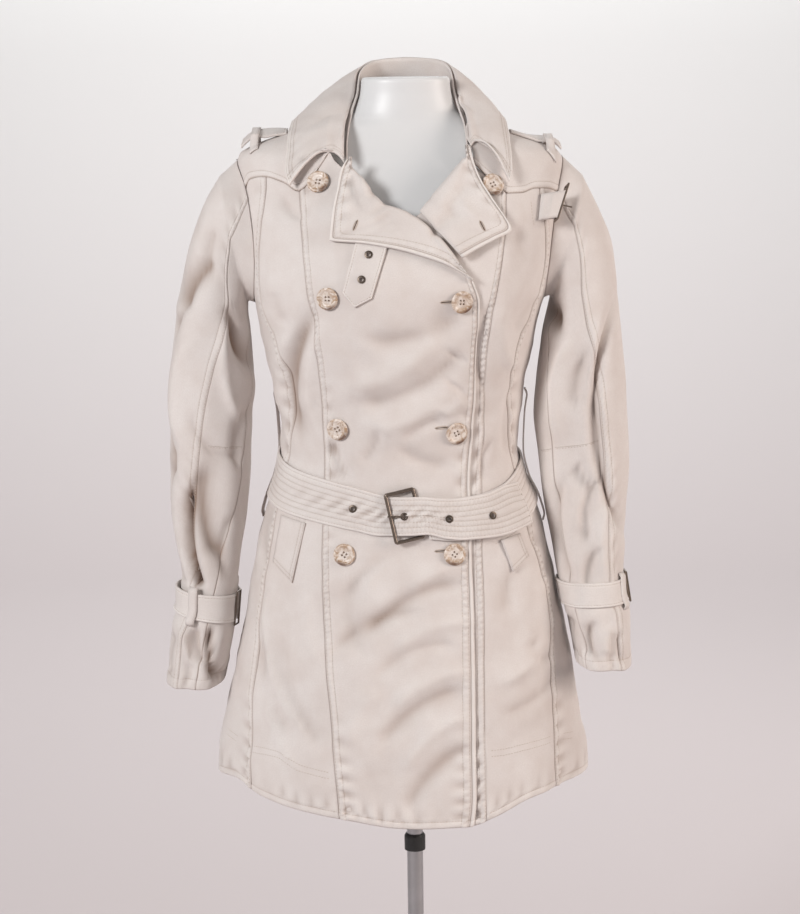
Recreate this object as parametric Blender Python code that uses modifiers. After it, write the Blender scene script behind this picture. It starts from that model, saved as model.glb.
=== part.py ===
"""A short double-breasted trench coat, worn by a limbless dress form on a pole stand.

Metres, +Z up, -Y in front. The origin is on the floor, under the middle of the stand. Right and left are the
wearer's: right is at -X. The coat's pieces lie on one surface, which rings of the BODY table describe. A point
on it has a height and an angle round the body: 0 at the centre front, 90 at the wearer's left, -90 at the right.
"""

import math

import bmesh
import bpy
from mathutils import Matrix, Vector

CLOTH = 0.0018
DOUBLE_CLOTH = 0.0024
SEAM_GAP = 0.0003
LAY_GAP = 0.0004
HEM_HEIGHT = 0.685
NECK_HEIGHT = 1.458
COAT_MIDDLE = -0.012
SHOULDER_POINT = 1.4055
ARMHOLE_MIDDLE = 1.324
ARMHOLE_HALF = 0.0815
ARMHOLE_FRONT = 20.0
ARMHOLE_BACK = 22.0
OVERLAP_LEVEL = 0.0032
WELT_LIFT = DOUBLE_CLOTH + 0.0007

COLLAR_CLEAR = 0.0068
STAND_CLEAR = 0.0060

BELT_WALL = 0.0025
BUTTON_RADIUS = 0.0125
BUTTON_THICKNESS = 0.0034
EYELET_RADIUS = 0.0045
EYELET_HOLE = 0.0026
# An eyelet's profile: radius and height, from the top down its outer side.
EYELET = ((EYELET_HOLE, 0.0010), (EYELET_RADIUS, 0.0006), (EYELET_RADIUS, 0.0), (EYELET_HOLE, 0.0))

BASE_RADIUS = 0.165
BASE_THICKNESS = 0.008
POLE_RADIUS = 0.0095
FORM_BOTTOM = 0.84

# The coat's rings: height, centre, half width, front depth, back depth, squareness.
BODY = (
    (0.655, -0.012, 0.2135, 0.166, 0.152, 2.35),
    (0.712, -0.012, 0.2142, 0.162, 0.148, 2.35),
    (0.750, -0.012, 0.2090, 0.158, 0.145, 2.35),
    (0.785, -0.011, 0.2020, 0.154, 0.141, 2.35),
    (0.838, -0.011, 0.1930, 0.146, 0.134, 2.35),
    (0.887, -0.010, 0.1829, 0.138, 0.126, 2.35),
    (0.935, -0.010, 0.1739, 0.131, 0.117, 2.35),
    (0.977, -0.011, 0.1652, 0.125, 0.108, 2.35),
    (1.012, -0.011, 0.1550, 0.121, 0.099, 2.35),
    (1.040, -0.012, 0.1430, 0.118, 0.092, 2.35),
    (1.070, -0.012, 0.1371, 0.118, 0.089, 2.30),
    (1.108, -0.012, 0.1382, 0.121, 0.091, 2.30),
    (1.154, -0.012, 0.1455, 0.129, 0.100, 2.25),
    (1.191, -0.012, 0.1540, 0.137, 0.107, 2.25),
    (1.230, -0.011, 0.1620, 0.144, 0.112, 2.25),
    (1.262, -0.009, 0.1690, 0.146, 0.115, 2.25),
    (1.300, -0.006, 0.1760, 0.138, 0.117, 2.25),
    (1.340, -0.005, 0.1805, 0.122, 0.116, 2.25),
    (1.375, -0.005, 0.1825, 0.104, 0.111, 2.25),
    (1.400, -0.007, 0.1845, 0.091, 0.104, 2.20),
    (1.412, -0.009, 0.1800, 0.084, 0.100, 2.20),
    (1.422, -0.011, 0.1610, 0.078, 0.096, 2.20),
    (1.432, -0.012, 0.1310, 0.071, 0.092, 2.20),
    (1.442, -0.008, 0.1050, 0.064, 0.088, 2.15),
    (1.452, -0.002, 0.0840, 0.056, 0.084, 2.10),
    (1.460, 0.000, 0.0660, 0.050, 0.082, 2.05),
    (1.470, 0.000, 0.0620, 0.047, 0.081, 2.00),
)

# Soft folds of the skirt: angle, width in degrees, height where it dies out, and how far it stands out.
SKIRT_FOLDS = (
    (-79.0, 9.0, 0.93, 0.0040),
    (-60.0, 9.0, 0.90, -0.0035),
    (-28.0, 8.0, 0.88, 0.0025),
    (14.0, 10.0, 0.86, -0.0020),
    (57.0, 9.0, 0.92, -0.0040),
    (80.0, 9.0, 0.92, 0.0040),
    (118.0, 9.0, 0.92, -0.0040),
    (140.0, 10.0, 0.94, 0.0050),
    (160.0, 8.0, 0.92, -0.0040),
    (-118.0, 9.0, 0.92, -0.0040),
    (-142.0, 10.0, 0.94, 0.0050),
    (-163.0, 8.0, 0.92, -0.0040),
)

# Seams of the body: height, and distance from the middle of the ring there.
PRINCESS_SEAM_RIGHT = (
    (0.655, 0.0715), (0.729, 0.0770), (0.790, 0.0822), (0.849, 0.0870), (0.925, 0.0905), (0.992, 0.0885),
    (1.069, 0.0845), (1.134, 0.0860), (1.182, 0.0880), (1.229, 0.0945), (1.281, 0.1050), (1.331, 0.1115),
    (1.375, 0.1140),
)
PRINCESS_SEAM_LEFT = (
    (0.655, 0.0930), (0.729, 0.0928), (0.790, 0.0908), (0.849, 0.0908), (0.925, 0.0900), (0.992, 0.0905),
    (1.069, 0.0930), (1.134, 0.0955), (1.182, 0.0975), (1.229, 0.1010), (1.281, 0.1080), (1.331, 0.1125),
    (1.375, 0.1145),
)
SIDE_FRONT_SEAM = (
    (0.655, 0.1740), (0.712, 0.1760), (0.772, 0.1745), (0.830, 0.1700), (0.859, 0.1680), (0.903, 0.1620),
    (0.944, 0.1560), (0.980, 0.1480), (1.012, 0.1420), (1.040, 0.1335), (1.070, 0.1270), (1.108, 0.1240),
    (1.165, 0.1260), (1.208, 0.1370), (1.231, 0.1480), (1.255, 0.1560), (1.298, 0.1600), (1.331, 0.1585),
    (1.365, 0.1535), (1.389, 0.1510),
)
# The yoke's lower edge: distance from the middle, and height.
YOKE_LINE_RIGHT = (
    (0.050, 1.4150), (0.0735, 1.4075), (0.0875, 1.3950), (0.1015, 1.3820), (0.1155, 1.3745), (0.1285, 1.3830),
    (0.1515, 1.3890), (0.1655, 1.3860), (0.1815, 1.3700), (0.190, 1.3640),
)
YOKE_LINE_LEFT = (
    (0.050, 1.4150), (0.0735, 1.4030), (0.0875, 1.3900), (0.1030, 1.3790), (0.1155, 1.3690), (0.1285, 1.3690),
    (0.1440, 1.3730), (0.1590, 1.3720), (0.1800, 1.3650), (0.190, 1.3620),
)
HEM_LINE = (
    (-180.0, 0.676), (-120.0, 0.680), (-92.0, 0.686), (-78.0, 0.697), (-64.0, 0.701), (-48.0, 0.692),
    (-30.0, 0.683), (-12.0, 0.673), (4.0, 0.664), (17.0, 0.664), (24.0, 0.672), (40.0, 0.690), (60.0, 0.694),
    (78.0, 0.694), (92.0, 0.688), (120.0, 0.680), (180.0, 0.676),
)
# The right front's edge: height, and distance from the coat's middle.
FRONT_EDGE = (
    (0.655, 0.0775), (0.700, 0.0825), (0.780, 0.0820), (0.884, 0.0812), (0.980, 0.0796), (1.057, 0.0785),
    (1.096, 0.0817), (1.157, 0.0866), (1.215, 0.0896), (1.254, 0.0900), (1.277, 0.0830),
)
# The folds of the lapels: distance from the coat's middle, and height.
ROLL_LINE_RIGHT = (
    (-0.060, 1.4100), (-0.034, 1.3830), (-0.014, 1.3606), (0.0148, 1.3480), (0.0315, 1.3350), (0.048, 1.3200),
    (0.064, 1.3000), (0.083, 1.2770),
)
ROLL_LINE_LEFT = (
    (-0.076, 1.2800), (-0.050, 1.3020), (-0.020, 1.3260), (0.0148, 1.3480), (0.041, 1.3790), (0.058, 1.3985),
    (0.072, 1.4080),
)

# The lapels, from the neck to the break: the fold's x and z, then the outer edge's x and z.
LAPEL_RIGHT = (
    (-0.0615, 1.4120, -0.0672, 1.4080),
    (-0.0600, 1.4010, -0.0725, 1.3940),
    (-0.0545, 1.3930, -0.0765, 1.3720),
    (-0.0420, 1.3790, -0.0815, 1.3480),
    (-0.0256, 1.3606, -0.0841, 1.3213),
    (0.0010, 1.3500, -0.0500, 1.3180),
    (0.0190, 1.3380, -0.0150, 1.3120),
    (0.0350, 1.3230, 0.0150, 1.3040),
    (0.0500, 1.3040, 0.0350, 1.2970),
    (0.0630, 1.2850, 0.0540, 1.2875),
    (0.0695, 1.2780, 0.0665, 1.2800),
)
LAPEL_LEFT = (
    (0.0650, 1.4190, 0.0695, 1.4165),
    (0.0645, 1.4080, 0.0730, 1.4010),
    (0.0570, 1.4010, 0.0800, 1.3830),
    (0.0470, 1.3900, 0.0920, 1.3620),
    (0.0380, 1.3800, 0.1114, 1.3296),
    (0.0290, 1.3700, 0.0950, 1.3200),
    (0.0200, 1.3600, 0.0773, 1.3117),
    (0.0130, 1.3520, 0.0580, 1.3015),
)

# The collar, round the neck from the right notch: the fold's x, y, z, then the outer edge's x, y, z.
COLLAR = (
    (-0.0690, -0.0665, 1.4075, -0.1300, -0.0960, 1.3820),
    (-0.0690, -0.0560, 1.4260, -0.1350, -0.0840, 1.3980),
    (-0.0675, -0.0420, 1.4440, -0.1335, -0.0620, 1.4180),
    (-0.0635, -0.0180, 1.4640, -0.1325, -0.0300, 1.4370),
    (-0.0580, 0.0030, 1.4830, -0.1290, 0.0050, 1.4480),
    (-0.0565, 0.0280, 1.5010, -0.1180, 0.0460, 1.4490),
    (-0.0470, 0.0540, 1.5130, -0.0940, 0.0920, 1.4390),
    (-0.0280, 0.0730, 1.5185, -0.0560, 0.1200, 1.4290),
    (0.0010, 0.0800, 1.5200, 0.0000, 0.1290, 1.4260),
    (0.0310, 0.0730, 1.5185, 0.0540, 0.1200, 1.4290),
    (0.0500, 0.0540, 1.5130, 0.0860, 0.0920, 1.4390),
    (0.0570, 0.0280, 1.5010, 0.1010, 0.0460, 1.4490),
    (0.0590, 0.0030, 1.4830, 0.1110, 0.0050, 1.4480),
    (0.0630, -0.0180, 1.4640, 0.1150, -0.0300, 1.4370),
    (0.0680, -0.0420, 1.4480, 0.1160, -0.0620, 1.4180),
    (0.0695, -0.0560, 1.4340, 0.1170, -0.0840, 1.3980),
    (0.0700, -0.0640, 1.4220, 0.1130, -0.0940, 1.3830),
)

# The sleeves' rings from the armhole down: outer x and z, inner x and z, middle y, half depth, the front seam's
# and the under seam's angles (0 outside, 90 in front, 180 inside).
SLEEVE_RIGHT = (
    (-0.2120, 1.3881, -0.1830, 1.2450, 0.000, 0.0540, 88.0, 168.0),
    (-0.2335, 1.3499, -0.1815, 1.2320, 0.001, 0.0570, 100.0, 168.0),
    (-0.2530, 1.3000, -0.1795, 1.2130, 0.003, 0.0590, 112.0, 166.0),
    (-0.2665, 1.2450, -0.1785, 1.1890, 0.005, 0.0600, 105.0, 163.0),
    (-0.2730, 1.1850, -0.1760, 1.1510, 0.006, 0.0600, 92.0, 158.0),
    (-0.2785, 1.1250, -0.1815, 1.1060, 0.005, 0.0580, 86.0, 153.0),
    (-0.2820, 1.0636, -0.1840, 1.0560, 0.003, 0.0550, 81.0, 146.0),
    (-0.2800, 1.0050, -0.1895, 1.0040, -0.001, 0.0520, 74.0, 135.0),
    (-0.2740, 0.9600, -0.1955, 0.9590, -0.006, 0.0490, 70.0, 120.0),
    (-0.2690, 0.9220, -0.2010, 0.9210, -0.010, 0.0460, 66.0, 106.0),
    (-0.2690, 0.8980, -0.2045, 0.8960, -0.013, 0.0440, 64.0, 100.0),
    (-0.2780, 0.8740, -0.2060, 0.8710, -0.016, 0.0460, 62.0, 97.0),
    (-0.2855, 0.8380, -0.2120, 0.8380, -0.019, 0.0490, 60.0, 95.0),
    (-0.2885, 0.8030, -0.2200, 0.8030, -0.021, 0.0500, 60.0, 95.0),
)
SLEEVE_LEFT = (
    (0.2000, 1.3830, 0.1640, 1.2450, 0.000, 0.0540, 78.0, 165.0),
    (0.2190, 1.3450, 0.1600, 1.2320, 0.001, 0.0560, 84.0, 163.0),
    (0.2340, 1.3020, 0.1555, 1.2130, 0.002, 0.0580, 90.0, 158.0),
    (0.2405, 1.2500, 0.1515, 1.1890, 0.002, 0.0590, 86.0, 145.0),
    (0.2455, 1.1897, 0.1455, 1.1530, 0.001, 0.0590, 75.0, 137.0),
    (0.2505, 1.1300, 0.1435, 1.1110, -0.001, 0.0570, 72.0, 132.0),
    (0.2527, 1.0670, 0.1490, 1.0600, -0.004, 0.0540, 70.0, 135.0),
    (0.2503, 1.0085, 0.1548, 1.0085, -0.012, 0.0510, 67.0, 135.0),
    (0.2465, 0.9670, 0.1620, 0.9660, -0.023, 0.0480, 65.0, 134.0),
    (0.2432, 0.9305, 0.1682, 0.9305, -0.034, 0.0450, 63.0, 134.0),
    (0.2435, 0.9090, 0.1720, 0.9090, -0.042, 0.0430, 62.0, 132.0),
    (0.2498, 0.8875, 0.1764, 0.8875, -0.047, 0.0450, 60.0, 130.0),
    (0.2508, 0.8578, 0.1829, 0.8578, -0.051, 0.0480, 60.0, 128.0),
    (0.2518, 0.8250, 0.1893, 0.8290, -0.053, 0.0490, 60.0, 128.0),
)

# The form's rings: height, centre, half width, front depth, back depth, squareness.
FORM = (
    (0.840, -0.008, 0.148, 0.104, 0.100, 2.3),
    (0.900, -0.008, 0.150, 0.110, 0.103, 2.3),
    (0.960, -0.009, 0.142, 0.106, 0.096, 2.3),
    (1.010, -0.010, 0.130, 0.101, 0.084, 2.2),
    (1.060, -0.010, 0.122, 0.099, 0.076, 2.2),
    (1.110, -0.010, 0.124, 0.102, 0.078, 2.2),
    (1.160, -0.010, 0.132, 0.111, 0.087, 2.2),
    (1.210, -0.010, 0.142, 0.124, 0.096, 2.2),
    (1.260, -0.009, 0.151, 0.129, 0.102, 2.2),
    (1.300, -0.007, 0.158, 0.118, 0.105, 2.2),
    (1.340, -0.006, 0.164, 0.098, 0.104, 2.2),
    (1.370, -0.006, 0.169, 0.079, 0.100, 2.2),
    (1.395, -0.007, 0.172, 0.063, 0.093, 2.2),
    (1.410, -0.009, 0.1670, 0.0550, 0.088, 2.1),
    (1.420, -0.010, 0.1570, 0.0492, 0.084, 2.1),
    (1.430, -0.011, 0.1278, 0.0442, 0.080, 2.1),
    (1.440, -0.007, 0.1010, 0.0400, 0.076, 2.1),
    (1.450, -0.002, 0.0730, 0.0376, 0.072, 2.0),
    (1.458, -0.001, 0.0600, 0.0368, 0.069, 2.0),
    (1.470, 0.000, 0.0535, 0.0356, 0.067, 2.0),
    (1.4800, 0.000, 0.0510, 0.0348, 0.065, 2.0),
    (1.4915, 0.000, 0.0500, 0.0345, 0.065, 2.0),
)

# The lapels: how far they lie over the front, their rise to the edge, and the roll's height, place and width.
LAPEL_LIFT = DOUBLE_CLOTH + LAY_GAP + 0.0008
LAPEL_RISE = 0.0030
ROLL_RISE = 0.0030
ROLL_AT = 0.10
ROLL_WIDTH = 0.16
LAPEL_COLUMNS = (0.0, 0.06, 0.14, 0.26, 0.45, 0.72, 1.0)
# The collar's leaf: how it bulges and drops at its fold, and how far its front edges are scooped out.
COLLAR_BULGE = 0.010
COLLAR_CROWN = 0.003
CROWN_WIDTH = 0.12
SCOOP_RIGHT = 0.0165
SCOOP_LEFT = 0.0130
SCOOP_SKEW = 0.7
SCOOP_FADE = 0.035
# The collar's stand: inside the fold, down to its base, which spreads and drops most behind.
STAND_INSET = 0.0052
STAND_DROP = 0.0040
STAND_SHORT = 0.006
STAND_TALL = 0.034
STAND_SPREAD = 0.0085

# The panels' rows: heights, then shares of the way from the last height to the panel's top.
LEVELS = (0.74, 0.79, 0.84, 0.89, 0.935, 0.975, 1.005, 1.03, 1.055, 1.085, 1.12, 1.16, 1.20, 1.2425)
UPPER_SHARES = (0.07, 0.25, 0.5, 0.75, 1.0)
BACK_COLUMNS = 8
# Rows of the yoke, from its lower edge to the shoulder seam, and its columns over each panel.
YOKE_ROWS = (0.0, 0.2, 0.4, 0.6, 0.8, 0.93, 1.0)
YOKE_COLUMNS = (
    ("side", (1.0, 0.75, 0.5, 0.25)),
    ("side_front", (1.0, 0.75, 0.5, 0.25)),
    ("front", (0.0, 0.1, 0.2)),
)
# Where the seams meet the yoke's lower edge, from the ring's middle there, which lies beside the world's.
PRINCESS_TOP = 0.114
SIDE_FRONT_TOP = 0.151
SIDE_TOP = 0.178
YOKE_MIDDLE = 0.0065
# The ends of the roll lines, at the break and at the neck: distance from the coat's middle.
ROLL_ENDS = {-1: (0.083, -0.060), 1: (-0.076, 0.065)}
LEFT_FRONT_REACH = 0.078
FOLDS_FULL = 0.70
# The rows above the shoulder point, behind and on the yoke.
NECK_LEVELS = (SHOULDER_POINT, 1.4200, 1.4350, 1.4470, NECK_HEIGHT)

# Folds of the sleeves: where along (0 at the armhole, 1 at the cuff), angle, length, width in degrees, depth.
SLEEVE_FOLDS = (
    (0.52, 105.0, 0.16, 16.0, -0.0045),
    (0.55, 60.0, 0.14, 14.0, 0.0030),
    (0.60, 250.0, 0.16, 18.0, -0.0045),
    (0.97, 78.0, 0.13, 13.0, -0.0065),
    (0.96, 118.0, 0.12, 14.0, 0.0045),
    (0.97, 255.0, 0.12, 16.0, -0.0060),
)
# Where the sleeve's front and under seams start at the armhole, as angles. The one behind stays at its angle.
SEAM_STARTS = (62.0, 160.0)
BACK_SEAM = -98.0
SLEEVE_SQUARE = 0.92
ARMHOLE_CLEAR = 0.0004
SLEEVE_GAP = 0.0005

# An epaulette, from its outer end in: x, height of its front edge, height of its back edge.
EPAULETTE_RIGHT = (
    (-0.1870, 1.4205, 1.4270),
    (-0.1790, 1.4280, 1.4340),
    (-0.1700, 1.4335, 1.4375),
    (-0.1588, 1.4325, 1.4395),
    (-0.1465, 1.4345, 1.4400),
    (-0.1345, 1.4356, 1.4392),
)
EPAULETTE_LEFT = (
    (0.1755, 1.4145, 1.4200),
    (0.1700, 1.4200, 1.4240),
    (0.1600, 1.4240, 1.4267),
    (0.1450, 1.4238, 1.4280),
    (0.1300, 1.4238, 1.4295),
    (0.1178, 1.4235, 1.4305),
)
EPAULETTE_HALF = 0.0215
EPAULETTE_CLEAR = DOUBLE_CLOTH + 0.0009
LOOP_HALF = 0.0045
LOOP_CLEAR = CLOTH + 0.0012
# A loop over the epaulette, from front to back: y, and 0 where it lies on the coat or 1 on the epaulette.
LOOP_PATH = (
    (-0.0370, 0.0), (-0.0310, 0.0), (-0.0262, 0.55), (-0.0246, 1.0), (-0.0100, 1.0),
    (0.0100, 1.0), (0.0246, 1.0), (0.0262, 0.55), (0.0310, 0.0), (0.0370, 0.0),
)

# Side, the strap's start and end angles, the loop's angle, the buckle's angle.
CUFF_STRAPS = (
    (-1, -187.0, 157.0, 68.0, 161.0),
    (1, 8.0, 354.0, 33.0, -3.0),
)
STRAP_TOP = 0.728
STRAP_BOTTOM = 0.822
STRAP_LIFT = 0.0034
CUFF_WIRE = 0.0012
# How far a flat facet of the strap lies below its curve.
CHORD = 0.0004
CUFF_DROP = 0.012
CUFF_STAND_OFF = 0.0030
LOOP_WIDTH = 14.0
LOOP_ROWS = (0.0, 0.08, 0.16, 0.5, 0.84, 0.92, 1.0)
CUFF_BUCKLE_HALF = 9.0

# The belt's path angle runs from the buckle's end, round the back by the wearer's left, to the tongue's tip.
BELT_START = 6.9
BELT_END = 421.0
# Path angle, lower edge's height, upper edge's height.
BELT_EDGES = (
    (0.0, 0.9925, 1.0360), (8.0, 0.9880, 1.0335), (18.0, 0.9850, 1.0325), (30.0, 0.9850, 1.0336),
    (50.0, 0.9925, 1.0410), (80.0, 1.0100, 1.0600), (130.0, 1.0220, 1.0720), (180.0, 1.0270, 1.0770),
    (230.0, 1.0270, 1.0770), (270.0, 1.0210, 1.0710), (300.0, 1.0130, 1.0625), (325.0, 1.0060, 1.0545),
    (345.0, 0.9975, 1.0450), (354.0, 0.9925, 1.0385), (358.0, 0.9925, 1.0362), (363.0, 0.9928, 1.0362),
    (367.0, 0.9935, 1.0360), (374.0, 0.9880, 1.0335), (382.0, 0.9855, 1.0325), (395.0, 0.9855, 1.0340),
    (412.0, 0.9900, 1.0405), (423.0, 0.9940, 1.0400),
)
BELT_LIFT = BELT_WALL + 0.0015
# How far the belt stands out further where it passes over the buckle's bar and then its own end.
BELT_RISE = (
    (0.0, 0.0), (356.4, 0.0), (358.5, 0.0016), (361.5, 0.0042), (368.0, 0.0042), (380.0, 0.0034),
    (430.0, 0.0034),
)
BELT_EYELETS = (-0.0657, -0.0080, 0.0406, 0.0873)
BUCKLE_MIDDLE = (-0.0075, 1.0150)
BUCKLE_HALF_WIDTH = 0.0155
BUCKLE_HALF_HEIGHT = 0.0275
BUCKLE_LEAN = 12.0
BUCKLE_WIRE = 0.0016
# How far the buckle's two sides stand out: the one that the belt is folded round, and the one it lies on.
BUCKLE_NEAR = 0.0070
BUCKLE_FAR = 0.0027
# The belt's columns: first and last share of its length, and how many. They lie closer near its ends.
BELT_COLUMNS = ((0.0, 0.0606, 4), (0.09, 0.83, 40), (0.845, 1.0, 18))
# How many degrees the belt's slanted start leans, and over what share of its length that dies out.
BELT_START_LEAN = 2.6
BELT_START_FADE = 1 / 12
# The belt's prong: x and how far it stands out, from its root to its tip.
BELT_PRONG = ((0.0050, 0.0030), (-0.0072, 0.0033), (-0.0082, 0.0100), (-0.0262, 0.0105))
BELT_PRONG_RADIUS = 0.0010

# A belt carrier, from its top down: height and how far it stands out.
CARRIER = (
    (1.142, 0.0026), (1.133, 0.0070), (1.110, 0.0070), (1.085, 0.0068), (1.050, 0.0070), (1.015, 0.0068),
    (0.994, 0.0064), (0.986, 0.0026),
)
# Each carrier's side, its angle round the body, and their width in degrees.
CARRIER_ANGLES = ((-1, -102.0), (1, 86.0))
CARRIER_WIDTH = 3.4

# The tab's corners as x and z: upper left, upper right, lower right, lower left, and its point.
TAB_CORNERS = ((-0.0560, 1.3250), (-0.0205, 1.3200), (-0.0400, 1.2608), (-0.0716, 1.2667))
TAB_POINT_DROP = 0.0135
TAB_LIFT = 0.0034
TAB_EYELETS = ((-0.0426, 1.3068), (-0.0506, 1.2807))
# Where across its width the tab is pointed, and its columns.
TAB_POINT_AT = 0.4
TAB_COLUMNS = (0.0, 0.2, 0.4, 0.7, 1.0)

# The throat's buckle strap at the left armhole, folded round the buckle's bar: each end's two corners.
STRAP_ROOT = ((0.1490, 1.3662), (0.1455, 1.3384))
STRAP_END = ((0.1752, 1.3690), (0.1648, 1.3400))
STRAP_STAND = 0.0032
STRAP_TURN_BACK = 0.30
STRAP_FOLD = 0.0016
BAR_RADIUS = 0.0012
BAR_OVERHANG = 0.0045
FRAME_REACH = 0.0150
PRONG_RADIUS = 0.0009
PRONG_LENGTH = 0.0125
# The strap's columns along its path, whose middle share goes round the bar, and its slot for the prong.
STRAP_COLUMNS = (0.0, 0.09, 0.18, 0.35, 0.41, 0.47, 0.53, 0.59, 0.65, 0.82, 0.91, 1.0)
STRAP_ROUND = 0.30
SLOT_AHEAD = 0.0040
SLOT_SIZE = (0.0100, 0.0120, 0.0050)
# Where the buckle's frame points from its bar, and how the prong leans: along the strap and out from the chest.
FRAME_WAY = (0.06, -1.0, 0.0)
PRONG_WAY = (0.90, 0.44)

# The welts' corners as x and z: upper left, upper right, lower right, lower left.
WELT_RIGHT = ((-0.1462, 1.0080), (-0.1180, 1.0030), (-0.1348, 0.9349), (-0.1570, 0.9538))
WELT_LEFT = ((0.1000, 0.9815), (0.1225, 0.9850), (0.1330, 0.9580), (0.1135, 0.9440))
# Buttons as x and z in the world, and how far they stand out.
BUTTONS = (
    (-0.0880, 1.2600, 0.0006),
    (-0.0800, 1.1120, 0.0009),
    (-0.0750, 0.9710, 0.0006),
    (0.0577, 1.2548, 0.0006),
    (0.0510, 1.1057, 0.0006),
    (0.0476, 0.9700, 0.0006),
    (-0.0975, 1.3840, 0.0006),
    (0.0940, 1.3785, 0.0006),
)

# The form's rings are built at these heights. Its neck ends in a shallow cap, a little smaller.
FORM_LEVELS = (
    0.84, 0.90, 0.96, 1.01, 1.06, 1.11, 1.16, 1.21, 1.26, 1.30, 1.34, 1.37, 1.395, 1.410, 1.420, 1.430, 1.440,
    1.450, 1.460, 1.475, 1.4915,
)
CLAMP_BOTTOM = 0.585
CLAMP_TOP = 0.605
CLAMP_RADIUS = 0.0125
FORM_COLUMNS = 30
CAP_SHARE = 0.94
CAP_HEIGHT = 0.004


def smooth(stations, values, at):
    """A curve through the values that never swings past them."""
    last = len(stations) - 1
    at = min(max(at, stations[0]), stations[-1])
    k = 0
    while k < last - 1 and at > stations[k + 1]:
        k += 1

    def rise(i):
        return (values[i + 1] - values[i]) / (stations[i + 1] - stations[i])

    def slope(i):
        if i == 0:
            return rise(0)
        if i == last:
            return rise(last - 1)
        before, after = rise(i - 1), rise(i)
        return 0.0 if before * after <= 0 else 2 * before * after / (before + after)

    span = stations[k + 1] - stations[k]
    t = (at - stations[k]) / span
    return (
        values[k] * (1 + 2 * t) * (1 - t) ** 2
        + values[k + 1] * t * t * (3 - 2 * t)
        + span * t * (1 - t) * (slope(k) * (1 - t) - slope(k + 1) * t)
    )


def row_at(table, at):
    """The table's columns after the first, where its first column reads at."""
    columns = list(zip(*table))
    return [smooth(columns[0], column, at) for column in columns[1:]]


def station_at(table, t):
    """All the table's columns, t of the way from its first row to its last."""
    stations = range(len(table))
    return [smooth(stations, column, t * (len(table) - 1)) for column in zip(*table)]


def power(value, exponent):
    return math.copysign(abs(value) ** exponent, value)


def ring_point(rings, z, q):
    centre, half, front, back, square = row_at(rings, z)
    side = power(math.sin(math.radians(q)), 2 / square)
    ahead = power(math.cos(math.radians(q)), 2 / square)
    return Vector((centre + half * side, -(front if ahead > 0 else back) * ahead, z))


def turn_between(a, b):
    return (a - b + 180) % 360 - 180


def skirt_fold(z, q):
    total = 0.0
    for angle, width, top, depth in SKIRT_FOLDS:
        fade = min(max((top - z) / (top - FOLDS_FULL), 0.0), 1.0)
        total += depth * fade * fade * (3 - 2 * fade) * math.exp(-((turn_between(q, angle) / width) ** 2))
    return total


def body_point(z, q, out=0.0):
    """A point of the coat's outer face, or out beyond it."""
    point = ring_point(BODY, z, q)
    away = Vector((point.x - row_at(BODY, z)[0], point.y, 0)).normalized()
    point += away * skirt_fold(z, q)
    return point + body_normal(z, q) * out if out else point


def body_normal(z, q):
    round_it = body_point(z, q + 1.0) - body_point(z, q - 1.0)
    up_it = body_point(z + 0.002, q) - body_point(z - 0.002, q)
    return round_it.cross(up_it).normalized()


def angle_at(z, x):
    """The angle at which the coat's front passes the world's x, at this height."""
    centre, half, _, _, square = row_at(BODY, z)
    share = min(abs(x - centre) / half, 1.0)
    return math.copysign(math.degrees(math.asin(share ** (square / 2))), x - centre)


def front_point(x, z, out=0.0):
    return body_point(z, angle_at(z, x), out)


def top_height(rings, x, y):
    """The height of the rings' upper side over x and y, found by halving."""
    low, high = 1.30, rings[-1][0] - 0.001
    for _ in range(30):
        z = (low + high) / 2
        centre, half, front, back, square = row_at(rings, z)
        depth = front if y < 0 else back
        inside = (abs(x - centre) / half) ** square + (abs(y) / depth) ** square < 1
        low, high = (z, high) if inside else (low, z)
    return z


def shoulder_point(x, y, out=0.0):
    """The coat's top over x and y, or out beyond it."""
    z = top_height(BODY, x, y)
    centre, _, front, back, square = row_at(BODY, z)
    share = min((abs(y) / (front if y < 0 else back)) ** (square / 2), 1.0)
    q = math.degrees(math.acos(share))
    return body_point(z, math.copysign(q if y < 0 else 180 - q, x - centre), out)


def material(name, colour, roughness, metallic=0.0):
    made = bpy.data.materials.get(name)
    if made:
        return made
    made = bpy.data.materials.new(name)
    made.use_nodes = True
    shader = made.node_tree.nodes["Principled BSDF"]
    shader.inputs["Base Color"].default_value = (*colour, 1.0)
    shader.inputs["Roughness"].default_value = roughness
    shader.inputs["Metallic"].default_value = metallic
    return made


def twill():
    return material("beige twill", (0.66, 0.56, 0.49), 0.85)


def bronze():
    return material("dark bronze", (0.10, 0.07, 0.05), 0.4, 0.9)


def horn():
    return material("mottled horn", (0.55, 0.40, 0.27), 0.3)


def add_mesh(name, bm, look, collection):
    bmesh.ops.recalc_face_normals(bm, faces=bm.faces)
    mesh = bpy.data.meshes.new(name)
    bm.to_mesh(mesh)
    bm.free()
    mesh.materials.append(look)
    made = bpy.data.objects.new(name, mesh)
    collection.objects.link(made)
    return made


def pull_in(grid, sides, gap):
    """Draws the grid's edges in by half a seam's gap. Sides name left, right, bottom and top."""
    columns = list(zip(*grid))
    moves = []
    for j, row in enumerate(grid):
        if "left" in sides:
            moves.append((j, 0, (row[1] - row[0]).normalized()))
        if "right" in sides:
            moves.append((j, len(row) - 1, (row[-2] - row[-1]).normalized()))
    for i, column in enumerate(columns):
        if "bottom" in sides:
            moves.append((0, i, (column[1] - column[0]).normalized()))
        if "top" in sides:
            moves.append((len(grid) - 1, i, (column[-2] - column[-1]).normalized()))
    for j, i, toward in moves:
        grid[j][i] = grid[j][i] + toward * gap
    return grid


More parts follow.
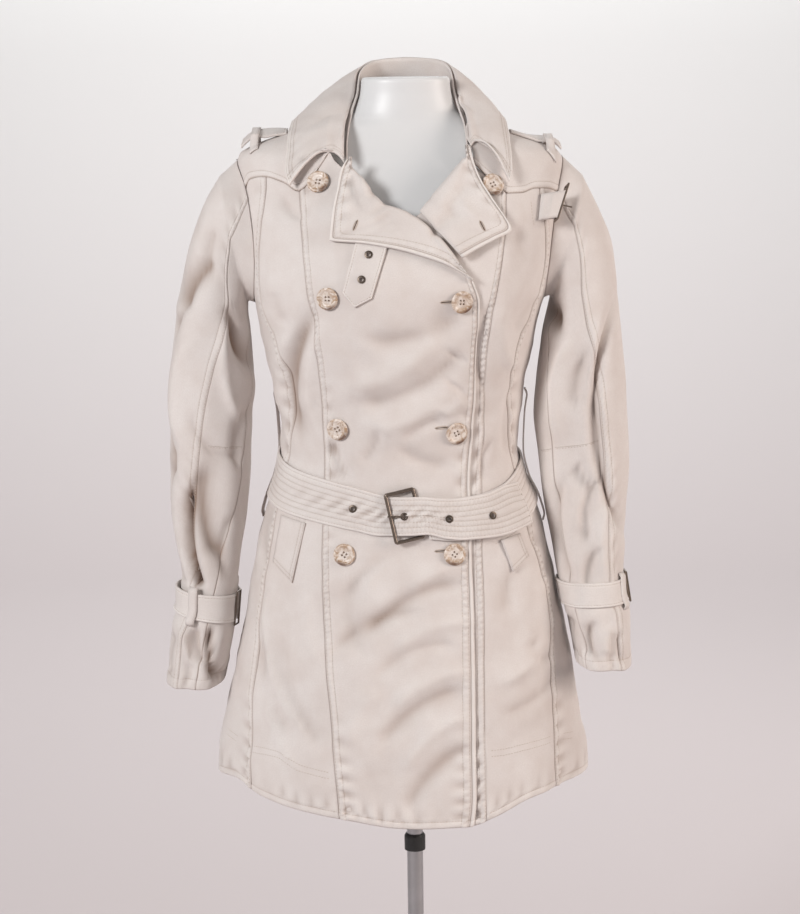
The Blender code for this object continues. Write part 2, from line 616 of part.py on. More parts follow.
def wall(name, outer, inner, look, collection, closed=False, gap=SEAM_GAP, sides="left right bottom top"):
    """A closed wall between two grids of points, which are lists of rows."""
    outer = [list(row) for row in outer]
    inner = [list(row) for row in inner]
    if closed:
        sides = sides.replace("left", "").replace("right", "")
    outer = pull_in(outer, sides, gap / 2)
    inner = pull_in(inner, sides, gap / 2)
    bm = bmesh.new()
    front = [[bm.verts.new(point) for point in row] for row in outer]
    behind = [[bm.verts.new(point) for point in row] for row in inner]
    rows, columns = len(front), len(front[0])
    steps = columns if closed else columns - 1
    for j in range(rows - 1):
        for i in range(steps):
            k = (i + 1) % columns
            bm.faces.new((front[j][i], front[j][k], front[j + 1][k], front[j + 1][i]))
            bm.faces.new((behind[j][i], behind[j + 1][i], behind[j + 1][k], behind[j][k]))
    for i in range(steps):
        k = (i + 1) % columns
        bm.faces.new((front[0][i], behind[0][i], behind[0][k], front[0][k]))
        bm.faces.new((front[-1][i], front[-1][k], behind[-1][k], behind[-1][i]))
    if not closed:
        for j in range(rows - 1):
            bm.faces.new((front[j][0], front[j + 1][0], behind[j + 1][0], behind[j][0]))
            bm.faces.new((front[j][-1], behind[j][-1], behind[j + 1][-1], front[j + 1][-1]))
    return add_mesh(name, bm, look, collection)


def spread(count):
    return [k / count for k in range(count + 1)]


def lofted(name, surface, across, along, thickness, look, collection, facing=1, closed=False, gap=0.0):
    """A wall whose outer face is surface(u, v), with its inner face moved against the surface's normal."""
    step = 0.002
    outer, inner = [], []
    for v in along:
        outer.append([])
        inner.append([])
        for u in across:
            v0, v1 = max(v - step, 0.0), min(v + step, 1.0)
            u0, u1 = (u - step, u + step) if closed else (max(u - step, 0.0), min(u + step, 1.0))
            point = surface(u, v)
            normal = (surface(u1, v) - surface(u0, v)).cross(surface(u, v1) - surface(u, v0)).normalized()
            outer[-1].append(point)
            inner[-1].append(point - normal * thickness * facing)
    return wall(name, outer, inner, look, collection, closed, gap)


# The body's panels.

def armhole_reach(z):
    """How far the armhole reaches from the side at this height, from 0 to 1."""
    return math.sqrt(max(1 - ((z - ARMHOLE_MIDDLE) / ARMHOLE_HALF) ** 2, 0.0))


def princess_angle(z, side):
    seam = PRINCESS_SEAM_RIGHT if side < 0 else PRINCESS_SEAM_LEFT
    return angle_at(z, row_at(BODY, z)[0] + side * row_at(seam, z)[0])


def side_front_angle(z, side):
    return angle_at(z, row_at(BODY, z)[0] + side * row_at(SIDE_FRONT_SEAM, z)[0])


def side_angle(z, side):
    return side * (90 - ARMHOLE_FRONT * armhole_reach(z))


def back_side_angle(z, side):
    return side * (90 + ARMHOLE_BACK * armhole_reach(z))


def yoke_height(x, side):
    """The height of the yoke's lower edge, x from the middle."""
    return row_at(YOKE_LINE_RIGHT if side < 0 else YOKE_LINE_LEFT, abs(x))[0]


def front_edge_angle(z, side):
    """The right front's edge is on top. The left front's lies as far over, under it."""
    reach = row_at(FRONT_EDGE, z)[0] if side < 0 else LEFT_FRONT_REACH
    return angle_at(z, COAT_MIDDLE - side * reach)


def front_top(side, share):
    """A front's top: the yoke's lower edge, then the lapel's fold down to the break."""
    roll = ROLL_LINE_RIGHT if side < 0 else ROLL_LINE_LEFT
    break_x, neck_x = ROLL_ENDS[side]
    seam_x = side * PRINCESS_TOP + YOKE_MIDDLE
    x = seam_x + (break_x - seam_x) * share
    beyond_neck = (x - neck_x) * side > 0
    return yoke_height(x - YOKE_MIDDLE, side) if beyond_neck else row_at(roll, x)[0]


def side_front_top(side, share):
    return yoke_height(PRINCESS_TOP + (SIDE_FRONT_TOP - PRINCESS_TOP) * share, side)


def side_top(side, share):
    return yoke_height(SIDE_FRONT_TOP + (SIDE_TOP - SIDE_FRONT_TOP) * share, side)


# Each front panel's two seams, its columns and its top.
PANELS = {
    "front": (princess_angle, front_edge_angle, 10, front_top),
    "side_front": (princess_angle, side_front_angle, 4, side_front_top),
    "side": (side_front_angle, side_angle, 4, side_top),
}


def panel_place(part, side, level, share):
    """The height and angle of a panel's point. A level is a height and the share from there to the top."""
    start, end, _, top = PANELS[part]
    z, rise = level
    if z == HEM_HEIGHT:
        q = start(z, side) * (1 - share) + end(z, side) * share
        z = row_at(HEM_LINE, q)[0]
    z += (top(side, share) - z) * rise
    return z, start(z, side) * (1 - share) + end(z, side) * share


def panel_levels():
    """The rows of a front panel, from the hem up."""
    return [(z, 0.0) for z in (HEM_HEIGHT, *LEVELS)] + [(LEVELS[-1], share) for share in UPPER_SHARES]


def tucked(z, q):
    """How far the left front lies inside the coat's face where the right one covers it."""
    x = body_point(z, q).x - COAT_MIDDLE
    cover = row_at(FRONT_EDGE, min(z, 1.25))[0]
    seam_x = row_at(PRINCESS_SEAM_LEFT, z)[0]
    share = min(max((x - cover) / (seam_x - cover), 0.0), 1.0)
    return -OVERLAP_LEVEL * (1 - share)


def panel(part, side, collection):
    """A front panel from one seam to the next, from the hem to the yoke."""
    columns = PANELS[part][2]
    under = part == "front" and side > 0
    outer, inner = [], []
    for level in panel_levels():
        outer.append([])
        inner.append([])
        for share in spread(columns):
            z, q = panel_place(part, side, level, share)
            lift = tucked(z, q) if under else 0.0
            outer[-1].append(body_point(z, q, lift))
            inner[-1].append(body_point(z, q, lift - CLOTH))
    return wall("%s_%s" % (part, hand(side)), outer, inner, twill(), collection)


def make_back(side, collection):
    """A back half, from the side seam and armhole to the centre back, and up to the shoulder and neck."""
    outer, inner = [], []
    between = [LEVELS[-1] + (SHOULDER_POINT - LEVELS[-1]) * share for share in UPPER_SHARES[:-1]]
    for level in (HEM_HEIGHT, *LEVELS, *between, *NECK_LEVELS):
        outer.append([])
        inner.append([])
        for share in spread(BACK_COLUMNS):
            z = row_at(HEM_LINE, side * (90 + 90 * share))[0] if level == HEM_HEIGHT else level
            q = back_side_angle(z, side) * (1 - share) + side * 180 * share
            outer[-1].append(body_point(z, q))
            inner[-1].append(body_point(z, q, -CLOTH))
    return wall("back_%s" % hand(side), outer, inner, twill(), collection)


def make_yoke(side, collection):
    """The shoulder yoke in front, from the armhole to the neck, and up to the shoulder seam."""
    top = (LEVELS[-1], 1.0)
    lows = [panel_place(part, side, top, share) for part, shares in YOKE_COLUMNS for share in shares]
    outer, inner = [], []
    ridge = [[body_point(z, side * 90, lift) for z in NECK_LEVELS] for lift in (0.0, -CLOTH)]
    for rise in YOKE_ROWS:
        outer.append([])
        inner.append([])
        for k, (low, low_angle) in enumerate(lows):
            at = k / (len(lows) - 1) * (len(NECK_LEVELS) - 1)
            step = min(int(at), len(NECK_LEVELS) - 2)
            high = NECK_LEVELS[step] + (NECK_LEVELS[step + 1] - NECK_LEVELS[step]) * (at - step)
            z = low + (high - low) * rise
            q = side * (90 - (90 - abs(low_angle)) * math.sqrt(1 - rise * rise))
            if rise == 1.0:
                outer[-1].append(ridge[0][step].lerp(ridge[0][step + 1], at - step))
                inner[-1].append(ridge[1][step].lerp(ridge[1][step + 1], at - step))
            else:
                outer[-1].append(body_point(z, q))
                inner[-1].append(body_point(z, q, -CLOTH))
    return wall("yoke_%s" % hand(side), outer, inner, twill(), collection)


def hand(side):
    return "right" if side < 0 else "left"


def make_body(collection):
    for side in (-1, 1):
        for part in ("front", "side_front", "side"):
            panel(part, side, collection)
        make_back(side, collection)
        make_yoke(side, collection)


# The neck.


def make_lapel(name, table, collection, side):
    """A lapel, folded over at the roll line, where it stands highest."""

    def surface(u, v):
        fold_x, fold_z, edge_x, edge_z = station_at(table, v)
        x = fold_x + (edge_x - fold_x) * u
        z = fold_z + (edge_z - fold_z) * u
        roll = math.exp(-(((u - ROLL_AT) / ROLL_WIDTH) ** 2)) * min(1.0, 6 * (1 - v))
        return front_point(x, z, LAPEL_LIFT + LAPEL_RISE * u * (2 - u) + ROLL_RISE * roll)

    rows = spread(len(table) - 1)
    lofted(name, surface, LAPEL_COLUMNS, rows, DOUBLE_CLOTH, twill(), collection, facing=-side)


def lifted_clear(point, lift):
    """The point, or one this far over the coat where it would lie lower."""
    if point.y < -0.03 and point.z < 1.43:
        point = point.copy()
        point.y = min(point.y, front_point(point.x, point.z, lift).y)
        return point
    over = shoulder_point(point.x, point.y)
    return Vector((point.x, point.y, max(point.z, over.z + lift)))


def collar_fold(u):
    return Vector(station_at(COLLAR, u)[:3])


def collar_edge(u):
    return Vector(station_at(COLLAR, u)[3:])


def collar_leaf(u, v):
    """The leaf, from the right notch round to the left one, and from the fold to the outer edge."""
    fold, edge = collar_fold(u), collar_edge(u)
    away = Vector((fold.x, fold.y - 0.015, 0)).normalized()
    bulge = COLLAR_BULGE * math.sin(math.pi * v) * (1 - 0.55 * abs(2 * u - 1))
    crown = COLLAR_CROWN * math.exp(-((v / CROWN_WIDTH) ** 2))
    scoop = SCOOP_RIGHT * math.exp(-((u / SCOOP_FADE) ** 2))
    scoop += SCOOP_LEFT * math.exp(-(((1 - u) / SCOOP_FADE) ** 2))
    scoop *= math.sin(math.pi * v**SCOOP_SKEW)
    point = fold + (edge - fold) * v + away * bulge + Vector((0, 0, bulge * 0.5 - crown + scoop))
    least = 0.85 if point.x > 0 else 0.0
    return lifted_clear(point, COLLAR_CLEAR * min(1.0, least + 4 * v))


def collar_stand(u, v):
    """The stand, from under the fold down to its base inside the coat's neck."""
    fold = collar_fold(u)
    away = Vector((fold.x, fold.y - 0.015, 0)).normalized()
    middle = 1 - abs(2 * u - 1) ** 3
    inside = fold - away * STAND_INSET - Vector((0, 0, STAND_DROP))
    base = inside - Vector((0, 0, STAND_SHORT + STAND_TALL * middle)) + away * (0.001 + STAND_SPREAD * middle)
    base.z = max(base.z, NECK_HEIGHT + 0.0012) if base.y > -0.012 else base.z
    base.z = min(max(base.z, top_height(FORM, base.x, base.y) + STAND_CLEAR), inside.z - 0.008)
    return inside + (base - inside) * v


def make_collar(collection):
    rows = (0.0, 0.08, 0.2, 0.4, 0.6, 0.8, 1.0)
    lofted("collar_leaf", collar_leaf, spread(24), rows, DOUBLE_CLOTH, twill(), collection)
    lofted("collar_stand", collar_stand, spread(20), spread(3), CLOTH, twill(), collection, facing=-1)


# The sleeves.


def armhole_ring(side, angle):
    """The sleeve's seam round the armhole, by its angle: 0 at the shoulder, 90 in front, 180 under the arm."""
    z = ARMHOLE_MIDDLE + ARMHOLE_HALF * 0.99 * math.cos(math.radians(angle))
    reach = math.sin(math.radians(angle))
    q = 90 - ARMHOLE_FRONT * reach if reach > 0 else 90 - ARMHOLE_BACK * reach
    return body_point(z, side * q, ARMHOLE_CLEAR) + Vector((side * ARMHOLE_CLEAR, 0, 0))


def sleeve_ring(row, angle):
    outer_x, outer_z, inner_x, inner_z, y, depth = row[:6]
    middle = Vector(((outer_x + inner_x) / 2, y, (outer_z + inner_z) / 2))
    reach = Vector(((outer_x - inner_x) / 2, 0, (outer_z - inner_z) / 2))
    bend = math.radians(angle)
    ahead = Vector((0, -depth * power(math.sin(bend), SLEEVE_SQUARE), 0))
    return middle + reach * power(math.cos(bend), SLEEVE_SQUARE) + ahead


def sleeve_point(side, t, angle):
    """A point of the sleeve's outer face, t of the way from the armhole to the cuff."""
    table = SLEEVE_RIGHT if side < 0 else SLEEVE_LEFT
    rings = len(table)
    station = t * rings
    k = min(int(station), rings - 1)
    here = armhole_ring(side, angle) if k == 0 else None
    if station < 1.0:
        return here.lerp(sleeve_ring(table[0], angle), station)
    row = station_at(table, (station - 1.0) / (rings - 1))
    point = sleeve_ring(row, angle)
    middle = Vector(((row[0] + row[2]) / 2, row[4], (row[1] + row[3]) / 2))
    away = (point - middle).normalized()
    for at, turn, length, width, depth in SLEEVE_FOLDS:
        fade = math.exp(-(((t - at) / length) ** 2) - (turn_between(angle, turn) / width) ** 2)
        point = point + away * depth * fade
    return point


def seam_angle(side, t, which):
    """The front seam's angle for which 0, and the under seam's for which 1."""
    table = SLEEVE_RIGHT if side < 0 else SLEEVE_LEFT
    column = [SEAM_STARTS[which]] + [row[6 + which] for row in table]
    return smooth(range(len(column)), column, t * len(table))


def make_sleeve(side, collection):
    """A sleeve's three pieces, each with its first and last seam's angle and its columns."""
    along = spread(len(SLEEVE_RIGHT))
    pieces = (
        ("top", lambda t: BACK_SEAM, lambda t: seam_angle(side, t, 0), 9),
        ("front", lambda t: seam_angle(side, t, 0), lambda t: seam_angle(side, t, 1), 4),
        ("under", lambda t: seam_angle(side, t, 1), lambda t: BACK_SEAM + 360, 7),
    )
    for part, start, end, columns in pieces:
        outer, inner = [], []
        for t in along:
            outer.append([])
            inner.append([])
            for u in spread(columns):
                angle = start(t) * (1 - u) + end(t) * u
                point = sleeve_point(side, t, angle)
                normal = sleeve_normal(side, t, angle)
                outer[-1].append(point)
                inner[-1].append(point - normal * CLOTH)
        name = "sleeve_%s_%s" % (hand(side), part)
        wall(name, outer, inner, twill(), collection, gap=SLEEVE_GAP, sides="left right")


def sleeve_normal(side, t, angle):
    round_it = sleeve_point(side, t, angle + 1.5) - sleeve_point(side, t, angle - 1.5)
    down_it = sleeve_point(side, min(t + 0.01, 1.0), angle) - sleeve_point(side, max(t - 0.01, 0.0), angle)
    return down_it.cross(round_it).normalized() * -side


# The shoulders' straps.

def epaulette_point(table, share, y):
    """A point of the epaulette's upper face, share of the way in from its outer end."""
    x, front, back = station_at(table, share)
    toward_back = 0.5 + 0.5 * y / EPAULETTE_HALF
    crown = 0.0012 * (1 - (y / EPAULETTE_HALF) ** 2)
    height = front + (back - front) * toward_back + crown
    return Vector((x, y, max(height, shoulder_point(x, y).z + EPAULETTE_CLEAR)))


def make_epaulettes(collection):
    for side, table, loop_share in ((-1, EPAULETTE_RIGHT, 0.40), (1, EPAULETTE_LEFT, 0.38)):

        def strap(u, v):
            return epaulette_point(table, u, EPAULETTE_HALF * (1 - 2 * v))

        def loop(u, v):
            y, over = station_at(LOOP_PATH, v)
            edge = max(min(y, EPAULETTE_HALF), -EPAULETTE_HALF)
            top = epaulette_point(table, loop_share, edge)
            x = top.x + side * LOOP_HALF * (1 - 2 * u)
            height = max(top.z, epaulette_point(table, loop_share + 0.08, edge).z) + CLOTH + LAY_GAP
            return shoulder_point(x, y, LOOP_CLEAR).lerp(Vector((x, y, height)), over)

        name = hand(side)
        across, along = spread(8), spread(len(LOOP_PATH) - 1)
        lofted("epaulette_%s" % name, strap, across, spread(3), DOUBLE_CLOTH, twill(), collection, facing=side)
        lofted("epaulette_loop_%s" % name, loop, (0.0, 1.0), along, CLOTH, twill(), collection, facing=-side)


# The cuffs' straps.


def strap_point(side, angle, v, lift):
    """A point over the sleeve, at v of the cuff strap's width from its upper edge."""
    drop = CUFF_DROP * (1 - math.cos(math.radians(angle))) * (1 if side < 0 else 0.2)
    t = STRAP_TOP + drop + (STRAP_BOTTOM - STRAP_TOP) * v
    stand_off = CUFF_STAND_OFF * max(math.cos(math.radians(angle)), 0.0) if side < 0 else 0.0
    return sleeve_point(side, t, angle) + sleeve_normal(side, t, angle) * (lift + stand_off)


def make_cuffs(collection):
    for side, start, end, loop_angle, buckle_angle in CUFF_STRAPS:

        def strap(u, v):
            return strap_point(side, start + (end - start) * u, v, STRAP_LIFT)

        def loop(u, v):
            over = 0.0024 + STRAP_LIFT * min(1.0, 4.0 * math.sin(math.pi * v))
            return strap_point(side, loop_angle + LOOP_WIDTH * (u - 0.5), -0.22 + 1.44 * v, over)

        name = hand(side)
        across = spread(22)
        lofted("cuff_strap_%s" % name, strap, across, spread(2), DOUBLE_CLOTH, twill(), collection, facing=side)
        lofted("cuff_loop_%s" % name, loop, (0.0, 1.0), LOOP_ROWS, CLOTH, twill(), collection, facing=side)
        half = CUFF_BUCKLE_HALF
        turns = ((-half, -0.10), (half, -0.10), (half, 1.10), (-half, 1.10))
        lift = STRAP_LIFT + CUFF_WIRE - CHORD
        corners = [strap_point(side, buckle_angle + turn, v, lift) for turn, v in turns]
        add_wire("cuff_buckle_%s" % name, corners, CUFF_WIRE, collection, cyclic=True)


def add_wire(name, points, radius, collection, cyclic=False, origin=Vector()):
    """Bronze wire along straight runs, with filled ends."""
    curve = bpy.data.curves.new(name, "CURVE")
    curve.dimensions = "3D"
    curve.bevel_depth = radius
    curve.bevel_resolution = 2
    curve.use_fill_caps = True
    spline = curve.splines.new("POLY")
    spline.points.add(len(points) - 1)
    for place, point in zip(spline.points, points):
        place.co = (*(point - origin), 1.0)
    spline.use_cyclic_u = cyclic
    curve.materials.append(bronze())
    made = bpy.data.objects.new(name, curve)
    made.location = origin
    collection.objects.link(made)


def add_turned(name, profile, steps, place, collection, look):
    """A turned piece. Profile rows are radius and height, from the top down its outer side."""
    bm = bmesh.new()
    dots = [bm.verts.new((radius, 0, height)) for radius, height in profile]
    for one, two in zip(dots, dots[1:]):
        bm.edges.new((one, two))
    if profile[0][0] > 0:
        bm.edges.new((dots[-1], dots[0]))
    mesh = bpy.data.meshes.new(name)
    bm.to_mesh(mesh)
    bm.free()
    mesh.materials.append(look)
    made = bpy.data.objects.new(name, mesh)
    made.matrix_world = place
    collection.objects.link(made)
    screw = made.modifiers.new("turned", "SCREW")
    screw.steps = steps
    screw.render_steps = steps
    screw.use_merge_vertices = True
    screw.merge_threshold = 0.00001
    return made


def facing_out(point, normal):
    """A place with +Z along the normal."""
    turn = Vector((0, 0, 1)).rotation_difference(normal)
    return Matrix.Translation(point) @ turn.to_matrix().to_4x4()


# The belt.

def belt_point(path, v, out=0.0):
    low, high = row_at(BELT_EDGES, path)
    z = low + (high - low) * v
    rise = row_at(BELT_RISE, path)[0]
    return body_point(z, (path + 180) % 360 - 180, BELT_LIFT + rise + out)


def belt_path_at(x):
    """The tongue's path angle over the world's x."""
    return angle_at(1.012, x) + 360


def buckle_corner(across, up, lift):
    lean = math.radians(BUCKLE_LEAN)
    x = BUCKLE_MIDDLE[0] + across * math.cos(lean) - up * math.sin(lean)
    z = BUCKLE_MIDDLE[1] + across * math.sin(lean) + up * math.cos(lean)
    return front_point(x, z, lift)


def belt_strip(u, v):
    """The belt's outer face, u of the way from its start to the tongue's tip."""
    path = BELT_START + (BELT_END - BELT_START) * u
    lean = (0.5 - v) * BELT_START_LEAN * max(0.0, 1 - u / BELT_START_FADE)
    return belt_point(path + lean, v)


def carrier_at(side, angle):
    def surface(u, v):
        z, lift = station_at(CARRIER, v)
        return body_point(z, angle + side * CARRIER_WIDTH * (u - 0.5), lift)

    return surface


def make_belt(collection, cutters):
    columns = [start + (end - start) * share for start, end, count in BELT_COLUMNS for share in spread(count)]
    belt = lofted("belt", belt_strip, columns, (0.0, 0.5, 1.0), BELT_WALL, twill(), collection)
    for k, x in enumerate(BELT_EYELETS):
        path = belt_path_at(x)
        point = belt_point(path, 0.5)
        normal = (belt_point(path, 0.5, 0.001) - point).normalized()
        punch(belt, point, normal, BELT_WALL, "belt_hole_%d" % (k + 1), cutters)
        add_eyelet("belt_eyelet_%d" % (k + 1), point + normal * SEAM_GAP, normal, collection)
    for side, angle in CARRIER_ANGLES:
        name = "belt_carrier_%s" % hand(side)
        along = spread(len(CARRIER) - 1)
        lofted(name, carrier_at(side, angle), (0.0, 1.0), along, CLOTH, twill(), collection, facing=-side)


def make_belt_buckle(collection):
    """The belt's frame and prong, fastened."""
    wide, high = BUCKLE_HALF_WIDTH, BUCKLE_HALF_HEIGHT
    near = [buckle_corner(-wide, up, BUCKLE_NEAR) for up in (high, -high)]
    far = [buckle_corner(wide, up, BUCKLE_FAR) for up in (-high, high)]
    add_wire("belt_buckle", near + far, BUCKLE_WIRE, collection, cyclic=True)
    height = sum(row_at(BELT_EDGES, belt_path_at(BELT_EYELETS[1]))) / 2
    prong = [front_point(x, height, lift) for x, lift in BELT_PRONG]
    add_wire("belt_prong", prong, BELT_PRONG_RADIUS, collection)


def add_eyelet(name, point, normal, collection):
    add_turned(name, EYELET, 12, facing_out(point, normal), collection, bronze())


def punch(target, point, normal, depth, name, cutters):
    """Cuts an eyelet's hole through one layer, whose outer face has this point."""
    bpy.ops.mesh.primitive_cylinder_add(vertices=12, radius=EYELET_HOLE - 0.0001, depth=depth + 0.0008)
    cutter = bpy.context.object
    cutter.name = name
    cutter.matrix_world = facing_out(point - normal * depth / 2, normal)
    add_cutter(target, cutter, cutters)


def add_cutter(target, cutter, cutters):
    """Takes the cutter's shape out of the target."""
    cutter.hide_render = True
    cutter.display_type = "WIRE"
    move_to(cutter, cutters)
    cut = target.modifiers.new(cutter.name, "BOOLEAN")
    cut.object = cutter
    cut.operation = "DIFFERENCE"
    cut.solver = "EXACT"


def move_to(thing, collection):
    for home in list(thing.users_collection):
        home.objects.unlink(thing)
    collection.objects.link(thing)


# The throat latch.

def bilinear(corners, u, v):
    """A place between four corners, given as x and z from the upper left clockwise. u runs right and v down."""
    (ax, az), (bx, bz), (cx, cz), (dx, dz) = corners
    x = (ax * (1 - u) + bx * u) * (1 - v) + (dx * (1 - u) + cx * u) * v
    z = (az * (1 - u) + bz * u) * (1 - v) + (dz * (1 - u) + cz * u) * v
    return x, z


def make_throat_tab(collection, cutters):
    def tab(u, v):
        x, z = bilinear(TAB_CORNERS, u, v)
        point_share = 1 - abs(u - TAB_POINT_AT) / (TAB_POINT_AT if u < TAB_POINT_AT else 1 - TAB_POINT_AT)
        return front_point(x, z - TAB_POINT_DROP * point_share * v, TAB_LIFT)

    made = lofted("throat_tab", tab, TAB_COLUMNS, spread(5), DOUBLE_CLOTH, twill(), collection, facing=-1)
    for k, (x, z) in enumerate(TAB_EYELETS):
        point = front_point(x, z, TAB_LIFT)
        normal = (front_point(x, z, TAB_LIFT + 0.001) - point).normalized()
        punch(made, point, normal, DOUBLE_CLOTH, "throat_hole_%d" % (k + 1), cutters)
        add_eyelet("throat_eyelet_%d" % (k + 1), point + normal * (SEAM_GAP + 0.0001), normal, collection)


def strap_root(v):
    """The middle between the strap's layers where they are sewn on, v of the way down."""
    top, bottom = (front_point(x, z) + Vector((0, -STRAP_STAND, 0)) for x, z in STRAP_ROOT)
    return top.lerp(bottom, v)


def strap_end(v):
    (top_x, top_z), (bottom_x, bottom_z) = STRAP_END
    x = top_x + (bottom_x - top_x) * v
    root = strap_root(v)
    return Vector((x, root.y + (x - root.x) * STRAP_TURN_BACK, top_z + (bottom_z - top_z) * v))


def strap_axes():
    """Along the bar upwards, along the strap outwards, and out from the chest."""
    along = (strap_end(0.0) - strap_end(1.0)).normalized()
    across = strap_end(0.5) - strap_root(0.5)
    across = (across - along * across.dot(along)).normalized()
    return along, across, across.cross(along).normalized()


def throat_fold(u, v):
    """The strap's outer face: in front of the bar, round it, and back behind it."""
    _, across, out = strap_axes()
    root, end = strap_root(v), strap_end(v)
    radius = STRAP_FOLD + CLOTH
    if abs(u - 0.5) >= STRAP_ROUND / 2:
        away = (abs(u - 0.5) - STRAP_ROUND / 2) / (0.5 - STRAP_ROUND / 2)
        half = radius + (CLOTH + SEAM_GAP / 2 - radius) * max(0.0, 2 * away - 1) ** 0.7
        return end.lerp(root, away) + out * math.copysign(half, 0.5 - u)
    turn = math.pi * ((u - 0.5) / STRAP_ROUND + 0.5)
    return end + across * radius * math.sin(turn) + out * radius * math.cos(turn)


def make_throat_strap(collection, cutters):
    along, across, out = strap_axes()
    middle = strap_end(0.5)
    strap = lofted("throat_strap", throat_fold, STRAP_COLUMNS, spread(2), CLOTH, twill(), collection, facing=-1)
    bpy.ops.mesh.primitive_cube_add(size=1.0)
    slot = bpy.context.object
    slot.name = "throat_slot"
    turn = Matrix((across, out, along)).transposed().to_4x4()
    size = Matrix.Diagonal((*SLOT_SIZE, 1))
    slot.matrix_world = Matrix.Translation(middle + across * SLOT_AHEAD) @ turn @ size
    add_cutter(strap, slot, cutters)


def make_throat_buckle(collection):
    """The frame and its prong, each with its origin on the bar."""
    along, across, out = strap_axes()
    middle = strap_end(0.5)
    top, bottom = strap_end(0.0) + along * BAR_OVERHANG, strap_end(1.0) - along * BAR_OVERHANG
    way = Vector(FRAME_WAY)
    ahead = (way - along * along.dot(way)).normalized() * FRAME_REACH
    corners = [top, bottom, bottom + ahead, top + ahead]
    add_wire("throat_buckle", corners, BAR_RADIUS, collection, cyclic=True, origin=middle)
    reach = (across * PRONG_WAY[0] + out * PRONG_WAY[1]).normalized()
    root = middle + reach * (BAR_RADIUS + SEAM_GAP)
    add_wire("throat_prong", [root, root + reach * PRONG_LENGTH], PRONG_RADIUS, collection, origin=middle)


# Pockets and buttons.

def make_welts(collection):
    for side, corners in ((-1, WELT_RIGHT), (1, WELT_LEFT)):

        def welt(u, v):
            return front_point(*bilinear(corners, u, v), WELT_LIFT)

        name = "pocket_welt_%s" % hand(side)
        lofted(name, welt, spread(2), spread(4), DOUBLE_CLOTH, twill(), collection, facing=-1)


def make_buttons(collection):
    rim = BUTTON_RADIUS
    thick = BUTTON_THICKNESS
    profile = ((0.0, thick * 0.7), (rim * 0.55, thick * 0.7), (rim * 0.80, thick), (rim, thick * 0.55),
               (rim * 0.80, 0.0), (0.0, 0.0))
    for k, (x, z, lift) in enumerate(BUTTONS):
        point = front_point(x, z, lift)
        normal = (front_point(x, z, lift + 0.001) - point).normalized()
        add_turned("button_%d" % (k + 1), profile, 16, facing_out(point, normal), collection, horn())


# What the coat hangs on.


def make_form(collection):
    """The limbless form: rings up to the neck, with flat caps."""
    bm = bmesh.new()
    turns = [360 * k / FORM_COLUMNS for k in range(FORM_COLUMNS)]
    rings = [[bm.verts.new(ring_point(FORM, z, turn)) for turn in turns] for z in FORM_LEVELS]
    neck = [Vector(dot.co) for dot in rings[-1]]
    middle = sum(neck, Vector()) / FORM_COLUMNS
    rise = Vector((0, 0, CAP_HEIGHT))
    rings.append([bm.verts.new(middle + (point - middle) * CAP_SHARE + rise) for point in neck])
    for low, high in zip(rings, rings[1:]):
        for k in range(FORM_COLUMNS):
            n = (k + 1) % FORM_COLUMNS
            bm.faces.new((low[k], low[n], high[n], high[k]))
    bm.faces.new(rings[0])
    bm.faces.new(rings[-1])
    gloss = material("glossy white form", (0.86, 0.87, 0.87), 0.25)
    add_mesh("form_torso", bm, gloss, collection)


def make_stand(collection):
    steel = material("brushed steel", (0.55, 0.55, 0.56), 0.3, 1.0)
    dark = material("dark fitting", (0.08, 0.08, 0.08), 0.45, 0.5)
    edge = 0.002
    plate = ((0.0, BASE_THICKNESS), (BASE_RADIUS - edge, BASE_THICKNESS), (BASE_RADIUS, BASE_THICKNESS - edge),
             (BASE_RADIUS, 0.0), (0.0, 0.0))
    add_turned("stand_base", plate, 56, Matrix(), collection, steel)
    low, high = BASE_THICKNESS + SEAM_GAP, FORM_BOTTOM - SEAM_GAP
    place = (0, 0, (low + high) / 2)
    bpy.ops.mesh.primitive_cylinder_add(vertices=24, radius=POLE_RADIUS, depth=high - low, location=place)
    pole = bpy.context.object
    pole.name = "stand_pole"
    pole.data.materials.append(steel)
    move_to(pole, collection)
    bore = POLE_RADIUS + SEAM_GAP
    ring = ((bore, CLAMP_TOP), (CLAMP_RADIUS - 0.002, CLAMP_TOP), (CLAMP_RADIUS, CLAMP_TOP - 0.003),
            (CLAMP_RADIUS, CLAMP_BOTTOM), (bore, CLAMP_BOTTOM))
    add_turned("stand_collar", ring, 24, Matrix(), collection, dark)


def main():
    for old in list(bpy.data.objects):
        bpy.data.objects.remove(old)
    coat = bpy.data.collections.new("trench coat on a dress form")
    cutters = bpy.data.collections.new("cutters")
    bpy.context.scene.collection.children.link(coat)
    bpy.context.scene.collection.children.link(cutters)
    make_body(coat)
    make_lapel("lapel_right", LAPEL_RIGHT, coat, -1)
    make_lapel("lapel_left", LAPEL_LEFT, coat, 1)
    make_collar(coat)
    for side in (-1, 1):
        make_sleeve(side, coat)
    make_epaulettes(coat)
    make_cuffs(coat)
    make_belt(coat, cutters)
    make_belt_buckle(coat)
    make_throat_tab(coat, cutters)
    make_throat_strap(coat, cutters)
    make_throat_buckle(coat)
    make_welts(coat)
    make_buttons(coat)
    make_form(coat)
    make_stand(coat)


main()
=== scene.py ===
"""The looks of a short double-breasted trench coat on a limbless dress form and pole stand.

Metres, +Z up, -Y in front. Right and left are the wearer's: right is at -X, and side -1 stands for it.
Each piece of cloth is a fine sheet over the same surface as its solid, with its folds, its edges as they are
sewn, and its rows of stitches. Angles round the coat are in degrees: 0 in front, 90 at the wearer's left.
"""

import math

import bmesh
import bpy
import numpy as np
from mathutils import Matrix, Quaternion, Vector
from mathutils.bvhtree import BVHTree


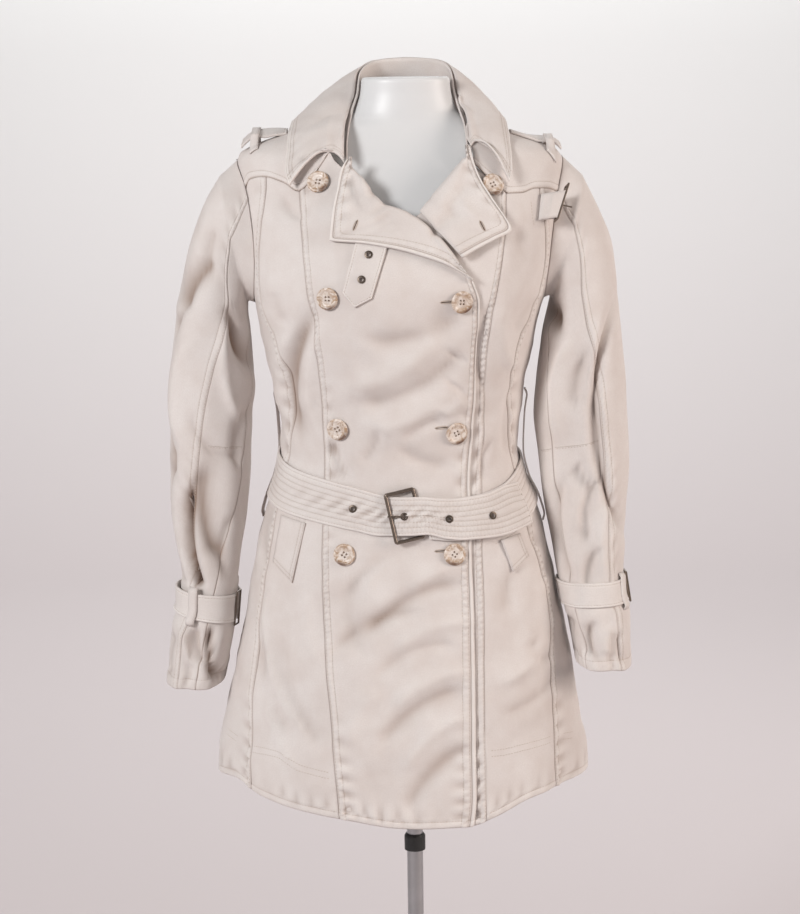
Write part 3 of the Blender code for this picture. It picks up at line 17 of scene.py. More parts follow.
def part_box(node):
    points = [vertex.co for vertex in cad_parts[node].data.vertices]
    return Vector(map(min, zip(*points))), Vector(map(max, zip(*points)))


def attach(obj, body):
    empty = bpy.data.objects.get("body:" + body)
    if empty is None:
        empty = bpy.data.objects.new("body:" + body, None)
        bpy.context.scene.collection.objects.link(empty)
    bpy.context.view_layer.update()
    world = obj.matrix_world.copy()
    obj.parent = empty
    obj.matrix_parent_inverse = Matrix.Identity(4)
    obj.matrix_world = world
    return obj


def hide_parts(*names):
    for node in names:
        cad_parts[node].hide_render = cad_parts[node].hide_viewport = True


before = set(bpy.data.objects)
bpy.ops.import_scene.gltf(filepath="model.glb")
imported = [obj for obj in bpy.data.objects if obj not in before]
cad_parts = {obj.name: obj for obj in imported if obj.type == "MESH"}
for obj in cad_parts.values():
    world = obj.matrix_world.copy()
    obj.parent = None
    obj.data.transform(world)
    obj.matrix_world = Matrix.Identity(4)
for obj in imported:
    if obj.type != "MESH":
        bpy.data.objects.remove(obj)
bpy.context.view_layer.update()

# Thicknesses, and the gap between two pieces of which one lies on the other.
CLOTH = 0.0018
DOUBLE_CLOTH = 0.0024
BELT_WALL = 0.0025
LAY_GAP = 0.0004
# How deep the left front lies under the right one, and how far out other pieces stand from the coat or the
# form.
OVERLAP_LEVEL = 0.0032
WELT_LIFT = 0.0020
COLLAR_CLEAR = 0.0068
STAND_CLEAR = 0.0060
BELT_LIFT = BELT_WALL + 0.0015
# Heights, and the x of the middle of the coat's front.
HEM_HEIGHT = 0.685
NECK_HEIGHT = 1.458
OVERLAP_TOP = 1.25
COAT_MIDDLE = -0.012
# The armholes: the middle's height, half the height, and how far they reach forward and back in degrees.
# The sleeve's first ring laps over their edges by some more degrees.
ARMHOLE_MIDDLE = 1.324
ARMHOLE_HALF = 0.0815
ARMHOLE_FRONT = 20.0
ARMHOLE_BACK = 22.0
ARMHOLE_LAP = 2.2
# Small steps that tell how a surface lies: degrees round the coat or a sleeve, metres up or out, and a
# share of a sleeve.
STEP_ROUND = 1.0
STEP_UP = 0.002
STEP_OUT = 0.001
SLEEVE_STEP_ROUND = 1.5
SLEEVE_STEP_DOWN = 0.01
# The search for a surface's upper side: its lowest height, its gap below the last ring, and how often it
# halves.
SEARCH_LOW = 1.30
SEARCH_TOP_GAP = 0.001
SEARCH_STEPS = 30

# The coat's rings: height, centre, half width, front depth, back depth, squareness.
BODY = (
    (0.655, -0.012, 0.2135, 0.166, 0.152, 2.35),
    (0.712, -0.012, 0.2142, 0.162, 0.148, 2.35),
    (0.750, -0.012, 0.2090, 0.158, 0.145, 2.35),
    (0.785, -0.011, 0.2020, 0.154, 0.141, 2.35),
    (0.838, -0.011, 0.1930, 0.146, 0.134, 2.35),
    (0.887, -0.010, 0.1829, 0.138, 0.126, 2.35),
    (0.935, -0.010, 0.1739, 0.131, 0.117, 2.35),
    (0.977, -0.011, 0.1652, 0.125, 0.108, 2.35),
    (1.012, -0.011, 0.1550, 0.121, 0.099, 2.35),
    (1.040, -0.012, 0.1430, 0.118, 0.092, 2.35),
    (1.070, -0.012, 0.1371, 0.118, 0.089, 2.30),
    (1.108, -0.012, 0.1382, 0.121, 0.091, 2.30),
    (1.154, -0.012, 0.1455, 0.129, 0.100, 2.25),
    (1.191, -0.012, 0.1540, 0.137, 0.107, 2.25),
    (1.230, -0.011, 0.1620, 0.144, 0.112, 2.25),
    (1.262, -0.009, 0.1690, 0.146, 0.115, 2.25),
    (1.300, -0.006, 0.1760, 0.138, 0.117, 2.25),
    (1.340, -0.005, 0.1805, 0.122, 0.116, 2.25),
    (1.375, -0.005, 0.1825, 0.104, 0.111, 2.25),
    (1.400, -0.007, 0.1845, 0.091, 0.104, 2.20),
    (1.412, -0.009, 0.1800, 0.084, 0.100, 2.20),
    (1.422, -0.011, 0.1610, 0.078, 0.096, 2.20),
    (1.432, -0.012, 0.1310, 0.071, 0.092, 2.20),
    (1.442, -0.008, 0.1050, 0.064, 0.088, 2.15),
    (1.452, -0.002, 0.0840, 0.056, 0.084, 2.10),
    (1.460, 0.000, 0.0660, 0.050, 0.082, 2.05),
    (1.470, 0.000, 0.0620, 0.047, 0.081, 2.00),
)
# Soft folds of the skirt: angle, width in degrees, height where it dies out, and how far it stands out.
SKIRT_FOLDS = (
    (-79.0, 9.0, 0.93, 0.0040),
    (-60.0, 9.0, 0.90, -0.0035),
    (-28.0, 8.0, 0.88, 0.0025),
    (14.0, 10.0, 0.86, -0.0020),
    (57.0, 9.0, 0.92, -0.0040),
    (80.0, 9.0, 0.92, 0.0040),
    (118.0, 9.0, 0.92, -0.0040),
    (140.0, 10.0, 0.94, 0.0050),
    (160.0, 8.0, 0.92, -0.0040),
    (-118.0, 9.0, 0.92, -0.0040),
    (-142.0, 10.0, 0.94, 0.0050),
    (-163.0, 8.0, 0.92, -0.0040),
)
# The height where the skirt's folds are fullest.
SKIRT_FOLDS_FULL = 0.70
# Seams of the body: height, and distance from the middle of the ring there.
PRINCESS_SEAM_RIGHT = (
    (0.655, 0.0715), (0.729, 0.0770), (0.790, 0.0822), (0.849, 0.0870), (0.925, 0.0905), (0.992, 0.0885),
    (1.069, 0.0845), (1.134, 0.0860), (1.182, 0.0880), (1.229, 0.0945), (1.281, 0.1050), (1.331, 0.1115),
    (1.375, 0.1140),
)
PRINCESS_SEAM_LEFT = (
    (0.655, 0.0930), (0.729, 0.0928), (0.790, 0.0908), (0.849, 0.0908), (0.925, 0.0900), (0.992, 0.0905),
    (1.069, 0.0930), (1.134, 0.0955), (1.182, 0.0975), (1.229, 0.1010), (1.281, 0.1080), (1.331, 0.1125),
    (1.375, 0.1145),
)
SIDE_FRONT_SEAM = (
    (0.655, 0.1740), (0.712, 0.1760), (0.772, 0.1745), (0.830, 0.1700), (0.859, 0.1680), (0.903, 0.1620),
    (0.944, 0.1560), (0.980, 0.1480), (1.012, 0.1420), (1.040, 0.1335), (1.070, 0.1270), (1.108, 0.1240),
    (1.165, 0.1260), (1.208, 0.1370), (1.231, 0.1480), (1.255, 0.1560), (1.298, 0.1600), (1.331, 0.1585),
    (1.365, 0.1535), (1.389, 0.1510),
)
# The yoke's lower edge: distance from the middle, and height.
YOKE_LINE_RIGHT = (
    (0.050, 1.4150), (0.0735, 1.4075), (0.0875, 1.3950), (0.1015, 1.3820), (0.1155, 1.3745), (0.1285, 1.3830),
    (0.1515, 1.3890), (0.1655, 1.3860), (0.1815, 1.3700), (0.190, 1.3640),
)
YOKE_LINE_LEFT = (
    (0.050, 1.4150), (0.0735, 1.4030), (0.0875, 1.3900), (0.1030, 1.3790), (0.1155, 1.3690), (0.1285, 1.3690),
    (0.1440, 1.3730), (0.1590, 1.3720), (0.1800, 1.3650), (0.190, 1.3620),
)
# Where the seams and the armhole meet the yoke: distance from the middle.
PRINCESS_TOP = 0.114
SIDE_FRONT_TOP = 0.151
SIDE_TOP = 0.178
# The hem: angle and height.
HEM_LINE = (
    (-180.0, 0.676), (-120.0, 0.680), (-92.0, 0.686), (-78.0, 0.697), (-64.0, 0.701), (-48.0, 0.692),
    (-30.0, 0.683), (-12.0, 0.673), (4.0, 0.664), (17.0, 0.664), (24.0, 0.672), (40.0, 0.690), (60.0, 0.694),
    (78.0, 0.694), (92.0, 0.688), (120.0, 0.680), (180.0, 0.676),
)
# The right front's edge: height, and distance from the coat's middle.
FRONT_EDGE = (
    (0.655, 0.0775), (0.700, 0.0825), (0.780, 0.0820), (0.884, 0.0812), (0.980, 0.0796), (1.057, 0.0785),
    (1.096, 0.0817), (1.157, 0.0866), (1.215, 0.0896), (1.254, 0.0900), (1.277, 0.0830),
)
# The left front's edge lies this far from the coat's middle, under the right one.
LEFT_FRONT_REACH = 0.078
# The folds of the lapels: distance from the coat's middle, and height.
ROLL_LINE_RIGHT = (
    (-0.060, 1.4100), (-0.034, 1.3830), (-0.014, 1.3606), (0.0148, 1.3480), (0.0315, 1.3350), (0.048, 1.3200),
    (0.064, 1.3000), (0.083, 1.2770),
)
ROLL_LINE_LEFT = (
    (-0.076, 1.2800), (-0.050, 1.3020), (-0.020, 1.3260), (0.0148, 1.3480), (0.041, 1.3790), (0.058, 1.3985),
    (0.072, 1.4080),
)
# The x where each side's fold meets the front's edge, and where it meets the neck.
BREAK_X = {-1: 0.083, 1: -0.076}
NECK_X = {-1: -0.060, 1: 0.065}
# How far +X of their even places the princess seam's top and the yoke's line lie.
SEAM_SHIFT = 0.0065
YOKE_SHIFT = 0.0055
# The lapels, from the neck to the break: the fold's x and z, then the outer edge's x and z.
LAPEL_RIGHT = (
    (-0.0603, 1.4085, -0.0668, 1.4042),
    (-0.0600, 1.4010, -0.0725, 1.3940),
    (-0.0545, 1.3930, -0.0765, 1.3720),
    (-0.0420, 1.3790, -0.0815, 1.3480),
    (-0.0256, 1.3606, -0.0841, 1.3213),
    (0.0010, 1.3500, -0.0500, 1.3180),
    (0.0190, 1.3380, -0.0150, 1.3120),
    (0.0350, 1.3230, 0.0150, 1.3040),
    (0.0500, 1.3040, 0.0350, 1.2970),
    (0.0630, 1.2850, 0.0540, 1.2875),
    (0.0695, 1.2780, 0.0665, 1.2800),
)
LAPEL_LEFT = (
    (0.0650, 1.4190, 0.0695, 1.4165),
    (0.0645, 1.4080, 0.0730, 1.4010),
    (0.0570, 1.4010, 0.0800, 1.3830),
    (0.0470, 1.3900, 0.0920, 1.3620),
    (0.0380, 1.3800, 0.1114, 1.3296),
    (0.0290, 1.3700, 0.0950, 1.3200),
    (0.0200, 1.3600, 0.0773, 1.3117),
    (0.0130, 1.3520, 0.0580, 1.3015),
)
# The collar, round the neck from the right notch: the fold's x, y, z, then the outer edge's x, y, z.
COLLAR = (
    (-0.0690, -0.0665, 1.4075, -0.1300, -0.0960, 1.3820),
    (-0.0690, -0.0560, 1.4260, -0.1350, -0.0840, 1.3980),
    (-0.0675, -0.0420, 1.4440, -0.1335, -0.0620, 1.4180),
    (-0.0635, -0.0180, 1.4640, -0.1325, -0.0300, 1.4370),
    (-0.0580, 0.0030, 1.4830, -0.1290, 0.0050, 1.4480),
    (-0.0565, 0.0280, 1.5010, -0.1180, 0.0460, 1.4490),
    (-0.0470, 0.0540, 1.5130, -0.0940, 0.0920, 1.4390),
    (-0.0280, 0.0730, 1.5185, -0.0560, 0.1200, 1.4290),
    (0.0010, 0.0800, 1.5200, 0.0000, 0.1290, 1.4260),
    (0.0310, 0.0730, 1.5185, 0.0540, 0.1200, 1.4290),
    (0.0500, 0.0540, 1.5130, 0.0860, 0.0920, 1.4390),
    (0.0570, 0.0280, 1.5010, 0.1010, 0.0460, 1.4490),
    (0.0590, 0.0030, 1.4830, 0.1110, 0.0050, 1.4480),
    (0.0630, -0.0180, 1.4640, 0.1150, -0.0300, 1.4370),
    (0.0680, -0.0420, 1.4480, 0.1160, -0.0620, 1.4180),
    (0.0695, -0.0560, 1.4340, 0.1170, -0.0840, 1.3980),
    (0.0700, -0.0640, 1.4220, 0.1130, -0.0940, 1.3830),
)
# How far the collar's front edges are scooped out, right and left, how far towards the neck the scoop is
# deepest, and the share of the collar over which it fades.
SCOOP_RIGHT = 0.0165
SCOOP_LEFT = 0.0130
SCOOP_SKEW = 0.7
SCOOP_FADE = 0.035
# The collar's shape: the y that it leans away from, its bulge, how much less it bulges in front, how far
# the bulge lifts it, how far its fold is rounded off and over what share, and its clearance at the fold and
# from there on.
COLLAR_CENTRE_Y = 0.015
COLLAR_BULGE = 0.010
COLLAR_BULGE_LOSS = 0.55
COLLAR_BULGE_LIFT = 0.5
COLLAR_CROWN = 0.003
COLLAR_CROWN_SHARE = 0.12
FOLD_CLEARANCE = 0.85
FOLD_CLEARANCE_FADE = 0.02
CLEARANCE_GROWTH = 4
# The collar's stand: how far in and down from the fold it starts, its height and its spread in front and
# added behind, its least height over the form's neck, where it stands behind, and its least own height.
STAND_INSET = 0.0052
STAND_DROP = 0.0040
STAND_HEIGHTS = (0.006, 0.034)
STAND_SPREADS = (0.001, 0.0085)
STAND_BEHIND_Y = -0.012
STAND_NECK_GAP = 0.0012
STAND_LEAST = 0.008
# The sleeves' rings from the armhole down: outer x and z, inner x and z, middle y, half depth, the front
# seam's and the under seam's angles (0 outside, 90 in front, 180 inside).
SLEEVE_RIGHT = (
    (-0.2120, 1.3881, -0.1830, 1.2450, 0.000, 0.0540, 88.0, 168.0),
    (-0.2335, 1.3499, -0.1815, 1.2320, 0.001, 0.0570, 100.0, 168.0),
    (-0.2530, 1.3000, -0.1795, 1.2130, 0.003, 0.0590, 112.0, 166.0),
    (-0.2665, 1.2450, -0.1785, 1.1890, 0.005, 0.0600, 105.0, 163.0),
    (-0.2730, 1.1850, -0.1760, 1.1510, 0.006, 0.0600, 92.0, 158.0),
    (-0.2785, 1.1250, -0.1815, 1.1060, 0.005, 0.0580, 86.0, 153.0),
    (-0.2820, 1.0636, -0.1840, 1.0560, 0.003, 0.0550, 81.0, 146.0),
    (-0.2800, 1.0050, -0.1895, 1.0040, -0.001, 0.0520, 74.0, 135.0),
    (-0.2740, 0.9600, -0.1955, 0.9590, -0.006, 0.0490, 70.0, 120.0),
    (-0.2690, 0.9220, -0.2010, 0.9210, -0.010, 0.0460, 66.0, 106.0),
    (-0.2690, 0.8980, -0.2045, 0.8960, -0.013, 0.0440, 64.0, 100.0),
    (-0.2780, 0.8740, -0.2060, 0.8710, -0.016, 0.0460, 62.0, 97.0),
    (-0.2855, 0.8380, -0.2120, 0.8380, -0.019, 0.0490, 60.0, 95.0),
    (-0.2885, 0.8030, -0.2200, 0.8030, -0.021, 0.0500, 60.0, 95.0),
)
SLEEVE_LEFT = (
    (0.2000, 1.3830, 0.1640, 1.2450, 0.000, 0.0540, 78.0, 165.0),
    (0.2190, 1.3450, 0.1600, 1.2320, 0.001, 0.0560, 84.0, 163.0),
    (0.2340, 1.3020, 0.1555, 1.2130, 0.002, 0.0580, 90.0, 158.0),
    (0.2405, 1.2500, 0.1515, 1.1890, 0.002, 0.0590, 86.0, 145.0),
    (0.2455, 1.1897, 0.1455, 1.1530, 0.001, 0.0590, 75.0, 137.0),
    (0.2505, 1.1300, 0.1435, 1.1110, -0.001, 0.0570, 72.0, 132.0),
    (0.2527, 1.0670, 0.1490, 1.0600, -0.004, 0.0540, 70.0, 135.0),
    (0.2503, 1.0085, 0.1548, 1.0085, -0.012, 0.0510, 67.0, 135.0),
    (0.2465, 0.9670, 0.1620, 0.9660, -0.023, 0.0480, 65.0, 134.0),
    (0.2432, 0.9305, 0.1682, 0.9305, -0.034, 0.0450, 63.0, 134.0),
    (0.2435, 0.9090, 0.1720, 0.9090, -0.042, 0.0430, 62.0, 132.0),
    (0.2498, 0.8875, 0.1764, 0.8875, -0.047, 0.0450, 60.0, 130.0),
    (0.2508, 0.8578, 0.1829, 0.8578, -0.051, 0.0480, 60.0, 128.0),
    (0.2518, 0.8250, 0.1893, 0.8290, -0.053, 0.0490, 60.0, 128.0),
)
# Folds of the sleeves: where along (0 at the armhole, 1 at the cuff), angle, length, width in degrees,
# depth.
SLEEVE_FOLDS = (
    (0.52, 105.0, 0.16, 16.0, -0.0045),
    (0.55, 60.0, 0.14, 14.0, 0.0030),
    (0.60, 250.0, 0.16, 18.0, -0.0045),
    (0.97, 78.0, 0.13, 13.0, -0.0065),
    (0.96, 118.0, 0.12, 14.0, 0.0045),
    (0.97, 255.0, 0.12, 16.0, -0.0060),
)
# The seams' angles: the one behind, also a turn further on, and the others' start at the armhole with their
# column.
BACK_SEAMS = {"back": -98.0, "back_again": 262.0}
SLEEVE_SEAMS = {"front": (62.0, 6), "under": (160.0, 7)}
# The sleeve's roundness, how much of the armhole's height its first ring fills, and how far out that ring
# stands.
SLEEVE_ROUNDNESS = 0.92
ARMHOLE_FILL = 0.99
SLEEVE_START_LIFT = 0.0010
# The form's rings: height, centre, half width, front depth, back depth, squareness.
FORM = (
    (0.840, -0.008, 0.148, 0.104, 0.100, 2.3),
    (0.900, -0.008, 0.150, 0.110, 0.103, 2.3),
    (0.960, -0.009, 0.142, 0.106, 0.096, 2.3),
    (1.010, -0.010, 0.130, 0.101, 0.084, 2.2),
    (1.060, -0.010, 0.122, 0.099, 0.076, 2.2),
    (1.110, -0.010, 0.124, 0.102, 0.078, 2.2),
    (1.160, -0.010, 0.132, 0.111, 0.087, 2.2),
    (1.210, -0.010, 0.142, 0.124, 0.096, 2.2),
    (1.260, -0.009, 0.151, 0.129, 0.102, 2.2),
    (1.300, -0.007, 0.158, 0.118, 0.105, 2.2),
    (1.340, -0.006, 0.164, 0.098, 0.104, 2.2),
    (1.370, -0.006, 0.169, 0.079, 0.100, 2.2),
    (1.395, -0.007, 0.172, 0.063, 0.093, 2.2),
    (1.410, -0.009, 0.1670, 0.0550, 0.088, 2.1),
    (1.420, -0.010, 0.1570, 0.0492, 0.084, 2.1),
    (1.430, -0.011, 0.1278, 0.0442, 0.080, 2.1),
    (1.440, -0.007, 0.1010, 0.0400, 0.076, 2.1),
    (1.450, -0.002, 0.0730, 0.0376, 0.072, 2.0),
    (1.458, -0.001, 0.0600, 0.0368, 0.069, 2.0),
    (1.470, 0.000, 0.0535, 0.0356, 0.067, 2.0),
    (1.4800, 0.000, 0.0510, 0.0348, 0.065, 2.0),
    (1.4915, 0.000, 0.0500, 0.0345, 0.065, 2.0),
)
# How far the yoke's neck edge bows in under the collar, in degrees.
YOKE_REACH = {-1: 7.0, 1: 0.0}
# How far the right front runs on under the collar, and over what width.
FRONT_RISE = 0.011
FRONT_RISE_WIDTH = 0.014
# The heights of the yoke's upper edge, from the armhole to the neck.
NECK_LEVELS = (1.4055, 1.4200, 1.4350, 1.4470, NECK_HEIGHT)
# What the yoke's lower edge runs along: the panel, and where it starts, as a share of the edge.
YOKE_RUN = (("side", 0.0), ("side_front", 0.4), ("front", 0.8))
YOKE_PANEL_SHARE = 0.4
# The share of the yoke at its armhole that follows the armhole's edge.
YOKE_AT_ARMHOLE = 0.10

# An epaulette, from its outer end in: x, height of its front edge, height of its back edge.
EPAULETTE_RIGHT = (
    (-0.1870, 1.4205, 1.4270),
    (-0.1790, 1.4280, 1.4340),
    (-0.1700, 1.4335, 1.4375),
    (-0.1588, 1.4325, 1.4395),
    (-0.1465, 1.4345, 1.4400),
    (-0.1345, 1.4356, 1.4392),
)
EPAULETTE_LEFT = (
    (0.1755, 1.4145, 1.4200),
    (0.1700, 1.4200, 1.4240),
    (0.1600, 1.4240, 1.4267),
    (0.1450, 1.4238, 1.4280),
    (0.1300, 1.4238, 1.4295),
    (0.1178, 1.4235, 1.4305),
)
EPAULETTE_HALF = 0.0215
EPAULETTE_CROWN = 0.0012
EPAULETTE_CLEAR = DOUBLE_CLOTH + 0.0009
# Its loop: half its width, its clearance, the share of the epaulette that it bridges, and by side its
# place.
LOOP_HALF = 0.0045
LOOP_CLEAR = CLOTH + 0.0012
LOOP_BRIDGE = 0.08
LOOP_SHARES = {-1: 0.40, 1: 0.38}
# A loop over the epaulette, from front to back: y, and 0 where it lies on the coat or 1 on the epaulette.
LOOP_PATH = (
    (-0.0370, 0.0), (-0.0310, 0.0), (-0.0262, 0.55), (-0.0246, 1.0), (-0.0100, 1.0), (0.0100, 1.0),
    (0.0246, 1.0), (0.0262, 0.55), (0.0310, 0.0), (0.0370, 0.0),
)
# Side, the strap's start and end angles, the loop's angle.
CUFF_STRAPS = (
    (-1, -187.0, 157.0, 68.0),
    (1, 8.0, 354.0, 33.0),
)
# The strap's edges as shares of the sleeve, and how far it lies off the sleeve. By side: how far lower it
# hangs inside, and how much further it stands off outside.
STRAP_TOP = 0.728
STRAP_BOTTOM = 0.822
STRAP_LIFT = 0.0034
STRAP_DROP = {-1: 0.0120, 1: 0.0024}
STRAP_STAND_OFF = {-1: 0.0030, 1: 0.0}
# The strap's loop: its width in degrees, how far it reaches past the strap, its lift, and how steeply it
# rises.
CUFF_LOOP_WIDTH = 14.0
CUFF_LOOP_PAST = 0.22
CUFF_LOOP_LIFT = 0.0024
CUFF_LOOP_RAMP = 4.0
# The belt's path angle runs from the buckle's end, round the back by the wearer's left, to the tongue's
# tip.
BELT_START = 6.9
BELT_END = 421.0
# The lean of its start in degrees, which is gone after 1 part in so many.
BELT_START_LEAN = 2.6
BELT_START_PARTS = 12
# Path angle, lower edge's height, upper edge's height.
BELT_EDGES = (
    (0.0, 0.9925, 1.0360), (8.0, 0.9880, 1.0335), (18.0, 0.9850, 1.0325), (30.0, 0.9850, 1.0336),
    (50.0, 0.9925, 1.0410), (80.0, 1.0100, 1.0600), (130.0, 1.0220, 1.0720), (180.0, 1.0270, 1.0770),
    (230.0, 1.0270, 1.0770), (270.0, 1.0210, 1.0710), (300.0, 1.0130, 1.0625), (325.0, 1.0060, 1.0545),
    (345.0, 0.9975, 1.0450), (354.0, 0.9925, 1.0385), (358.0, 0.9925, 1.0362), (363.0, 0.9928, 1.0362),
    (367.0, 0.9935, 1.0360), (374.0, 0.9880, 1.0335), (382.0, 0.9855, 1.0325), (395.0, 0.9855, 1.0340),
    (412.0, 0.9900, 1.0405), (423.0, 0.9940, 1.0400),
)
# How far the belt stands out further where it passes over the buckle's bar and then its own end.
BELT_RISE = (
    (0.0, 0.0), (356.4, 0.0), (358.5, 0.0016), (361.5, 0.0042), (368.0, 0.0042), (380.0, 0.0034),
    (430.0, 0.0034),
)
EYELET_HOLE = 0.0026
# The rod that cuts an eyelet's hole: its length, its sides, and how far in its middle lies.
HOLE_DEPTH = 0.0052
HOLE_SEGMENTS = 24
HOLE_INSET = 0.0006
# A belt carrier, from its top down: height and how far it stands out.
CARRIER = (
    (1.142, 0.0026), (1.133, 0.0070), (1.110, 0.0070), (1.085, 0.0068), (1.050, 0.0070), (1.015, 0.0068),
    (0.994, 0.0064), (0.986, 0.0026),
)
CARRIER_ANGLES = ((-1, -102.0), (1, 86.0))
CARRIER_WIDTH = 3.4
# The throat tab's corners as x and z: upper left, upper right, lower right, lower left, and its point.
TAB_CORNERS = ((-0.0560, 1.3250), (-0.0205, 1.3200), (-0.0400, 1.2608), (-0.0716, 1.2667))
TAB_POINT_SHARE = 0.4
TAB_POINT_DROP = 0.0135
TAB_LIFT = 0.0034
# The belt's buckle: its middle as x and z, its half width and half height, its lean in degrees, its wire's
# and its corners' radius, how far along a corner its first point lies, the other points along a side, the
# wire's sides, and how far off the coat its near and far bars stand.
BUCKLE_MIDDLE = (-0.0075, 1.0150)
BUCKLE_HALVES = (0.0155, 0.0275)
BUCKLE_LEAN = 12.0
BUCKLE_WIRE = 0.0021
BUCKLE_CORNER = 0.0028
BUCKLE_CORNER_START = 0.35
BUCKLE_SIDE_POINTS = 9
BUCKLE_SIDES = 12
BUCKLE_LIFTS = (0.0070, 0.0027)
# The throat's buckle strap at the left armhole. Each end's upper and lower corner, as x and z.
STRAP_ROOT = ((0.1490, 1.3662), (0.1455, 1.3384))
STRAP_END = ((0.1752, 1.3690), (0.1648, 1.3400))
# How far it stands off the coat, its turn back, the bar's room in its fold, half the share of its length
# that goes round the bar, the gap between its layers where they are sewn on, and how squarely it closes
# towards there.
STRAP_STAND = 0.0032
STRAP_TURN_BACK = 0.30
STRAP_FOLD = 0.0016
STRAP_BEND = 0.15
STRAP_LAYER_GAP = 0.00015
STRAP_CLOSING = 0.7
# The welts' corners as x and z: upper left, upper right, lower right, lower left.
WELT_RIGHT = ((-0.1462, 1.0080), (-0.1180, 1.0030), (-0.1348, 0.9349), (-0.1570, 0.9538))
WELT_LEFT = ((0.1000, 0.9815), (0.1225, 0.9850), (0.1330, 0.9580), (0.1135, 0.9440))
# Buttons as x and z in the world, and how far they stand out.
BUTTONS = (
    (-0.0880, 1.2600, 0.0006),
    (-0.0800, 1.1120, 0.0009),
    (-0.0750, 0.9710, 0.0006),
    (0.0577, 1.2548, 0.0006),
    (0.0510, 1.1057, 0.0006),
    (0.0476, 0.9700, 0.0006),
    (-0.0975, 1.3840, 0.0006),
    (0.0940, 1.3785, 0.0006),
)
BUTTON_RADIUS = 0.0125
BUTTON_THICKNESS = 0.0034

# The folds' depths in the tables below are multiplied by these.
BODY_FOLD_DEPTH = 2.3
BACK_FOLD_SHARE = 0.65
SLEEVE_FOLD_DEPTH = 2.3
# A fold's shape: its bow as a share of its length, the half of it that is at full depth, over what share
# its ends fade, and how square its sides are.
FOLD_BOW = 0.10
FOLD_FULL = 0.34
FOLD_FADE = 0.17
FOLD_SQUARENESS = 1.6
# The depth over which front folds give way to back folds, on the body and on a sleeve.
BODY_TURN = 0.05
SLEEVE_TURN = 0.030
# Unevenness of the cloth: depth, size and seed.
BODY_UNEVEN = ((0.0010, 0.045, 1), (0.0009, 0.017, 7))
SLEEVE_UNEVEN = ((0.0010, 0.040, 3),)
LAPEL_UNEVEN = ((0.0005, 0.018, 6),)
# Streaks: depth, how far they lean up from +X in degrees, length, width and seed. A sleeve's lean is side
# times SLEEVE_STREAK_LEAN off the upright.
BODY_STREAKS = (0.0018, 30.0, 0.110, 0.024, 2)
SLEEVE_STREAKS = (0.0014, 90.0, 0.100, 0.020, 4)
SLEEVE_STREAK_LEAN = 12.0
# How much of the folds is lost under what lies on them, under a strap and at an armhole.
COVER_LOSS = 0.88
STRAP_LOSS = 0.8
ARMHOLE_LOSS = 0.9
# Where the loss begins: round the belt, by side the heights of the cuff's strap, and at the armhole the
# distance from the middle and the height, on the body and on a sleeve, with the widths over which it grows.
BELT_MARGIN = 0.010
UNDER_STRAP = {-1: (0.888, 0.928), 1: (0.893, 0.928)}
STRAP_MARGIN = 0.008
BODY_AT_ARMHOLE = (0.135, 1.235)
SLEEVE_AT_ARMHOLE = (0.215, 1.225)
ARMHOLE_MARGINS = (0.030, 0.025)
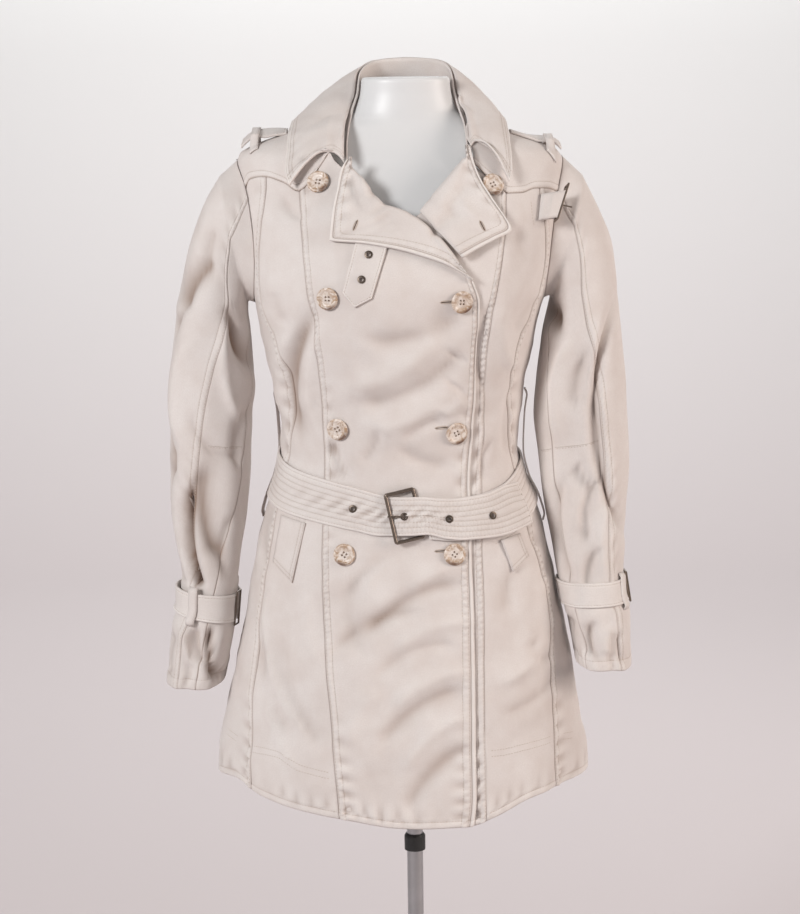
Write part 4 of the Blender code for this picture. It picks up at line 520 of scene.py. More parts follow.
# Folds in front, as a straight run: from x and z to x and z, half width, and how far out it stands.
FRONT_CREASES = (
    (-0.111, 1.235, -0.130, 1.105, 0.0090, -0.0050),
    (-0.124, 1.230, -0.143, 1.115, 0.0080, 0.0016),
    (-0.095, 1.225, -0.106, 1.110, 0.0075, 0.0014),
    (-0.140, 1.370, -0.117, 1.345, 0.0060, -0.0016),
    (-0.150, 1.262, -0.140, 1.230, 0.0060, -0.0012),
    (-0.045, 1.214, 0.056, 1.238, 0.0110, -0.0026),
    (-0.060, 1.162, 0.030, 1.218, 0.0110, 0.0022),
    (-0.052, 1.140, 0.056, 1.196, 0.0090, -0.0028),
    (-0.040, 1.112, 0.048, 1.160, 0.0100, 0.0018),
    (0.043, 1.199, 0.064, 1.190, 0.0035, -0.0012),
    (0.043, 1.166, 0.062, 1.153, 0.0035, -0.0014),
    (0.034, 1.130, 0.058, 1.145, 0.0050, 0.0020),
    (0.036, 1.121, -0.004, 1.101, 0.0060, -0.0020),
    (-0.052, 1.076, -0.035, 1.114, 0.0050, -0.0020),
    (-0.086, 1.106, -0.071, 1.056, 0.0045, -0.0026),
    (-0.010, 1.090, 0.040, 1.070, 0.0080, -0.0016),
    (0.103, 1.250, 0.118, 1.172, 0.0090, 0.0016),
    (0.090, 1.250, 0.083, 1.150, 0.0055, -0.0020),
    (0.089, 1.092, 0.083, 1.048, 0.0045, -0.0016),
    (0.120, 1.150, 0.112, 1.070, 0.0060, -0.0018),
    (0.030, 0.986, -0.070, 0.932, 0.0075, -0.0026),
    (0.006, 0.980, -0.055, 0.936, 0.0070, 0.0016),
    (0.054, 0.938, -0.052, 0.884, 0.0080, -0.0032),
    (0.060, 0.962, 0.000, 0.930, 0.0070, 0.0018),
    (0.004, 0.908, -0.088, 0.865, 0.0080, -0.0022),
    (0.062, 0.895, -0.020, 0.865, 0.0090, 0.0018),
    (0.045, 0.871, -0.038, 0.841, 0.0080, -0.0022),
    (0.060, 0.840, -0.020, 0.805, 0.0100, 0.0020),
    (0.052, 0.820, -0.038, 0.760, 0.0090, -0.0032),
    (0.055, 0.790, -0.010, 0.735, 0.0090, 0.0020),
    (0.058, 0.752, -0.008, 0.686, 0.0090, -0.0030),
    (-0.040, 0.820, -0.075, 0.760, 0.0110, 0.0016),
    (-0.066, 0.935, -0.060, 0.860, 0.0110, -0.0014),
    (-0.166, 0.912, -0.124, 0.770, 0.0042, 0.0024),
    (-0.165, 0.830, -0.131, 0.726, 0.0042, 0.0026),
    (-0.174, 0.870, -0.146, 0.772, 0.0080, -0.0024),
    (-0.145, 0.880, -0.108, 0.760, 0.0100, -0.0020),
    (-0.118, 0.930, -0.108, 0.850, 0.0080, 0.0014),
    (-0.156, 1.018, -0.170, 0.950, 0.0060, -0.0020),
    (0.121, 0.960, 0.110, 0.900, 0.0070, -0.0020),
    (0.136, 0.866, 0.154, 0.838, 0.0060, -0.0020),
    (0.101, 0.824, 0.150, 0.857, 0.0080, 0.0016),
    (0.132, 1.018, 0.146, 0.966, 0.0050, -0.0018),
    (0.105, 0.790, 0.160, 0.815, 0.0080, -0.0016),
    (0.150, 0.930, 0.165, 0.870, 0.0080, 0.0014),
    (0.120, 1.330, 0.150, 1.290, 0.0080, -0.0014),
    (0.150, 1.250, 0.120, 1.215, 0.0070, -0.0014),
)
# The same behind.
BACK_CREASES = (
    (-0.120, 1.260, -0.060, 1.130, 0.0110, -0.0030),
    (0.110, 1.270, 0.050, 1.140, 0.0110, -0.0030),
    (-0.020, 1.130, 0.040, 1.095, 0.0080, -0.0024),
    (-0.080, 1.105, -0.020, 1.090, 0.0070, 0.0018),
    (0.060, 1.110, 0.110, 1.090, 0.0070, -0.0020),
    (-0.130, 1.180, -0.110, 1.100, 0.0080, -0.0028),
    (0.125, 1.190, 0.100, 1.105, 0.0080, -0.0028),
    (-0.060, 1.010, -0.080, 0.900, 0.0090, -0.0026),
    (0.040, 1.012, 0.062, 0.890, 0.0090, -0.0026),
    (-0.130, 0.990, -0.150, 0.860, 0.0100, 0.0022),
    (0.120, 0.990, 0.150, 0.850, 0.0100, 0.0022),
    (-0.010, 0.900, -0.060, 0.800, 0.0110, -0.0026),
    (0.030, 0.870, 0.080, 0.780, 0.0110, -0.0022),
    (-0.110, 0.840, -0.080, 0.740, 0.0100, 0.0020),
    (0.010, 1.330, -0.060, 1.290, 0.0100, -0.0018),
    (0.080, 1.350, 0.130, 1.300, 0.0090, -0.0018),
    (-0.090, 1.360, -0.140, 1.310, 0.0090, -0.0018),
)
# Folds of the sleeves in front, in the same columns.
SLEEVE_CREASES_RIGHT = (
    (-0.216, 1.330, -0.224, 1.289, 0.0065, -0.0030),
    (-0.222, 1.292, -0.260, 1.243, 0.0110, -0.0050),
    (-0.193, 1.304, -0.182, 1.174, 0.0085, -0.0060),
    (-0.199, 1.238, -0.195, 1.112, 0.0060, 0.0032),
    (-0.252, 1.030, -0.238, 0.905, 0.0068, -0.0120),
    (-0.232, 1.060, -0.218, 0.952, 0.0120, -0.0050),
    (-0.260, 1.238, -0.275, 1.060, 0.0055, -0.0048),
    (-0.274, 1.070, -0.264, 0.915, 0.0050, -0.0045),
    (-0.247, 1.208, -0.264, 1.090, 0.0080, 0.0024),
    (-0.260, 1.000, -0.252, 0.920, 0.0050, 0.0022),
    (-0.186, 1.124, -0.196, 1.056, 0.0060, -0.0030),
    (-0.205, 1.000, -0.212, 0.930, 0.0060, -0.0022),
    (-0.250, 1.120, -0.230, 1.085, 0.0060, -0.0016),
    (-0.235, 1.085, -0.200, 1.070, 0.0060, -0.0018),
    (-0.262, 0.872, -0.253, 0.832, 0.0050, 0.0030),
    (-0.249, 0.872, -0.243, 0.835, 0.0050, -0.0032),
    (-0.231, 0.874, -0.222, 0.812, 0.0055, -0.0060),
    (-0.278, 0.862, -0.285, 0.815, 0.0050, -0.0026),
)
SLEEVE_CREASES_LEFT = (
    (0.180, 1.300, 0.166, 1.210, 0.0075, -0.0060),
    (0.180, 1.200, 0.168, 1.090, 0.0075, 0.0030),
    (0.199, 1.182, 0.188, 1.124, 0.0080, -0.0028),
    (0.228, 1.222, 0.240, 0.985, 0.0050, -0.0052),
    (0.216, 1.230, 0.222, 1.110, 0.0060, 0.0016),
    (0.188, 1.056, 0.208, 1.030, 0.0060, -0.0030),
    (0.207, 1.032, 0.201, 0.972, 0.0055, -0.0034),
    (0.195, 1.020, 0.193, 0.985, 0.0080, 0.0022),
    (0.212, 0.962, 0.200, 0.918, 0.0050, -0.0034),
    (0.173, 1.038, 0.181, 0.928, 0.0055, -0.0030),
    (0.225, 1.010, 0.222, 0.930, 0.0070, 0.0022),
    (0.203, 0.882, 0.203, 0.845, 0.0060, -0.0050),
    (0.224, 0.875, 0.218, 0.847, 0.0050, 0.0030),
    (0.180, 0.882, 0.186, 0.838, 0.0050, -0.0040),
    (0.236, 0.868, 0.240, 0.835, 0.0050, -0.0028),
)
# Folds of the sleeves behind: distance from the middle and height, twice, then half width and depth.
SLEEVE_CREASES_BEHIND = (
    (0.190, 1.290, 0.230, 1.240, 0.0090, -0.0040),
    (0.180, 1.240, 0.175, 1.120, 0.0090, -0.0040),
    (0.215, 1.180, 0.225, 1.090, 0.0080, 0.0026),
    (0.190, 1.080, 0.235, 1.060, 0.0060, -0.0034),
    (0.195, 1.050, 0.230, 1.020, 0.0060, -0.0028),
    (0.210, 1.000, 0.205, 0.920, 0.0070, -0.0040),
    (0.235, 1.000, 0.240, 0.930, 0.0060, 0.0022),
    (0.215, 0.875, 0.212, 0.835, 0.0060, -0.0045),
    (0.238, 0.872, 0.245, 0.835, 0.0055, 0.0028),
)
# Folds of the lapels, in the same columns as the front's.
LAPEL_CREASES = (
    (-0.060, 1.396, -0.043, 1.352, 0.0050, -0.0046),
    (-0.050, 1.390, -0.034, 1.346, 0.0042, 0.0032),
    (-0.037, 1.380, -0.027, 1.338, 0.0046, -0.0042),
    (-0.026, 1.366, -0.010, 1.334, 0.0052, -0.0030),
    (0.026, 1.369, 0.004, 1.351, 0.0044, -0.0026),
    (0.056, 1.352, 0.026, 1.325, 0.0055, -0.0042),
    (0.064, 1.380, 0.046, 1.352, 0.0052, -0.0036),
    (0.052, 1.376, 0.036, 1.352, 0.0044, 0.0024),
    (0.060, 1.366, 0.078, 1.343, 0.0050, 0.0026),
)
# Where something lies on the front, so that its folds stay low: x, z, half width, half height.
COVERS = (
    *((x, z, 0.017, 0.017) for x, z, _ in BUTTONS),
    (-0.046, 1.290, 0.022, 0.045),
    (-0.138, 0.973, 0.020, 0.042),
    (0.117, 0.966, 0.020, 0.026),
    (-0.050, 1.340, 0.042, 0.034),
    (0.000, 1.318, 0.045, 0.024),
    (0.040, 1.296, 0.034, 0.020),
    (0.078, 1.345, 0.038, 0.042),
    (0.160, 1.354, 0.022, 0.022),
    (-0.115, 1.400, 0.035, 0.030),
    (0.105, 1.400, 0.030, 0.030),
)


def smooth(stations, values, at):
    """A curve through the values that never swings past them."""
    stations, values = np.asarray(stations, float), np.asarray(values, float)
    at = np.clip(at, stations[0], stations[-1])
    k = np.clip(np.searchsorted(stations, at, side="right") - 1, 0, len(stations) - 2)
    rises = np.diff(values) / np.diff(stations)
    before, after = rises[:-1], rises[1:]
    total = np.where(before * after > 0, before + after, 1.0)
    between = np.where(before * after > 0, 2 * before * after / total, 0.0)
    slopes = np.concatenate(([rises[0]], between, [rises[-1]]))
    span = stations[k + 1] - stations[k]
    t = (at - stations[k]) / span
    return (
        values[k] * (1 + 2 * t) * (1 - t) ** 2
        + values[k + 1] * t * t * (3 - 2 * t)
        + span * t * (1 - t) * (slopes[k] * (1 - t) - slopes[k + 1] * t)
    )


def row_at(table, at):
    """The table's columns after the first, where its first column reads at."""
    columns = list(zip(*table))
    return [smooth(columns[0], column, at) for column in columns[1:]]


def station_at(table, t):
    """All the table's columns, t of the way from its first row to its last."""
    stations = range(len(table))
    return [smooth(stations, column, np.asarray(t) * (len(table) - 1)) for column in zip(*table)]


def points_of(x, y, z):
    return np.stack(np.broadcast_arrays(x, y, z), axis=-1).astype(float)


def length_of(vectors):
    return np.linalg.norm(vectors, axis=-1, keepdims=True)


def unit(vectors):
    return vectors / np.maximum(length_of(vectors), 1e-12)


def sine(degrees):
    return np.sin(np.radians(degrees))


def cosine(degrees):
    return np.cos(np.radians(degrees))


def power(value, exponent):
    return np.sign(value) * np.abs(value) ** exponent


def blend_in(share):
    """A smooth step from 0 to 1."""
    share = np.clip(share, 0.0, 1.0)
    return share * share * (3 - 2 * share)


def mixed(a, b, share):
    return a + (b - a) * np.asarray(share)[..., None]


def mixed_number(a, b, share):
    return a + (b - a) * share


def ring_point(rings, z, q):
    centre, half, front, back, square = row_at(rings, z)
    side = power(sine(q), 2 / square)
    ahead = power(cosine(q), 2 / square)
    return points_of(centre + half * side, -np.where(ahead > 0, front, back) * ahead, z)


def turn_between(a, b):
    return (a - b + 180) % 360 - 180


def skirt_fold(z, q):
    total = 0.0
    for angle, width, top, depth in SKIRT_FOLDS:
        fade = blend_in((top - z) / (top - SKIRT_FOLDS_FULL))
        total = total + depth * fade * np.exp(-((turn_between(q, angle) / width) ** 2))
    return total


def body_face(z, q):
    """A point of the coat's outer face, smooth but for the skirt's own folds."""
    z, q = np.broadcast_arrays(np.asarray(z, float), np.asarray(q, float))
    point = ring_point(BODY, z, q)
    away = points_of(point[..., 0] - row_at(BODY, z)[0], point[..., 1], 0.0)
    return point + unit(away) * np.asarray(skirt_fold(z, q))[..., None]


def body_normal(z, q):
    round_it = body_face(z, q + STEP_ROUND) - body_face(z, q - STEP_ROUND)
    up_it = body_face(z + STEP_UP, q) - body_face(z - STEP_UP, q)
    return unit(np.cross(round_it, up_it))


def body_point(z, q, out=0.0):
    z, q = np.asarray(z, float), np.asarray(q, float)
    return body_face(z, q) + body_normal(z, q) * np.asarray(out)[..., None]


def angle_at(z, x):
    """The angle at which the coat's front passes the world's x, at this height."""
    centre, half, _, _, square = row_at(BODY, z)
    share = np.minimum(np.abs(x - centre) / half, 1.0)
    return np.sign(x - centre) * np.degrees(np.arcsin(share ** (square / 2)))


def front_point(x, z, out=0.0):
    return body_point(z, angle_at(z, x), out)


def top_height(rings, x, y):
    """The height of the rings' upper side over x and y, found by halving."""
    x, y = np.broadcast_arrays(np.asarray(x, float), np.asarray(y, float))
    low, high = np.full(x.shape, SEARCH_LOW), np.full(x.shape, rings[-1][0] - SEARCH_TOP_GAP)
    for _ in range(SEARCH_STEPS):
        z = (low + high) / 2
        centre, half, front, back, square = row_at(rings, z)
        depth = np.where(y < 0, front, back)
        inside = (np.abs(x - centre) / half) ** square + (np.abs(y) / depth) ** square < 1
        low, high = np.where(inside, z, low), np.where(inside, high, z)
    return z


def shoulder_point(x, y, out=0.0):
    """The coat's top over x and y, or out beyond it."""
    x, y = np.broadcast_arrays(np.asarray(x, float), np.asarray(y, float))
    z = top_height(BODY, x, y)
    centre, _, front, back, square = row_at(BODY, z)
    share = np.minimum((np.abs(y) / np.where(y < 0, front, back)) ** (square / 2), 1.0)
    q = np.degrees(np.arccos(share))
    return body_point(z, np.sign(x - centre) * np.where(y < 0, q, 180 - q), out)


def armhole_reach(z):
    """How far the armhole reaches from the side at this height, from 0 to 1."""
    return np.sqrt(np.maximum(1 - ((z - ARMHOLE_MIDDLE) / ARMHOLE_HALF) ** 2, 0.0))


def princess_angle(z, side):
    seam = PRINCESS_SEAM_RIGHT if side < 0 else PRINCESS_SEAM_LEFT
    return angle_at(z, row_at(BODY, z)[0] + side * row_at(seam, z)[0])


def side_front_angle(z, side):
    return angle_at(z, row_at(BODY, z)[0] + side * row_at(SIDE_FRONT_SEAM, z)[0])


def side_angle(z, side):
    return side * (90 - ARMHOLE_FRONT * armhole_reach(z))


def back_side_angle(z, side):
    return side * (90 + ARMHOLE_BACK * armhole_reach(z))


def yoke_height(x, side):
    """The height of the yoke's lower edge, x from the middle."""
    return row_at(YOKE_LINE_RIGHT if side < 0 else YOKE_LINE_LEFT, np.abs(x))[0]


def front_edge_angle(z, side):
    """The right front's edge is on top. The left front's lies as far over, under it."""
    reach = row_at(FRONT_EDGE, z)[0] if side < 0 else LEFT_FRONT_REACH
    return angle_at(z, COAT_MIDDLE - side * reach)


def front_top(side, share):
    """A front's top: the yoke's lower edge, then the lapel's fold down to the break."""
    roll = ROLL_LINE_RIGHT if side < 0 else ROLL_LINE_LEFT
    seam_x = side * PRINCESS_TOP + SEAM_SHIFT
    x = mixed_number(seam_x, BREAK_X[side], share)
    beyond_neck = (x - NECK_X[side]) * side > 0
    rise = FRONT_RISE * (side < 0) * np.exp(-(((x - NECK_X[side]) / FRONT_RISE_WIDTH) ** 2))
    yoke_line = yoke_height(COAT_MIDDLE + x + YOKE_SHIFT, side) + rise
    return np.where(beyond_neck, yoke_line, row_at(roll, x)[0])


def side_front_top(side, share):
    return yoke_height(mixed_number(PRINCESS_TOP, SIDE_FRONT_TOP, share), side)


def side_top(side, share):
    return yoke_height(mixed_number(SIDE_FRONT_TOP, SIDE_TOP, share), side)


# Each front panel's two seams and its top.
PANEL_EDGES = {
    "front": (princess_angle, front_edge_angle, front_top),
    "side_front": (princess_angle, side_front_angle, side_front_top),
    "side": (side_front_angle, side_angle, side_top),
}


def panel_place(part, side, share, rise):
    """The height and angle of a panel's point, share of the way across it and rise of the way up."""
    start, end, top = PANEL_EDGES[part]
    hem = np.full_like(share, HEM_HEIGHT)
    low = row_at(HEM_LINE, start(hem, side) * (1 - share) + end(hem, side) * share)[0]
    z = low + (top(side, share) - low) * rise
    return z, start(z, side) * (1 - share) + end(z, side) * share


def tucked(z, q):
    """How far the left front lies inside the coat's face where the right one covers it."""
    x = body_face(z, q)[..., 0] - COAT_MIDDLE
    cover = row_at(FRONT_EDGE, np.minimum(z, OVERLAP_TOP))[0]
    seam_x = row_at(PRINCESS_SEAM_LEFT, z)[0]
    share = np.clip((x - cover) / (seam_x - cover), 0.0, 1.0)
    return -OVERLAP_LEVEL * (1 - share)


# Folds and unevenness.


def scatter(cells, seed):
    """Numbers from -1 to 1 that look random, one for each whole cell."""
    mixed_up = np.sin(cells @ np.array((127.1, 311.7, 74.7)) + seed * 53.3) * 43758.5453
    return 2 * (mixed_up - np.floor(mixed_up)) - 1


def uneven(points, size, seed=0):
    """Smooth random numbers from -1 to 1 that change over this size."""
    places = points / size
    cell = np.floor(places)
    share = blend_in(places - cell)
    total = 0.0
    for corner in np.ndindex(2, 2, 2):
        weight = np.prod(np.where(np.array(corner) == 1, share, 1 - share), axis=-1)
        total = total + weight * scatter(cell + corner, seed)
    return total


def uneven_layers(points, layers):
    return sum(depth * uneven(points, size, seed) for depth, size, seed in layers)


def streaked(points, depth, lean, long, short, seed):
    """Unevenness drawn out along one way across the front, this many degrees up from +X."""
    x, y, z = np.moveaxis(points, -1, 0)
    along = x * cosine(lean) + z * sine(lean)
    across = z * cosine(lean) - x * sine(lean)
    return depth * uneven(points_of(along / long, across / short, y / long), 1.0, seed)


def creased(x, z, table):
    """How far these folds move the cloth at x and z."""
    total = np.zeros(np.shape(x))
    for x1, z1, x2, z2, width, depth in table:
        run_x, run_z = x2 - x1, z2 - z1
        length = math.hypot(run_x, run_z)
        along = ((x - x1) * run_x + (z - z1) * run_z) / length**2
        off = ((x - x1) * run_z - (z - z1) * run_x) / length
        bow = FOLD_BOW * length * (1 - (2 * along - 1) ** 2)
        fade = np.exp(-(np.maximum(np.abs(along - 0.5) - FOLD_FULL, 0) / FOLD_FADE) ** 2)
        total += depth * fade * np.exp(-(np.abs((off - bow) / width) ** FOLD_SQUARENESS))
    return total


def cover_share(points):
    """1 where something lies on the coat's front, fading to 0 round it."""
    x, y, z = np.moveaxis(points, -1, 0)
    total = np.zeros(x.shape)
    for at_x, at_z, half_x, half_z in COVERS:
        total = np.maximum(total, np.exp(-(((x - at_x) / half_x) ** 4 + ((z - at_z) / half_z) ** 4)))
    total = np.where(y < 0, total, 0.0)
    q = np.degrees(np.arctan2(x - COAT_MIDDLE, -y)) % 360
    low, high = row_at(BELT_EDGES, q)
    under_belt = blend_in((z - low) / BELT_MARGIN + 1) * blend_in((high - z) / BELT_MARGIN + 1)
    return np.maximum(total, under_belt)


def at_armhole(across, up):
    """1 at an armhole, fading to 0 away from it."""
    wide, tall = ARMHOLE_MARGINS
    return blend_in(across / wide) * blend_in(up / tall)


def body_relief(points):
    """The folds of the coat's body."""
    x, y, z = np.moveaxis(points, -1, 0)
    ahead = blend_in(0.5 - y / BODY_TURN)
    behind = BACK_FOLD_SHARE * (1 - ahead)
    folds = creased(x, z, FRONT_CREASES) * ahead + creased(x, z, BACK_CREASES) * behind
    folds = BODY_FOLD_DEPTH * folds + uneven_layers(points, BODY_UNEVEN) + streaked(points, *BODY_STREAKS)
    start, low = BODY_AT_ARMHOLE
    across = np.abs(x - COAT_MIDDLE) - start
    return folds * (1 - COVER_LOSS * cover_share(points)) * (1 - ARMHOLE_LOSS * at_armhole(across, z - low))


def sleeve_relief(side):
    """The folds of one sleeve."""

    table = SLEEVE_CREASES_RIGHT if side < 0 else SLEEVE_CREASES_LEFT
    rings = sleeve_table(side)[::-1]
    depth, lean, *sizes = SLEEVE_STREAKS
    bottom, top = UNDER_STRAP[side]
    inner, low = SLEEVE_AT_ARMHOLE

    def relief(points):
        x, y, z = np.moveaxis(points, -1, 0)
        middle_y = smooth([row[1] for row in rings], [row[4] for row in rings], z)
        ahead = blend_in(0.5 - (y - middle_y) / SLEEVE_TURN)
        folds = creased(x, z, table) * ahead + creased(side * x, z, SLEEVE_CREASES_BEHIND) * (1 - ahead)
        folds = SLEEVE_FOLD_DEPTH * folds + uneven_layers(points, SLEEVE_UNEVEN)
        folds = folds + streaked(points, depth, lean + side * SLEEVE_STREAK_LEAN, *sizes)
        strapped = blend_in((top - z) / STRAP_MARGIN) * blend_in((z - bottom) / STRAP_MARGIN)
        shoulder = at_armhole(inner - side * (x - COAT_MIDDLE), z - low)
        return folds * (1 - STRAP_LOSS * strapped) * (1 - ARMHOLE_LOSS * shoulder)

    return relief


LIGHT_SIZE = 0.014
LIGHT_SEED = 5


def light_relief(depth=0.0004):
    """The slight unevenness of a flat strap."""
    return lambda points: depth * uneven(points, LIGHT_SIZE, LIGHT_SEED)


# How edges are sewn.

NO_PUCKER = (0.0, 0.0, 0.0, 1.0)


def trim(profile, stitches=(), pucker=NO_PUCKER, seam=0.0, light=0.0, bands=1, groove=0.0):
    """How an edge is finished. Each distance is from the edge.

    profile: rows of distance and how far the cloth stands up there. stitches: the rows' distances. pucker:
    its near and far distance, its height and the length of one wave. seam: how much shade is painted into the
    seam. light: how much highlight is painted on its raised rim. bands: how many bands of puckers there are.
    groove: the distance of a groove with painted shade, or 0.
    """
    return {
        "profile": profile, "stitches": stitches, "pucker": pucker, "seam": seam, "light": light,
        "bands": bands, "groove": groove,
    }


BARE = trim(((0.0, 0.0), (0.004, 0.0)))
SEAM = trim(((0.0, -0.0009), (0.0008, -0.0002), (0.0020, 0.0), (0.0050, 0.0)), seam=0.85)
QUIET_SEAM = trim(((0.0, -0.0005), (0.0008, -0.0001), (0.0020, 0.0), (0.0050, 0.0)), seam=0.25)
LADDER = (
    (0.0, -0.0006), (0.0007, 0.0002), (0.0014, -0.0001), (0.0021, 0.0003), (0.0038, 0.0006), (0.0056, 0.0006),
    (0.0070, 0.0003), (0.0078, -0.0002), (0.0086, 0.0002), (0.0100, 0.0001), (0.0130, 0.0),
)
LADDER_ROWS = (0.0014, 0.0078)
STITCHED_SEAM = trim(LADDER, LADDER_ROWS, (0.0012, 0.0080, 0.0015, 0.0072), seam=0.25)
SLEEVE_SEAM = trim(LADDER, LADDER_ROWS, (0.0012, 0.0080, 0.0006, 0.0072), seam=0.25)
DARK_STITCHED_SEAM = trim(LADDER, LADDER_ROWS, seam=0.85)
PIPED_EDGE = trim(
    ((0.0, -0.0010), (0.0005, 0.0001), (0.0014, 0.0006), (0.0030, 0.0008), (0.0046, 0.0005),
     (0.0054, -0.0006), (0.0062, 0.0), (0.0076, -0.0002), (0.0084, 0.0003), (0.0104, 0.0005), (0.0128, 0.0005),
     (0.0148, 0.0003), (0.0156, -0.0002), (0.0164, 0.0001), (0.0200, 0.0)),
    (0.0076, 0.0156), (0.0074, 0.0158, 0.0012, 0.0079), light=0.25, groove=0.0054,
)
TURNED_EDGE = trim(
    ((0.0, -0.0010), (0.0005, 0.0), (0.0013, 0.0004), (0.0024, 0.0003), (0.0031, -0.0005), (0.0038, 0.0),
     (0.0052, 0.0001), (0.0060, -0.0003), (0.0068, 0.0001), (0.0096, 0.0001), (0.0104, -0.0003),
     (0.0112, 0.0)),
    (0.0060, 0.0104), (0.0032, 0.0106, 0.0003, 0.0072), light=0.30,
)
LAPEL_EDGE = trim(
    ((0.0, -0.0010), (0.0005, 0.0001), (0.0015, 0.0008), (0.0030, 0.0009), (0.0042, 0.0005),
     (0.0050, -0.0008), (0.0058, 0.0), (0.0072, -0.0002), (0.0080, 0.0002), (0.0110, 0.0004),
     (0.0140, 0.0002), (0.0150, -0.0002), (0.0160, 0.0)),
    (0.0072, 0.0150), (0.0070, 0.0152, 0.0012, 0.0068), light=0.25, groove=0.0050,
)
STRAP_EDGE = trim(
    ((0.0, -0.0010), (0.0005, -0.0001), (0.0014, 0.0002), (0.0024, 0.0), (0.0031, -0.0003), (0.0038, 0.0)),
    (0.0031,), light=0.20,
)
WELT_EDGE = trim(
    ((0.0, -0.0010), (0.0005, -0.0002), (0.0012, 0.0001), (0.0020, -0.0003), (0.0028, 0.0), (0.0052, 0.0),
     (0.0060, -0.0003), (0.0068, 0.0)),
    (0.0020, 0.0060), seam=0.45,
)
HEM = trim(
    ((0.0, -0.0009), (0.0006, 0.0), (0.0018, 0.0005), (0.0036, 0.0006), (0.0056, 0.0005), (0.0070, 0.0002),
     (0.0078, -0.0003), (0.0086, 0.0001), (0.0120, 0.0)),
    (0.0078,), (0.0006, 0.0130, 0.0012, 0.0135), seam=0.30,
)
CUFF_EDGE = trim(
    ((0.0, -0.0009), (0.0006, 0.0), (0.0020, 0.0003), (0.0060, 0.0003), (0.0112, 0.0003), (0.0120, -0.0002),
     (0.0128, 0.0001), (0.0160, 0.0)),
    (0.0120,), (0.0010, 0.0150, 0.0008, 0.0150), seam=0.20,
)
BELT_ROWS = (0.0035, 0.0095, 0.0155, 0.0215)


# A channel's half width and depth in the belt, and how far past it the cloth swells and by how much.
CHANNEL_HALF = 0.0007
CHANNEL_DEPTH = 0.0004
SWELL_AT = 0.0030
SWELL = 0.0002


def belt_profile():
    """The belt's edge. Each row of stitches draws a channel in, and the cloth swells between two rows."""
    profile = [(0.0, -0.0010), (0.0005, -0.0001), (0.0016, 0.0002)]
    for row in BELT_ROWS:
        channel = [(row - CHANNEL_HALF, 0.0), (row, -CHANNEL_DEPTH), (row + CHANNEL_HALF, 0.0)]
        profile += channel + [(row + SWELL_AT, SWELL)]
    return tuple(profile[:-1])


BELT_EDGE = trim(belt_profile(), BELT_ROWS, (0.0035, 0.0215, 0.0006, 0.0046), light=0.15, bands=3)
# How a pucker's waves and strength change along it, and then the same for the pulls that run on into the
# cloth: share, size and start of each slow swing.
PUCKER_DRIFTS = ((0.25, 0.031, 0.0), (0.12, 0.0113, 1.0))
PUCKER_STRENGTH = 0.75
PUCKER_SWELL = (0.45, 0.047, 2.0)
PULL_DRIFT = (0.5, 0.043, 0.0)
PULL_PATCHES = (1.0, 0.061, 1.3)
PULL_PATCH_SHARE = 0.35
# The pulls' reach, their height as a share of the puckers', and the length of one wave.
PULL_REACH = 0.010
PULL_HEIGHT = 0.8
PULL_WAVE = 0.021


def swing(along, share, size, start):
    return share * np.sin(along / size + start)


def puckered(distance, along, pucker, bands):
    """Small puckers between rows of stitches, and the pulls that run on into the cloth."""
    near, far, height, wave = pucker
    if not height:
        return 0.0
    share = (distance - near) / (far - near)
    across = np.abs(np.sin(bands * math.pi * np.clip(share, 0.0, 1.0)))
    waves = along / wave + sum(swing(along, *drift) for drift in PUCKER_DRIFTS)
    strength = PUCKER_STRENGTH + swing(along, *PUCKER_SWELL)
    rungs = height * across * strength * np.sin(2 * math.pi * waves)
    reach = np.exp(-(((distance - far) / PULL_REACH) ** 2)) * blend_in(share)
    patches = np.maximum(0.0, swing(along, *PULL_PATCHES) + PULL_PATCH_SHARE)
    pulls = np.sin(2 * math.pi * (along / PULL_WAVE + swing(along, *PULL_DRIFT)))
    return rungs + PULL_HEIGHT * height * reach * patches * pulls


def edge_relief(edges, distances, alongs):
    """How far the finished edges move the cloth out."""
    total = 0.0
    for edge, distance, along in zip(edges, distances, alongs):
        stations, heights = zip(*edge["profile"])
        total = total + np.interp(distance, stations, heights)
        total = total + puckered(distance, along, edge["pucker"], edge["bands"])
    return total


# How much highlight is painted on a ridge for each metre that it stands out, and the most that counts.
RIDGE_LIGHT = 24.0
RIDGE_MOST = 0.0050
# How much shade is painted in a fold of full depth, that depth, and how late it darkens.
FOLD_DARK = 0.95
DEEP_FOLD = 0.013
FOLD_DARK_POWER = 1.6
# The same for what is sewn: painted shade where it sinks, painted highlight where it rises, down and up.
SEWN_LIGHT = 240.0
SEWN_MOST = (-0.0014, 0.0009)
# A seam's line of painted shade: distances and shares. Then the place and width of the painted highlight on a
# raised rim, and how dark and wide the painted shade in a groove and along a row of stitches is.
SEAM_DISTANCES = (0.0, 0.0005, 0.0011)
SEAM_SHARES = (1.0, 0.6, 0.0)
RIM_WIDTH = 0.0026
GROOVE_DARK = 0.70
GROOVE_WIDTH = 0.0006
ROW_DARK = 0.14
ROW_WIDTH = 0.0007


def shade_of(edges, distances, folds, sewn):
    """Painted shade in seams, rows of stitches, puckers and deep folds; painted highlight on ridges and piped
    and turned edges.
    """
    total = RIDGE_LIGHT * np.clip(folds, 0.0, RIDGE_MOST) + SEWN_LIGHT * np.clip(sewn, *SEWN_MOST)
    total = total - FOLD_DARK * np.clip(-folds / DEEP_FOLD, 0.0, 1.0) ** FOLD_DARK_POWER
    for edge, distance in zip(edges, distances):
        total = total - edge["seam"] * np.interp(distance, SEAM_DISTANCES, SEAM_SHARES)
        total = total + edge["light"] * np.exp(-(((distance - RIM_WIDTH) / RIM_WIDTH) ** 4))
        if edge["groove"]:
            total = total - GROOVE_DARK * np.exp(-(((distance - edge["groove"]) / GROOVE_WIDTH) ** 2))
        for row in edge["stitches"]:
            total = total - ROW_DARK * np.exp(-(((distance - row) / ROW_WIDTH) ** 2))
    return total


# Fine sheets.

